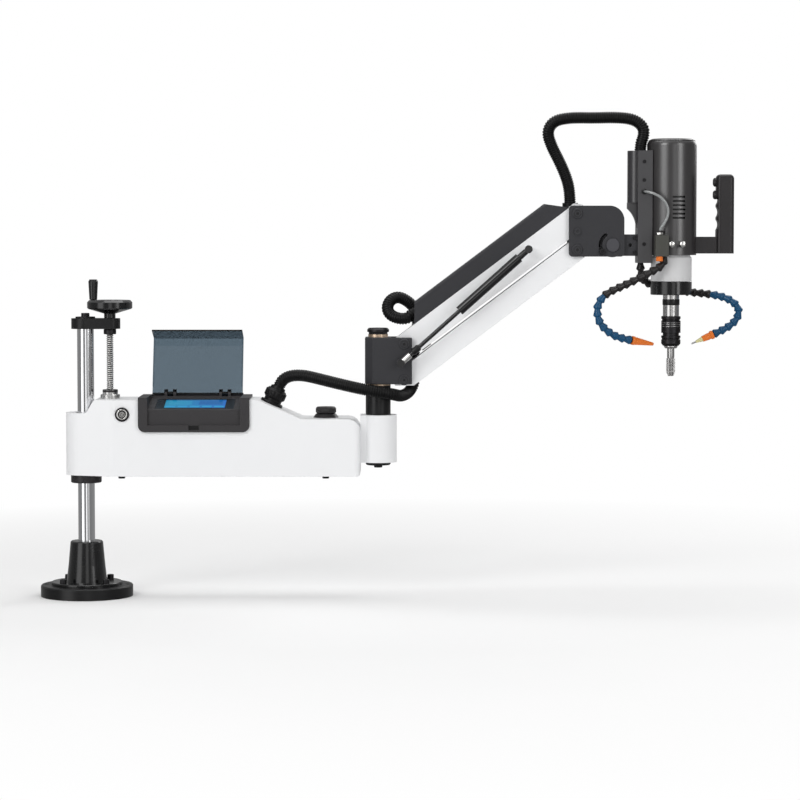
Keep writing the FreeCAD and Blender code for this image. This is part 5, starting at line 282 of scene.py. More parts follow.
def metal(name, base, rough, stretch=(1, 1, 1), grain=1500.0, depth=0.003 * MM, spread=0.05, edge=0.4,
          gloss_spread=0.05):
    """Bare or plated metal: drawn or turned marks along one axis and an uneven polish."""
    material, tree, shader, place = blank_material(name)
    normal = soft_edges(tree, edge * MM)
    link(tree, shaded(tree, base, mottle(tree, place, 25.0), spread), shader.inputs["Base Color"])
    shader.inputs["Metallic"].default_value = 1.0
    marks = mottle(tree, place, grain, 3.0, stretch)
    uneven_gloss(tree, shader, marks, max(0.02, rough - gloss_spread), rough + gloss_spread)
    relief(tree, shader, marks, 0.2, depth, normal)
    return material


def see_through(name, tint, rough, absorb, density):
    """Tinted clear plastic with faint moulding waves."""
    material, tree, shader, place = blank_material(name)
    shader.inputs["Transmission Weight"].default_value = 1.0
    shader.inputs["IOR"].default_value = 1.49
    link(tree, shaded(tree, tint, mottle(tree, place, 12.0), 0.03), shader.inputs["Base Color"])
    uneven_gloss(tree, shader, mottle(tree, place, 40.0), rough, rough + 0.04)
    relief(tree, shader, mottle(tree, place, 14.0), 0.05, 0.02 * MM)
    volume = node(tree, "ShaderNodeVolumeAbsorption")
    volume.inputs["Color"].default_value = (*absorb, 1)
    volume.inputs["Density"].default_value = density
    output = next(n for n in tree.nodes if n.type == "OUTPUT_MATERIAL")
    link(tree, volume.outputs["Volume"], output.inputs["Volume"])
    return material


def display_material():
    """A lit screen: a blue field with a header, a value box, lines and keys, drawn on the piece's UV map."""
    material, tree, shader, _ = blank_material("lit_display")
    uv = node(tree, "ShaderNodeUVMap", uv_map="display")
    split = node(tree, "ShaderNodeSeparateXYZ")
    link(tree, uv.outputs["UV"], split.inputs["Vector"])
    across, up = split.outputs["X"], split.outputs["Y"]
    ramp = node(tree, "ShaderNodeValToRGB")
    ramp.color_ramp.elements[0].color = (0.004, 0.27, 0.46, 1)
    ramp.color_ramp.elements[1].color = (0.002, 0.15, 0.58, 1)
    link(tree, across, ramp.inputs["Fac"])

    def between(value, low, high):
        return math_node(tree, "MULTIPLY", math_node(tree, "GREATER_THAN", value, low),
                         math_node(tree, "LESS_THAN", value, high))

    cells = math_node(tree, "FRACT", math_node(tree, "MULTIPLY", across, 5.0), 0)
    keys = math_node(tree, "MULTIPLY", between(cells, 0.10, 0.90), between(up, 0.06, 0.24))
    header = between(up, 0.90, 1.0)
    value_box = math_node(tree, "MULTIPLY", between(across, 0.56, 0.95), between(up, 0.38, 0.82))
    rows = math_node(tree, "FRACT", math_node(tree, "MULTIPLY", up, 14.0), 0)
    lines = math_node(tree, "MULTIPLY", between(across, 0.06, 0.44),
                      math_node(tree, "MULTIPLY", between(up, 0.34, 0.84), between(rows, 0.0, 0.35)))
    picture = ramp.outputs["Color"]
    for mask, ink in ((header, (0.0, 0.06, 0.16)), (keys, (0.01, 0.34, 0.66)), (value_box, (0.0, 0.13, 0.42)),
                      (lines, (0.02, 0.40, 0.62))):
        picture = ink_over(tree, picture, mask, ink)
    link(tree, picture, shader.inputs["Emission Color"])
    shader.inputs["Emission Strength"].default_value = 0.8
    shader.inputs["Base Color"].default_value = (0.01, 0.01, 0.012, 1)
    shader.inputs["Roughness"].default_value = 0.12
    return material


def make_finishes(tones):
    """Every finish of the machine, by the record's slot names where it has one."""
    drawn = (1, 1, 0.004)
    turned = (0.004, 0.004, 1)
    smoke = (0.40, 0.50, 0.58)
    smoke_density = 230.0
    return {
        "white_paint": coated("white_powder_coat", tones.white_paint, 0.36, 1100.0, 0.05 * MM, 0.015, 1.2,
                              (0.62, 0.62, 0.63)),
        "black_paint": coated("black_satin_paint", tones.black_paint, 0.33, 800.0, 0.06 * MM, 0.15, 1.0,
                              (0.09, 0.09, 0.095)),
        "dark_grey_paint": coated("dark_grey_powder_coat", tones.dark_grey, 0.48, 1400.0, 0.10 * MM,
                                  0.06, 0.8, (0.16, 0.16, 0.17)),
        "black_oxide": metal("black_oxide_steel", (0.035, 0.034, 0.036), 0.42, turned, spread=0.2),
        "chrome": metal("hard_chrome", (0.78, 0.785, 0.80), 0.12, drawn, 900.0, 0.001 * MM, 0.02, 0.4, 0.03),
        "steel": metal("ground_steel", (0.50, 0.495, 0.49), 0.28, turned, 1500.0, 0.002 * MM, 0.06),
        "satin_silver": coated("satin_silver_coat", (0.60, 0.60, 0.605), 0.34, 1300.0, 0.03 * MM, 0.02, 0.8),
        "motor_satin": coated("satin_motor_cover", (0.022, 0.0200, 0.0210), 0.30, 900.0, 0.001 * MM,
                              0.02, 0.7, (0.06, 0.06, 0.06), gloss_spread=0.005, sheen=1.0),
        "channel_satin": coated("satin_channel_paint", (0.027, 0.026, 0.029), 0.29, 900.0, 0.004 * MM,
                                0.03, 0.8, (0.12, 0.12, 0.12), gloss_spread=0.015, sheen=0.7),
        "light_grey_paint": coated("grey_disc_paint", (0.062, 0.062, 0.070), 0.45, 1400.0, 0.05 * MM,
                                   0.05, 0.8),
        "valve_olive": coated("olive_valve_coat", (0.056, 0.056, 0.049), 0.42, 900.0, 0.08 * MM, 0.25, 0.8),
        "thread_steel": metal("rolled_thread_steel", (0.84, 0.835, 0.82), 0.30, turned, 1300.0, 0.002 * MM,
                              0.05),
        "bronze": metal("sintered_bronze", tones.bronze, 0.34, turned, 1300.0, 0.003 * MM, 0.08),
        "gloss_black": coated("gloss_black_phenolic", (0.005, 0.005, 0.0055), 0.24, 500.0, 0.02 * MM,
                              0.2, 0.9, (0.06, 0.06, 0.065), coat=0.5, gloss_spread=0.05),
        "black_plastic": coated("black_moulded_plastic", (0.020, 0.018, 0.019), 0.36, 1600.0, 0.08 * MM,
                                0.12, 0.7, (0.06, 0.06, 0.06)),
        "panel_plastic": coated("charcoal_panel_plastic", (0.036, 0.034, 0.036), 0.50, 1300.0, 0.12 * MM,
                                0.06, 0.8, (0.13, 0.125, 0.12)),
        "smoky_lid": see_through("smoky_acrylic", tones.lid_tint, 0.03, smoke, smoke_density),
        # A darker copy of the lid's tint: painted reflection of a dark wall on the lid's upper band
        "smoky_painted_reflection": see_through("smoky_acrylic_painted_reflection", [0.45 * tone for tone in tones.lid_tint], 0.05,
                                  smoke, smoke_density),
        "screen_glass": coated("screen_glass", (0.006, 0.007, 0.009), 0.30, 300.0, 0.002 * MM, 0.1, 0.5),
        "electronics": coated("green_board", (0.02, 0.09, 0.05), 0.45, 260.0, 0.3 * MM, 0.5, 0.5),
        "rubber": coated("black_rubber", (0.016, 0.016, 0.017), 0.72, 1500.0, 0.10 * MM, 0.2, 0.6),
        "conduit": coated("conduit_nylon", (0.0035, 0.0035, 0.0038), 0.42, 1200.0, 0.05 * MM, 0.25, 0.5,
                          (0.03, 0.03, 0.032), sheen=0.2),
        "hose_blue": coated("blue_acetal", tones.hose_blue, 0.34, 900.0, 0.05 * MM, 0.25, 0.5,
                            (0.03, 0.14, 0.26)),
        "orange_plastic": coated("orange_acetal", tones.orange, 0.38, 900.0, 0.05 * MM, 0.10, 0.5),
        # Opaque pale grey in place of the clear tube: a painted highlight along the air tube
        "clear_tube": coated("pale_grey_painted_tube_highlight", (0.26, 0.27, 0.27), 0.16, 600.0, 0.02 * MM, 0.1, 0.3,
                             sheen=0.8),
        "cream_plastic": coated("cream_acetal", (0.62, 0.58, 0.30), 0.38, 900.0, 0.05 * MM, 0.10, 0.5),
        "hose_black": coated("black_acetal", (0.016, 0.0145, 0.0145), 0.34, 900.0, 0.05 * MM, 0.25, 0.5,
                             (0.07, 0.065, 0.065)),
        "bright_nickel": metal("bright_nickel", (0.78, 0.77, 0.75), 0.22, turned, 1300.0, 0.002 * MM, 0.04),
        "display": display_material(),
    }


FINISH = {}


# ---------------------------------------------------------------- mesh helpers
def lathe(bm, profile, steps=48):
    """Spins an outline of (radius, height) points about the Z axis."""
    verts = [bm.verts.new((radius, 0, height)) for radius, height in profile]
    edges = [bm.edges.new(pair) for pair in zip(verts, verts[1:])]
    bmesh.ops.spin(bm, geom=verts + edges, cent=(0, 0, 0), axis=(0, 0, 1), dvec=(0, 0, 0), angle=math.tau,
                   steps=steps, use_merge=True, use_duplicate=False)
    bmesh.ops.remove_doubles(bm, verts=bm.verts, dist=1e-6)
    bmesh.ops.recalc_face_normals(bm, faces=bm.faces)


def set_down(bm, origin, axis=UPWARD):
    """Turns a shape that stands along +Z onto an axis, and moves it to its origin."""
    turn = UPWARD.rotation_difference(Vector(axis)).to_matrix().to_4x4()
    bmesh.ops.transform(bm, matrix=Matrix.Translation(origin) @ turn, verts=bm.verts)


def finish_piece(name, bm, finishes, body, crease=34):
    """Makes the object from its mesh, with smooth faces and sharp creases, and sets it on its body."""
    limit = math.radians(crease)
    for face in bm.faces:
        face.smooth = True
    for edge in bm.edges:
        edge.smooth = len(edge.link_faces) == 2 and edge.calc_face_angle(0) < limit
    mesh = bpy.data.meshes.new(name)
    bm.to_mesh(mesh)
    bm.free()
    for finish in finishes:
        mesh.materials.append(FINISH[finish])
    piece = bpy.data.objects.new(name, mesh)
    bpy.context.scene.collection.objects.link(piece)
    if body:
        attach(piece, body)
    return piece


def stand_for(part):
    """The piece stands for a part of the construction, which is hidden."""
    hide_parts(part)


def nurbs_curve(name, points, resolution):
    """A curve whose control points are the route's."""
    data = bpy.data.curves.new(name, "CURVE")
    data.dimensions = "3D"
    data.resolution_u = resolution
    spline = data.splines.new("NURBS")
    spline.points.add(len(points) - 1)
    for target, point in zip(spline.points, points):
        target.co = (*point, 1)
    spline.order_u = 3
    spline.use_endpoint_u = True
    return data


def smooth_line(points):
    """Points along the curve that a route makes."""
    data = nurbs_curve("route", points, 16)
    holder = bpy.data.objects.new("route", data)
    mesh = bpy.data.meshes.new_from_object(holder)
    line = [vertex.co.copy() for vertex in mesh.vertices]
    bpy.data.meshes.remove(mesh)
    bpy.data.objects.remove(holder)
    bpy.data.curves.remove(data)
    return line


class Way:
    """A line with its length and a side direction that doesn't twist."""

    def __init__(self, line):
        self.line = line
        self.reach = [0.0]
        for before, after in zip(line, line[1:]):
            self.reach.append(self.reach[-1] + (after - before).length)
        self.heading = [(after - before).normalized() for before, after in zip(line, line[1:])]
        self.heading.append(self.heading[-1].copy())
        side = self.heading[0].orthogonal().normalized()
        self.side = []
        for heading in self.heading:
            side = (side - heading * side.dot(heading)).normalized()
            self.side.append(side.copy())

    @property
    def long(self):
        """The length of the whole line."""
        return self.reach[-1]

    def frame_at(self, along):
        """The place, the two side directions and the heading at a length along the line."""
        index = min(max(bisect_right(self.reach, along) - 1, 0), len(self.line) - 2)
        share = (along - self.reach[index]) / (self.reach[index + 1] - self.reach[index])
        clamped = min(max(share, 0.0), 1.0)
        heading = self.heading[index].lerp(self.heading[index + 1], clamped).normalized()
        side = self.side[index].lerp(self.side[index + 1], clamped)
        side = (side - heading * side.dot(heading)).normalized()
        spot = self.line[index].lerp(self.line[index + 1], clamped)
        return spot, side, heading.cross(side), heading

    def lay(self, bm):
        """Moves a shape that stands along +Z onto the line."""
        for vert in bm.verts:
            spot, side, other, _ = self.frame_at(vert.co.z)
            vert.co = spot + side * vert.co.x + other * vert.co.y


def offsets_from(anchor, offsets):
    """Places at offsets in millimetres from an anchor."""
    return [anchor + Vector(offset) * MM for offset in offsets]


# ---------------------------------------------------------------- ports and routes
# Anchors are in metres, and the points of a route are chosen offsets in millimetres from its anchor.
GLAND = Vector((0.3565, 0, 0.3707))
GLAND_LEAN = Vector((0.4026, 0, 0.9154))
CLAMP = Vector((0.631, 0.052, 0.448))
CARRIER_SEAT = Vector((0.9328, 0.0515, 0.7389))
CHANNEL_INLET = Vector((1.0635, 0, 0.8552))
LEFT_PORT = Vector((1.10604, -0.046, 0.65425))
RIGHT_PORT = Vector((1.06604, 0.012, 0.64125))
TUBE_HOLE = Vector((1.06904, -0.025, 0.77725))
TUBE_SOCKET = Vector((1.09704, -0.054, 0.69525))
# How far the first two points lie out of the gland, and where the cable cover's mouth is.
GLAND_REACH = (20, 42)
MOUTH_ALONG, MOUTH_OVER = 46.32, 36.4
# Where each conduit starts on its first body and ends on its second.
ARM_CONDUIT = [(24.5, -2.5, 48.3), (39.5, -6, 54.8), (61.5, -11, 55.3), (84.5, -18, 50.8),
               (128.5, -30, 40.3), (179.5, -41, 29.3), (213.5, -44, 23.8), (235.5, -33, 19.8),
               (246.5, -6, 15.3), (255.5, 22, 15.3), (265.5, 44, 20.3)]
CLAMP_CONDUIT = [(0.3, 0, -41), (0, 0, -21), (0, 0, 0)]
LINK_CONDUIT = [(0, 0, 0), (0, 0, 24), (5, -1, 54), (8, -4, 79), (5, -7, 100), (-9, -12, 117),
                (-29, -20, 128), (-45, -30, 122.5), (-52.5, -37, 108), (-47, -44, 93.5), (-30, -50, 86),
                (-12, -52, 86.5)]
MOUTH_CONDUIT = [(0, 0, 0), (14, 0, 3.5)]
HEAD_CONDUIT = [(0, 0, 0), (0, 0, 26.6), (-3.8, -3, 56.6), (-18.8, -8, 92.6), (-36.8, -14, 125.6),
                (-46.3, -20, 153.6), (-33.8, -25, 174.6), (-0.8, -30, 180.6), (42.2, -36, 179.6),
                (87.2, -42, 180.6), (119.2, -47, 176.6), (137.2, -50, 161.6), (137.2, -51.5, 144.6)]
INLET_CONDUIT = [(0, 0, 12), (0, 0, -12)]
LEFT_HOSE = [(0, 0, 0), (0, 0, -11), (-7, -2, -20), (-24, -4, -29), (-43.5, -7, -39.4), (-61, -9, -48),
             (-84, -11, -58.3), (-109, -14, -69.7), (-121, -16, -81), (-127.3, -17, -94.3),
             (-128.1, -17, -105.7), (-125.2, -16, -121), (-117.3, -14, -133.3), (-105.8, -11, -143.8),
             (-87.3, -6, -154.6), (-62.1, 2, -159.6)]
RIGHT_HOSE = [(0, 0, 0), (0, 0, -12), (3, 5, -27), (14, 17, -39), (34, 33, -46), (59, 40, -51),
              (85, 36, -55), (107, 30, -58), (125, 26, -59.5), (147, 18, -62.5), (160, 13, -65.5),
              (177, 8, -73), (186, 4, -82.5), (189.7, 1, -91), (188.3, -1, -100.5), (184, -3, -110),
              (171.5, -5, -121.5), (156, -7, -130), (140, -9, -137)]
# From a hose's last bead to its nozzle's tip, and the share of the beads that is black.
LEFT_TIP, RIGHT_TIP = (43, 18, -8), (-42, -3, -18)
LEFT_BLACK, RIGHT_BLACK = 0.54, 0.56
AIR_TUBE = [(0, -15, 0), (5, -25, -1), (16, -31, -4), (29, -33, -11), (39, -33, -22), (44, -32, -35),
            (42, -31, -49), (35, -31, -62)]


# ---------------------------------------------------------------- cords
def ribbed_conduit(name, points, sizes):
    """A corrugated conduit along a route."""
    way = Way(smooth_line(points))
    outer = sizes.conduit_width / 2
    inner = outer - sizes.rib_depth
    ribs = max(1, round(way.long / sizes.rib_pitch))
    pitch = way.long / ribs
    profile = [(0.0, 0.0)]
    for rib in range(ribs):
        start = rib * pitch
        profile += [(inner, start + 0.02 * pitch), (inner, start + 0.34 * pitch),
                    (outer - 0.2 * MM, start + 0.44 * pitch), (outer, start + 0.58 * pitch),
                    (outer, start + 0.76 * pitch), (outer - 0.2 * MM, start + 0.90 * pitch)]
    profile += [(inner, way.long), (0.0, way.long)]
    bm = bmesh.new()
    lathe(bm, profile, steps=22)
    way.lay(bm)
    piece = finish_piece(name, bm, ["conduit"], None, crease=60)
    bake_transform(piece)
    stand_for(name.replace("ribbed_", ""))


def build_conduits(sizes):
    """The conduits from the arm to the elbow, from there into the upper arm, and from there to the head."""
    out_of_gland = [GLAND + GLAND_LEAN * reach * MM for reach in GLAND_REACH]
    ribbed_conduit("ribbed_arm_conduit",
                   out_of_gland + offsets_from(GLAND, ARM_CONDUIT) + offsets_from(CLAMP, CLAMP_CONDUIT),
                   sizes)
    over_clamp = CLAMP + UPWARD * 0.1 * MM
    ribbed_conduit("ribbed_link_conduit",
                   offsets_from(over_clamp, LINK_CONDUIT) + offsets_from(cable_mouth(), MOUTH_CONDUIT),
                   sizes)
    ribbed_conduit("ribbed_head_conduit",
                   offsets_from(CARRIER_SEAT, HEAD_CONDUIT) + offsets_from(CHANNEL_INLET, INLET_CONDUIT),
                   sizes)


def cable_mouth():
    """Where the cable cover takes the conduit in, along the link and over it from its lower pivot."""
    along = (CARRIER_PIVOT - LINK_PIVOT).normalized()
    over = Vector((-along.z, 0, along.x))
    return LINK_PIVOT + (along * MOUTH_ALONG + over * MOUTH_OVER) * MM


def beaded_hose(name, points, tip, sizes, black_share, nozzle):
    """A coolant hose of snapped segments, black near its port and blue beyond, with its nozzle."""
    way = Way(smooth_line(points))
    beads = round(way.long / sizes.bead_pitch)
    pitch = way.long / beads
    wide, neck = sizes.bead_width / 2, sizes.bead_neck / 2
    profile = [(0.0, 0.0)]
    for bead in range(beads):
        start = bead * pitch
        profile += [(neck, start + 0.03 * pitch), (neck * 1.05, start + 0.20 * pitch),
                    (wide * 0.97, start + 0.70 * pitch), (wide, start + 0.76 * pitch),
                    (wide * 0.98, start + 0.84 * pitch), (wide * 0.82, start + 0.95 * pitch)]
    profile += [(neck, way.long), (0.0, way.long)]
    bm = bmesh.new()
    lathe(bm, profile, steps=28)
    black_reach = round(black_share * beads) * pitch
    for face in bm.faces:
        face.material_index = int(face.calc_center_median().z > black_reach)
    way.lay(bm)
    hose = finish_piece(name, bm, ["hose_black", "hose_blue"], "tapping_head", crease=40)
    stand_for("coolant_hoses")
    spot, _, _, heading = way.frame_at(way.long)
    axis = Vector(tip) * MM
    turn = heading.angle(axis)
    base = spot + heading * (wide * math.sin(turn) + 0.1 * MM)
    piece = nozzle(name + "_nozzle", base, axis, wide)


def nozzle_mesh(name, base, axis, profile, finishes, bounds):
    """A turned nozzle along an axis, with a finish for each stretch of it."""
    bm = bmesh.new()
    lathe(bm, profile, steps=36)
    for face in bm.faces:
        height = face.calc_center_median().z
        face.material_index = sum(height > bound for bound in bounds)
    set_down(bm, base, axis)
    piece = finish_piece(name, bm, finishes, "tapping_head")
    stand_for("coolant_hoses")
    return piece


def plain_nozzle(name, base, axis, wide):
    """The left hose's cone."""
    long, bore = axis.length, 1.5 * MM
    profile = [(wide * 0.6, 0), (wide * 0.97, 0.3 * MM), (wide, 1.5 * MM), (wide, 6 * MM),
               (wide * 0.93, 7.5 * MM), (wide * 0.88, 8 * MM), (wide * 0.88, 10 * MM),
               (3.4 * MM, long - 3 * MM), (3 * MM, long - 0.5 * MM), (2.6 * MM, long), (bore, long),
               (bore, long - 10 * MM), (0, long - 10 * MM)]
    return nozzle_mesh(name, base, axis, profile, ["orange_plastic"], [])


def stepped_nozzle(name, base, axis, wide):
    """The right hose's nozzle, with a cream insert and a steel needle."""
    long, bore = axis.length, 1.0 * MM
    collar, cream = 0.50 * long, 0.80 * long
    profile = [(wide * 0.6, 0), (wide * 0.97, 0.3 * MM), (wide, 1.5 * MM), (wide * 0.98, 5 * MM),
               (wide * 0.80, 6 * MM), (wide * 0.74, 9 * MM), (wide * 0.80, 10 * MM), (wide * 0.66, collar),
               (wide * 0.56, collar + 0.5 * MM), (wide * 0.50, collar + 3 * MM),
               (wide * 0.30, cream - 1 * MM), (1.9 * MM, cream), (1.6 * MM, cream + 0.2 * MM),
               (1.5 * MM, long - 0.3 * MM), (1.3 * MM, long), (bore, long), (bore, long - 6 * MM),
               (0, long - 6 * MM)]
    return nozzle_mesh(name, base, axis, profile, ["orange_plastic", "cream_plastic", "steel"],
                       [collar + 0.2 * MM, cream])


def build_hoses(sizes):
    """The hose from the valve and the hose from the wiring channel."""
    beaded_hose("left_coolant_hose", offsets_from(LEFT_PORT, LEFT_HOSE), LEFT_TIP, sizes, LEFT_BLACK,
                plain_nozzle)
    beaded_hose("right_coolant_hose", offsets_from(RIGHT_PORT, RIGHT_HOSE), RIGHT_TIP, sizes, RIGHT_BLACK,
                stepped_nozzle)


def build_air_tube(sizes):
    """A clear tube from the wiring channel to the valve."""
    straight_end = 11 * MM
    points = [TUBE_HOLE, *offsets_from(TUBE_HOLE, AIR_TUBE), TUBE_SOCKET + UPWARD * straight_end, TUBE_SOCKET]
    data = nurbs_curve("clear_air_tube", points, 12)
    data.bevel_depth = sizes.air_width / 2
    data.bevel_resolution = 5
    data.use_fill_caps = True
    # The pale grey finish on the clear tube is a painted highlight
    data.materials.append(FINISH["clear_tube"])
    tube = bpy.data.objects.new("clear_air_tube", data)
    bpy.context.scene.collection.objects.link(tube)
    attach(tube, "tapping_head")
    stand_for("air_tube")
    Way(smooth_line(points)).long


# ---------------------------------------------------------------- threads
def threaded_bar(bm, low, high, pitch, crest, root, steps=24):
    """A helical thread between two heights, spun from the outline of one pitch, with flat ends."""
    turns = math.ceil((high - low) / pitch) + 2
    start = low - pitch
    outline = [(root, 0.0), (root, 0.18), (crest, 0.42), (crest, 0.60), (root, 0.86), (root, 1.0)]
    verts = [bm.verts.new((radius, 0, start + share * pitch)) for radius, share in outline]
    edges = [bm.edges.new(pair) for pair in zip(verts, verts[1:])]
    total = steps * turns
    bmesh.ops.spin(bm, geom=verts + edges, cent=(0, 0, 0), axis=(0, 0, 1), dvec=(0, 0, pitch / steps),
                   angle=math.tau * turns, steps=total, use_merge=False, use_duplicate=False)
    bmesh.ops.remove_doubles(bm, verts=bm.verts, dist=1e-6)
    for height, upward in ((low, -1), (high, 1)):
        bmesh.ops.bisect_plane(bm, geom=bm.verts[:] + bm.edges[:] + bm.faces[:], plane_co=(0, 0, height),
                               plane_no=(0, 0, upward), clear_outer=True)
        rim = [edge for edge in bm.edges
               if edge.is_boundary and all(abs(vert.co.z - height) < 1e-6 for vert in edge.verts)]
        bmesh.ops.holes_fill(bm, edges=rim, sides=0)
    bmesh.ops.recalc_face_normals(bm, faces=bm.faces)


def build_lead_screw(sizes):
    """The lead screw with its real thread, its collar, its journal and the nut on the handwheel."""
    low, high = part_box("lead_screw")
    foot = Vector((*SCREW_AXIS.xy, 0))
    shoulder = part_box("top_bracket")[0].z - 0.5 * MM
    collar_tall = 10 * MM
    crest, root, groove = 7.0 * MM, 5.4 * MM, 5.9 * MM
    bm = bmesh.new()
    threaded_bar(bm, low.z, shoulder - collar_tall, sizes.screw_pitch, crest, root)
    set_down(bm, foot)
    thread = finish_piece("lead_screw_thread", bm, ["thread_steel", "black_oxide"], "screw", crease=50)
    for face in thread.data.polygons:
        face.material_index = int((face.center - foot).xy.length < groove)
    stand_for("lead_screw")
    nut_tall = 7 * MM
    nut_low = high.z - 2 * MM - nut_tall
    bm = bmesh.new()
    lathe(bm, [(0, shoulder - collar_tall), (11 * MM, shoulder - collar_tall), (12 * MM, shoulder - 9 * MM),
               (12 * MM, shoulder - 1 * MM), (11 * MM, shoulder), (6 * MM, shoulder), (6 * MM, nut_low),
               (5 * MM, nut_low), (5 * MM, high.z - 1 * MM), (4.2 * MM, high.z), (0, high.z)])
    set_down(bm, foot)
    journal = finish_piece("lead_screw_journal", bm, ["black_oxide"], "screw")
    stand_for("lead_screw")
    nut = hex_nut("handwheel_nut", foot + UPWARD * nut_low, UPWARD, 9 * MM, nut_tall, "screw")
    stand_for("lead_screw")


def hex_nut(name, origin, axis, corner, tall, body):
    """A bright hexagon nut with chamfered corners, standing on its origin along an axis."""
    bm = bmesh.new()
    bmesh.ops.create_cone(bm, cap_ends=True, segments=6, radius1=corner, radius2=corner, depth=tall)
    bmesh.ops.translate(bm, vec=(0, 0, tall / 2), verts=bm.verts)
    rims = [edge for edge in bm.edges if abs(edge.verts[0].co.z - edge.verts[1].co.z) < 1e-9]
    bmesh.ops.bevel(bm, geom=rims, offset=0.07 * corner, offset_type="OFFSET", segments=2, profile=0.5,
                    affect="EDGES", material=-1)
    set_down(bm, origin, axis)
    return finish_piece(name, bm, ["bright_nickel"], body)


# ---------------------------------------------------------------- tap
def build_tap(sizes):
    """The tap in its adapter: a ground shank with its square, a cut thread and four flutes."""
    foot = Vector((*SPINDLE_AXIS.xy, 0))
    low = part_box("tap")[0].z
    thread_top = low + 34 * MM
    adapter_low, adapter_high = CHUCK_LOW - 5 * MM, CHUCK_LOW - 0.2 * MM
    shank_low, shank_high = thread_top - 0.5 * MM, CHUCK_LOW + 20 * MM
    crest, root, flute = 9 * MM, 7.7 * MM, 3.4 * MM
    lead_long, lead_deep = 7.5 * MM, 3.2 * MM
    quarter = math.pi / 2
    centre = crest - 0.2 * MM
    bm = bmesh.new()
    threaded_bar(bm, low, thread_top, sizes.tap_pitch, crest, root, 48)
    for vert in bm.verts:
        if vert.co.xy.length <= 1e-6:
            continue
        lead = max(0.0, 1 - (vert.co.z - low) / lead_long) * lead_deep
        radius = max(vert.co.xy.length - lead, 0.5 * vert.co.xy.length)
        off = (math.atan2(vert.co.y, vert.co.x) - quarter / 2) % quarter
        swing = min(off, quarter - off)
        inside = flute ** 2 - (centre * math.sin(swing)) ** 2
        if inside > 0:
            radius = min(radius, centre * math.cos(swing) - math.sqrt(inside))
        vert.co.xy = vert.co.xy.normalized() * radius
    set_down(bm, foot)
    thread = finish_piece("tap_thread", bm, ["steel"], "spindle_set", crease=40)
    stand_for("tap")
    bm = bmesh.new()
    lathe(bm, [(0, shank_low), (6.4 * MM, shank_low), (7 * MM, thread_top + 3 * MM), (7 * MM, adapter_low),
               (9.4 * MM, adapter_low), (11 * MM, adapter_low + 0.2 * MM), (13 * MM, adapter_low + 3 * MM),
               (13 * MM, adapter_high), (9.9 * MM, adapter_high), (9.9 * MM, shank_high), (0, shank_high)])
    set_down(bm, foot)
    shank = finish_piece("tap_shank", bm, ["steel"], "spindle_set")
    stand_for("tap")


# ---------------------------------------------------------------- screen and power button
def build_display():
    """The lit field of the touch screen, just over its glass."""
    glass = frame["nodes"]["touch_screen"].data
    top = max((face for face in glass.polygons if face.normal.z > 0.5), key=lambda face: face.area)
    normal = Vector(top.normal)
    centre = middle("touch_screen")
    corner = glass.vertices[top.vertices[0]].co
    centre.z = corner.z - (normal.y * (centre.y - corner.y)) / normal.z
    half_long, half_tall, proud = 58 * MM, 33 * MM, 0.15 * MM
    bm = bmesh.new()
    bmesh.ops.create_grid(bm, x_segments=24, y_segments=14, size=1.0)
    layer = bm.loops.layers.uv.new("display")
    for face in bm.faces:
        for loop in face.loops:
            loop[layer].uv = (loop.vert.co.x / 2 + 0.5, loop.vert.co.y / 2 + 0.5)
    bmesh.ops.scale(bm, vec=(half_long, half_tall, 1), verts=bm.verts)
    tilt = Matrix.Rotation(math.atan2(-normal.y, normal.z), 4, "X")
    bmesh.ops.transform(bm, matrix=Matrix.Translation(centre + normal * proud) @ tilt, verts=bm.verts)
    piece = finish_piece("screen_display", bm, ["display"], "lower_arm")


def build_button_trim():
    """Bright ring, knurled ring, dark ring and power sign of the power button."""
    centre = middle("power_button")
    bezel = Vector((centre.x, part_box("button_housing")[0].y, centre.z))
    face = Vector((centre.x, BUTTON_FACE, centre.z))
    turned_trim("button_bright_ring", bezel, FRONTWARD,
                [(7.6, -0.4), (7.8, 0.15), (8.2, 0.3), (9.6, 0.3), (10.0, 0.15), (10.2, -0.4)],
                "bright_nickel", "lower_arm", steps=96)
    button_knurl(bezel)
    turned_trim("button_dark_ring", face, FRONTWARD, [(5.3, -0.3), (5.4, 0.12), (7.0, 0.12), (7.1, -0.3)],
                "black_paint", "button")
    power_sign(face)


def button_knurl(bezel):
    """A straight knurl round the bezel."""
    teeth, radius, tall = 60, 13.5 * MM, 2.2 * MM
    bm = bmesh.new()
    bmesh.ops.create_cone(bm, cap_ends=False, segments=2 * teeth, radius1=radius, radius2=radius, depth=tall)
    for index, vert in enumerate(sorted(bm.verts, key=lambda v: (v.co.z, math.atan2(v.co.y, v.co.x)))):
        if index % 2:
            vert.co.xy *= 0.965
    bmesh.ops.translate(bm, vec=(0, 0, -1.9 * MM), verts=bm.verts)
    set_down(bm, bezel, FRONTWARD)
    knurl = finish_piece("button_knurl", bm, ["black_paint"], "lower_arm", crease=10)


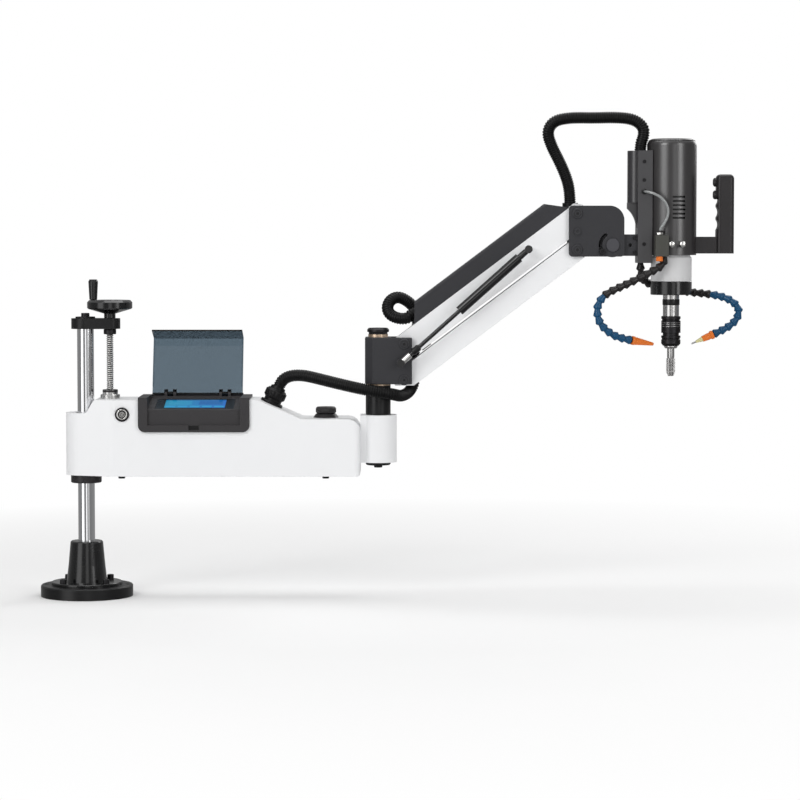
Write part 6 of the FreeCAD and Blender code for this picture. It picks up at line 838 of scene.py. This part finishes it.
def power_sign(face):
    """An open circle and a bar, just proud of the button's face."""
    bm = bmesh.new()
    start, arc = math.radians(125), math.radians(290)
    stroke, radius, proud = 0.55 * MM, 3.1 * MM, 0.12 * MM
    outline = [bm.verts.new((radius - stroke, 0, 0)), bm.verts.new((radius - stroke, 0, proud)),
               bm.verts.new((radius + stroke, 0, proud)), bm.verts.new((radius + stroke, 0, 0))]
    edges = [bm.edges.new(pair) for pair in zip(outline, outline[1:])]
    bmesh.ops.rotate(bm, cent=(0, 0, 0), matrix=Matrix.Rotation(start, 3, "Z"), verts=outline)
    bmesh.ops.spin(bm, geom=outline + edges, cent=(0, 0, 0), axis=(0, 0, 1), dvec=(0, 0, 0), angle=arc,
                   steps=30, use_merge=False, use_duplicate=False)
    bar = bmesh.ops.create_cube(bm, size=1.0)["verts"]
    bmesh.ops.scale(bm, vec=(2 * stroke, 3.6 * MM, 2 * proud), verts=bar)
    bmesh.ops.translate(bm, vec=(0, 2.6 * MM, 0), verts=bar)
    set_down(bm, face, FRONTWARD)
    sign = finish_piece("power_sign", bm, ["black_plastic"], "button")


# ---------------------------------------------------------------- rings, ribs and fittings
def turned_trim(name, origin, axis, profile, finish, body, steps=48):
    """A turned ring or collar; its profile is in millimetres from the origin along the axis."""
    bm = bmesh.new()
    lathe(bm, [(radius * MM, height * MM) for radius, height in profile], steps)
    set_down(bm, origin, axis)
    finish_piece(name, bm, [finish], body)


def ribbed_trim(name, origin, axis, radius, span, ribs, notch, finish, body):
    """A grip ring with straight ribs and rounded rims."""
    bm = bmesh.new()
    low, high = span
    profile = [(radius - 2.5, low), (radius - 0.8, low + 0.3), (radius, low + 1.2), (radius, high - 1.2),
               (radius - 0.8, high - 0.3), (radius - 2.5, high)]
    lathe(bm, [(r * MM, z * MM) for r, z in profile], ribs * 8)
    for vert in bm.verts:
        share = math.cos(ribs * math.atan2(vert.co.y, vert.co.x))
        vert.co.xy = vert.co.xy.normalized() * (vert.co.xy.length - notch * MM * (0.5 - 0.5 * share) ** 3)
    set_down(bm, origin, axis)
    finish_piece(name, bm, [finish], body, crease=50)


def build_fittings():
    """Grip ribs, bands, push-in fittings, ports, pin marks, lid stops, and the strut's coupling."""
    build_grips()
    build_bands()
    build_valve_fittings()
    build_ports()
    pin_marks()
    lid_stops()
    build_coupling_and_seal()


def build_grips():
    """The ribs of the gland's nut and of the regulator's knob."""
    ribbed_trim("gland_nut_ribs", GLAND, GLAND_LEAN, 20.9, (13, 27), 14, 1.3, "conduit",
                "lower_arm")
    knob = middle("regulator_knob")
    knob_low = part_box("regulator_knob")[1].z - 13 * MM
    ribbed_trim("regulator_grip", Vector((knob.x, 0, knob_low)), UPWARD, 19.6, (1.5, 11), 40, 0.6,
                "black_plastic", "knob")


def build_bands():
    """A black band on the spindle, painted shade of its groove, and the lines on the chuck."""
    spindle = Vector((SPINDLE_AXIS.x, 0, 0))
    # Painted shade: a black ring stands for the dark groove of the spindle
    turned_trim("spindle_groove_painted_shade", spindle + UPWARD * (NOSE_LOW - 20 * MM), UPWARD,
                [(15.2, 0), (16.2, 0.4), (16.4, 1), (16.4, 10.5), (16.2, 11.2), (15.2, 11.6)],
                "black_paint", "spindle_set")
    for place, height in enumerate((44.0, 40.5, 37.0)):
        turned_trim(f"chuck_line_{place}", spindle + UPWARD * (CHUCK_LOW + height * MM), UPWARD,
                    [(18.0, 0), (18.56, 0.05), (18.56, 0.75), (18.0, 0.8)], "steel", "spindle_set")


def build_valve_fittings():
    """Two push-in fittings on the round front of the motor's cover, beside the valve."""
    cover_radius = 47.5
    sunk = Vector((0, 1.2 * MM, 0))
    for place, aside in enumerate((-4.5, 16.0)):
        front = -math.sqrt(cover_radius ** 2 - aside ** 2)
        seat = Vector((SPINDLE_AXIS.x + aside * MM, front * MM, TILT_PIVOT.z + 2 * MM))
        nut = hex_nut(f"fitting_hexagon_{place}", seat + sunk, FRONTWARD, 6.2 * MM, 6.5 * MM, "tapping_head")
        turned_trim(f"fitting_collar_{place}", seat, FRONTWARD,
                    [(4.5, 5), (5.9, 5.2), (6.0, 6), (6.0, 12.5), (5.6, 13.2), (4.5, 13.4)], "bright_nickel",
                    "tapping_head")
        turned_trim(f"fitting_release_{place}", seat, FRONTWARD,
                    [(4.4, 13), (5.5, 13.4), (5.8, 15), (5.0, 16.6), (3.4, 17.4), (1.8, 17.7), (0, 17.8)],
                    "bright_nickel", "tapping_head")


def build_ports():
    """The two ends of the air tube: a nut and a collar on the valve, and a collar on the channel."""
    valve_port = Vector((*TUBE_SOCKET.xy, VALVE_TOP))
    nut = hex_nut("valve_port_nut", valve_port, UPWARD, 6.6 * MM, 5 * MM, "tapping_head")
    turned_trim("valve_port_collar", valve_port, UPWARD,
                [(3.0, 5), (5.0, 5), (5.0, 8), (4.4, 8.8), (2.8, 8.8)], "black_plastic",
                "tapping_head")
    turned_trim("channel_port_collar", TUBE_HOLE + FRONTWARD * 5 * MM, FRONTWARD,
                [(2.8, -0.5), (5.2, -0.5), (5.2, 2.5), (4.6, 3.2), (4.2, 3.2), (4.2, 6.5), (3.6, 7.2),
                 (2.7, 7.2)], "black_paint", "tapping_head")


def build_coupling_and_seal():
    """The coupling at the strut's foot and the seal on the feed nut."""
    turned_trim("strut_coupling", STRUT_FOOT, STRUT_UP,
                [(3.9, 30), (6.2, 30.5), (6.6, 32), (6.6, 45), (5.4, 47), (3.9, 47.5)], "black_paint",
                "strut_piston")
    nut_top = Vector((SCREW_AXIS.x, 0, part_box("feed_nut")[1].z))
    turned_trim("feed_nut_seal", nut_top, UPWARD,
                [(7.3, -4.5), (14.7, -4.5), (14.7, -0.6), (13.8, 0.3), (7.3, 0.3)], "black_plastic",
                "lower_arm")


def pin_marks():
    """A black hexagon, painted shade of a hexagon socket, and a turned ring on the flat head of each link
    pin.
    """
    head_tall, socket_radius, socket_deep = 3 * MM, 3.2 * MM, 0.5 * MM
    cheek_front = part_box("cheek_plates")[0].y - head_tall
    block_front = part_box("elbow_block")[0].y - head_tall
    spots = [(CARRIER_PIVOT, cheek_front, "head_carrier"),
             (CARRIER_PIVOT + LOWER_PIVOT - LINK_PIVOT, cheek_front, "head_carrier"),
             (LINK_PIVOT, block_front, "elbow"), (LOWER_PIVOT, block_front, "elbow")]
    for place, (pivot, front, body) in enumerate(spots):
        origin = Vector((pivot.x, front, pivot.z))
        turned_trim(f"pin_ring_{place}", origin, FRONTWARD,
                    [(5.6, -0.3), (5.8, 0.15), (7.0, 0.15), (7.2, -0.3)], "black_paint", body)
        # Painted shade: the socket is a black hexagon on the head's face, standing for the dark recess
        socket = bmesh.new()
        bmesh.ops.create_cone(socket, cap_ends=True, segments=6, radius1=socket_radius, radius2=socket_radius,
                              depth=socket_deep)
        set_down(socket, origin, FRONTWARD)
        finish_piece(f"pin_socket_painted_shade_{place}", socket, ["black_paint"], body)


def lid_stops():
    """Four rubber pads on the panel's back rib, behind the gaps beside the lid's hinges."""
    pad_size = Vector((7.5, 1.4, 8.5)) * MM
    behind, above = 5.4 * MM, 3.9 * MM
    panel = middle("panel_frame")
    for place, aside in enumerate((-61.3, -44.7, 44.7, 61.3)):
        pad = bmesh.new()
        bmesh.ops.create_cube(pad, size=1.0)
        bmesh.ops.scale(pad, vec=pad_size, verts=pad.verts)
        set_down(pad, Vector((panel.x + aside * MM, LID_HINGE.y + behind, LID_HINGE.z + above)))
        finish_piece(f"lid_stop_{place}", pad, ["rubber"], "lower_arm")


# ---------------------------------------------------------------- finishes of the construction's own pieces
# The pieces of the construction that wear each finish.
WEARERS = {
    "black_paint": "base_flange top_bracket elbow_post servo_motor",
    "gloss_black": "column_socket handwheel crank_handle strut_tube nose_ring",
    "black_oxide": ("socket_bolts swivel_bolt cover_screws button_housing elbow_fastenings head_screws "
                    "chuck release_sleeve"),
    "chrome": "column",
    "white_paint": "arm_housing bottom_cover elbow_housing upper_link lower_link",
    "black_plastic": ("guide_bushes air_regulator regulator_knob handle_bar hand_grip start_trigger "
                      "reverse_trigger"),
    "steel": "feed_nut spindle",
    "panel_plastic": "panel_frame",
    "screen_glass": "touch_screen",
    "electronics": "control_electronics",
    "conduit": "conduit_gland carrier_gland",
    "bright_nickel": "power_button strut_rod",
    "smoky_lid": "screen_lid",
    "dark_grey_paint": "elbow_block block_fittings cable_cover cheek_plates carrier_pins tilt_block",
    "bronze": "elbow_bushes",
    "rubber": "link_buffers",
    "channel_satin": "wiring_channel",
    "motor_satin": "motor_cover",
    "satin_silver": "gearbox_housing",
    "valve_olive": "coolant_valve",
    "orange_plastic": "valve_knob",
}
NODE_FINISH = {name: finish for finish, names in WEARERS.items() for name in names.split()}


def two_tone(name, finish, chosen):
    """Gives a second finish to the faces of a piece whose centres are chosen."""
    piece = frame["nodes"][name]
    piece.data.materials.append(FINISH[finish])
    for face in piece.data.polygons:
        if chosen(face.center):
            face.material_index = len(piece.data.materials) - 1


def dress_nodes():
    """Every piece of the construction that shows gets its finish."""
    for name, piece in frame["nodes"].items():
        if piece.hide_render:
            continue
        piece.data.materials.clear()
        piece.data.materials.append(FINISH[NODE_FINISH[name]])
    lid_lean = math.radians(70)
    up_lid = Vector((0, math.cos(lid_lean), math.sin(lid_lean)))
    # Painted reflection: the lid's upper band takes a darker tint, standing for a dark wall reflected in it
    painted_reflection_reach = 110.5 * MM
    two_tone("screen_lid", "smoky_painted_reflection", lambda spot: (spot - LID_HINGE).dot(up_lid) > painted_reflection_reach)
    bright_low, bright_high = 9 * MM, 24.5 * MM
    two_tone("strut_rod", "gloss_black",
             lambda spot: not bright_low < (spot - STRUT_FOOT).dot(STRUT_UP) < bright_high)
    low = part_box("panel_frame")[0]
    catch = Vector((middle("panel_frame").x, low.y + 2.4 * MM, low.z + 8.6 * MM))
    catch_half = Vector((10.5, 2.3, 5)) * MM
    two_tone("panel_frame", "black_paint",
             lambda spot: all(abs(away) < half for away, half in zip(spot - catch, catch_half)))
    valve_end = SPINDLE_AXIS.x - 10.9 * MM
    two_tone("coolant_valve", "bright_nickel", lambda spot: spot.x > valve_end)
    disc_radius = 12.5 * MM
    two_tone("carrier_pins", "light_grey_paint",
             lambda spot: (spot - TILT_PIVOT).xz.length < disc_radius)


# ---------------------------------------------------------------- stage
def build_stage(sizes):
    """The camera in front of the machine, the floor, the studio world and four area lights."""
    camera_pitch = 3.433
    scene = bpy.context.scene
    scene.view_settings.view_transform = "Standard"
    data = bpy.data.cameras.new("camera")
    data.lens = 125.9
    data.sensor_width = 36
    data.clip_end = 60
    camera = bpy.data.objects.new("camera", data)
    camera.location = (0.604, -sizes.camera_far, 0.70)
    camera.rotation_euler = (math.radians(90 - camera_pitch), 0, 0)
    scene.collection.objects.link(camera)
    scene.camera = camera
    build_floor()
    build_world()
    for name, place, aim, size, power in (
            ("key_light", (-1.6, -3.0, 2.4), (0.6, 0, 0.4), (1.6, 2.4), 62),
            ("fill_light", (2.9, -2.6, 1.5), (0.6, 0, 0.4), (0.9, 2.2), 26),
            ("top_light", (0.6, 0.3, 3.0), (0.6, 0, 0.3), (2.4, 1.6), 34),
            ("rim_light", (2.4, 2.2, 1.8), (0.7, 0, 0.5), (1.2, 1.8), 20)):
        lamp = bpy.data.lights.new(name, "AREA")
        lamp.shape = "RECTANGLE"
        lamp.size, lamp.size_y = size
        lamp.energy = power
        piece = bpy.data.objects.new(name, lamp)
        piece.location = place
        piece.rotation_euler = (Vector(aim) - Vector(place)).to_track_quat("-Z", "Y").to_euler()
        scene.collection.objects.link(piece)


def build_floor():
    """A pale floor that fades to white far from the machine and keeps its shadow."""
    bm = bmesh.new()
    bmesh.ops.create_circle(bm, cap_ends=True, segments=96, radius=14.0)
    mesh = bpy.data.meshes.new("floor")
    bm.to_mesh(mesh)
    bm.free()
    floor = bpy.data.objects.new("floor", mesh)
    bpy.context.scene.collection.objects.link(floor)
    material, tree, shader, place = blank_material("pale_floor")
    link(tree, shaded(tree, (0.90, 0.90, 0.90), mottle(tree, place, 3.0), 0.01), shader.inputs["Base Color"])
    shader.inputs["Roughness"].default_value = 0.7
    white = even_light(tree, "ShaderNodeEmission")
    centre = node(tree, "ShaderNodeVectorMath", operation="DISTANCE")
    link(tree, place, centre.inputs[0])
    centre.inputs[1].default_value = (0.6, 0, 0)
    far = map_range(tree, centre.outputs["Value"], (0.75, 2.0), (0.0, 1.0))
    rays = node(tree, "ShaderNodeLightPath").outputs
    seen = math_node(tree, "MAXIMUM", rays["Is Camera Ray"], rays["Is Transmission Ray"])
    faded = either(tree, math_node(tree, "MULTIPLY", far, seen), shader.outputs["BSDF"],
                   white.outputs["Emission"])
    gone = node(tree, "ShaderNodeBsdfTransparent")
    mirrored = either(tree, rays["Is Glossy Ray"], faded, gone.outputs["BSDF"])
    output = next(n for n in tree.nodes if n.type == "OUTPUT_MATERIAL")
    link(tree, mirrored, output.inputs["Surface"])
    mesh.materials.append(material)


def build_world():
    """White where it is seen, even as light, and a dark studio with three tall windows in reflections."""
    world = bpy.data.worlds.new("studio")
    bpy.context.scene.world = world
    world.use_nodes = True
    tree = world.node_tree
    tree.nodes.clear()
    output = node(tree, "ShaderNodeOutputWorld")
    seen = even_light(tree, "ShaderNodeBackground")
    lighting = even_light(tree, "ShaderNodeBackground", 0.42)
    mirrored = even_light(tree, "ShaderNodeBackground")
    way = node(tree, "ShaderNodeTexCoord")
    parts = node(tree, "ShaderNodeSeparateXYZ")
    link(tree, way.outputs["Generated"], parts.inputs["Vector"])
    frontward = math_node(tree, "MULTIPLY", parts.outputs["Y"], -1.0)
    turn = math_node(tree, "ARCTAN2", parts.outputs["X"], frontward)
    height = math_node(tree, "ABSOLUTE", parts.outputs["Z"], 0)
    level = map_range(tree, height, (0.24, 0.44), (1.0, 0.0))
    room = map_range(tree, math_node(tree, "ABSOLUTE", turn, 0), (1.0, 2.6), (0.22, 0.30))
    for centre, half, power in ((-0.74, 0.32, 1.75), (0.14, 0.18, 1.1), (0.66, 0.16, 0.5)):
        away = math_node(tree, "ABSOLUTE", math_node(tree, "SUBTRACT", turn, centre), 0)
        band = math_node(tree, "MULTIPLY", map_range(tree, away, (0.6 * half, half), (power, 0.0)), level)
        room = math_node(tree, "ADD", room, band)
    link(tree, math_node(tree, "ADD", room, map_range(tree, parts.outputs["Z"], (0.4, 0.8), (0.0, 0.5))),
         mirrored.inputs["Strength"])
    rays = node(tree, "ShaderNodeLightPath").outputs
    camera_rays = math_node(tree, "MAXIMUM", rays["Is Camera Ray"], rays["Is Transmission Ray"])
    unseen = either(tree, rays["Is Glossy Ray"], lighting.outputs["Background"],
                    mirrored.outputs["Background"])
    link(tree, either(tree, camera_rays, unseen, seen.outputs["Background"]), output.inputs["Surface"])


# ---------------------------------------------------------------- operators
class TAPPING_OT_stage(Operator):
    """Makes the camera, the pale floor, the studio world and its lights"""

    bl_idname = "tapping.stage"
    bl_label = "Build Stage"

    def execute(self, context):
        build_stage(context.scene.tapping_sizes)
        return {"FINISHED"}


class TAPPING_OT_finishes(Operator):
    """Makes the materials that the pieces share"""

    bl_idname = "tapping.finishes"
    bl_label = "Make Finishes"

    def execute(self, context):
        FINISH.update(make_finishes(context.scene.tapping_colours))
        return {"FINISHED"}


class TAPPING_OT_conduits(Operator):
    """Makes the three ribbed cable conduits"""

    bl_idname = "tapping.conduits"
    bl_label = "Build Cable Conduits"

    def execute(self, context):
        build_conduits(context.scene.tapping_sizes)
        return {"FINISHED"}


class TAPPING_OT_hoses(Operator):
    """Makes the two coolant hoses and their nozzles"""

    bl_idname = "tapping.hoses"
    bl_label = "Build Coolant Hoses"

    def execute(self, context):
        build_hoses(context.scene.tapping_sizes)
        return {"FINISHED"}


class TAPPING_OT_air_tube(Operator):
    """Makes the clear air tube"""

    bl_idname = "tapping.air_tube"
    bl_label = "Build Air Tube"

    def execute(self, context):
        build_air_tube(context.scene.tapping_sizes)
        return {"FINISHED"}


class TAPPING_OT_lead_screw(Operator):
    """Makes the threaded lead screw, its journal and its nut"""

    bl_idname = "tapping.lead_screw"
    bl_label = "Build Lead Screw"

    def execute(self, context):
        build_lead_screw(context.scene.tapping_sizes)
        return {"FINISHED"}


class TAPPING_OT_tap(Operator):
    """Makes the tap with its thread and flutes"""

    bl_idname = "tapping.tap"
    bl_label = "Build Tap"

    def execute(self, context):
        build_tap(context.scene.tapping_sizes)
        return {"FINISHED"}


class TAPPING_OT_display(Operator):
    """Makes the lit field of the touch screen"""

    bl_idname = "tapping.display"
    bl_label = "Build Display"

    def execute(self, context):
        build_display()
        return {"FINISHED"}


class TAPPING_OT_button_trim(Operator):
    """Makes the rings and the sign of the power button"""

    bl_idname = "tapping.button_trim"
    bl_label = "Build Button Trim"

    def execute(self, context):
        build_button_trim()
        return {"FINISHED"}


class TAPPING_OT_fittings(Operator):
    """Makes the grip ribs, the bands and the push-in fittings"""

    bl_idname = "tapping.fittings"
    bl_label = "Build Fittings"

    def execute(self, context):
        build_fittings()
        return {"FINISHED"}


class TAPPING_OT_dress(Operator):
    """Gives every shown piece of the construction its finish"""

    bl_idname = "tapping.dress"
    bl_label = "Dress Construction"

    def execute(self, context):
        dress_nodes()
        return {"FINISHED"}


STEPS = (TAPPING_OT_stage, TAPPING_OT_finishes, TAPPING_OT_conduits, TAPPING_OT_hoses, TAPPING_OT_air_tube,
         TAPPING_OT_lead_screw, TAPPING_OT_tap, TAPPING_OT_display, TAPPING_OT_button_trim,
         TAPPING_OT_fittings, TAPPING_OT_dress)


class TAPPING_PT_sidebar(Panel):
    """Lists the steps that dress the machine"""

    bl_idname = "TAPPING_PT_sidebar"
    bl_label = "Tapping Machine"
    bl_space_type = "VIEW_3D"
    bl_region_type = "UI"
    bl_category = "Tapping Machine"

    def draw(self, context):
        for settings in (context.scene.tapping_sizes, context.scene.tapping_colours):
            box = self.layout.box()
            for name in settings.bl_rna.properties.keys():
                if name not in ("rna_type", "name"):
                    box.prop(settings, name)
        for step in STEPS:
            self.layout.operator(step.bl_idname)


CLASSES = (TappingSizes, TappingColours, *STEPS, TAPPING_PT_sidebar)


def register():
    for item in CLASSES:
        bpy.utils.register_class(item)
    bpy.types.Scene.tapping_sizes = PointerProperty(type=TappingSizes)
    bpy.types.Scene.tapping_colours = PointerProperty(type=TappingColours)


def unregister():
    del bpy.types.Scene.tapping_colours
    del bpy.types.Scene.tapping_sizes
    for item in reversed(CLASSES):
        bpy.utils.unregister_class(item)


def main():
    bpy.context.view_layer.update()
    register()
    for step in STEPS:
        group, name = step.bl_idname.split(".")
        getattr(getattr(bpy.ops, group), name)()


if __name__ == "__main__":
    main()
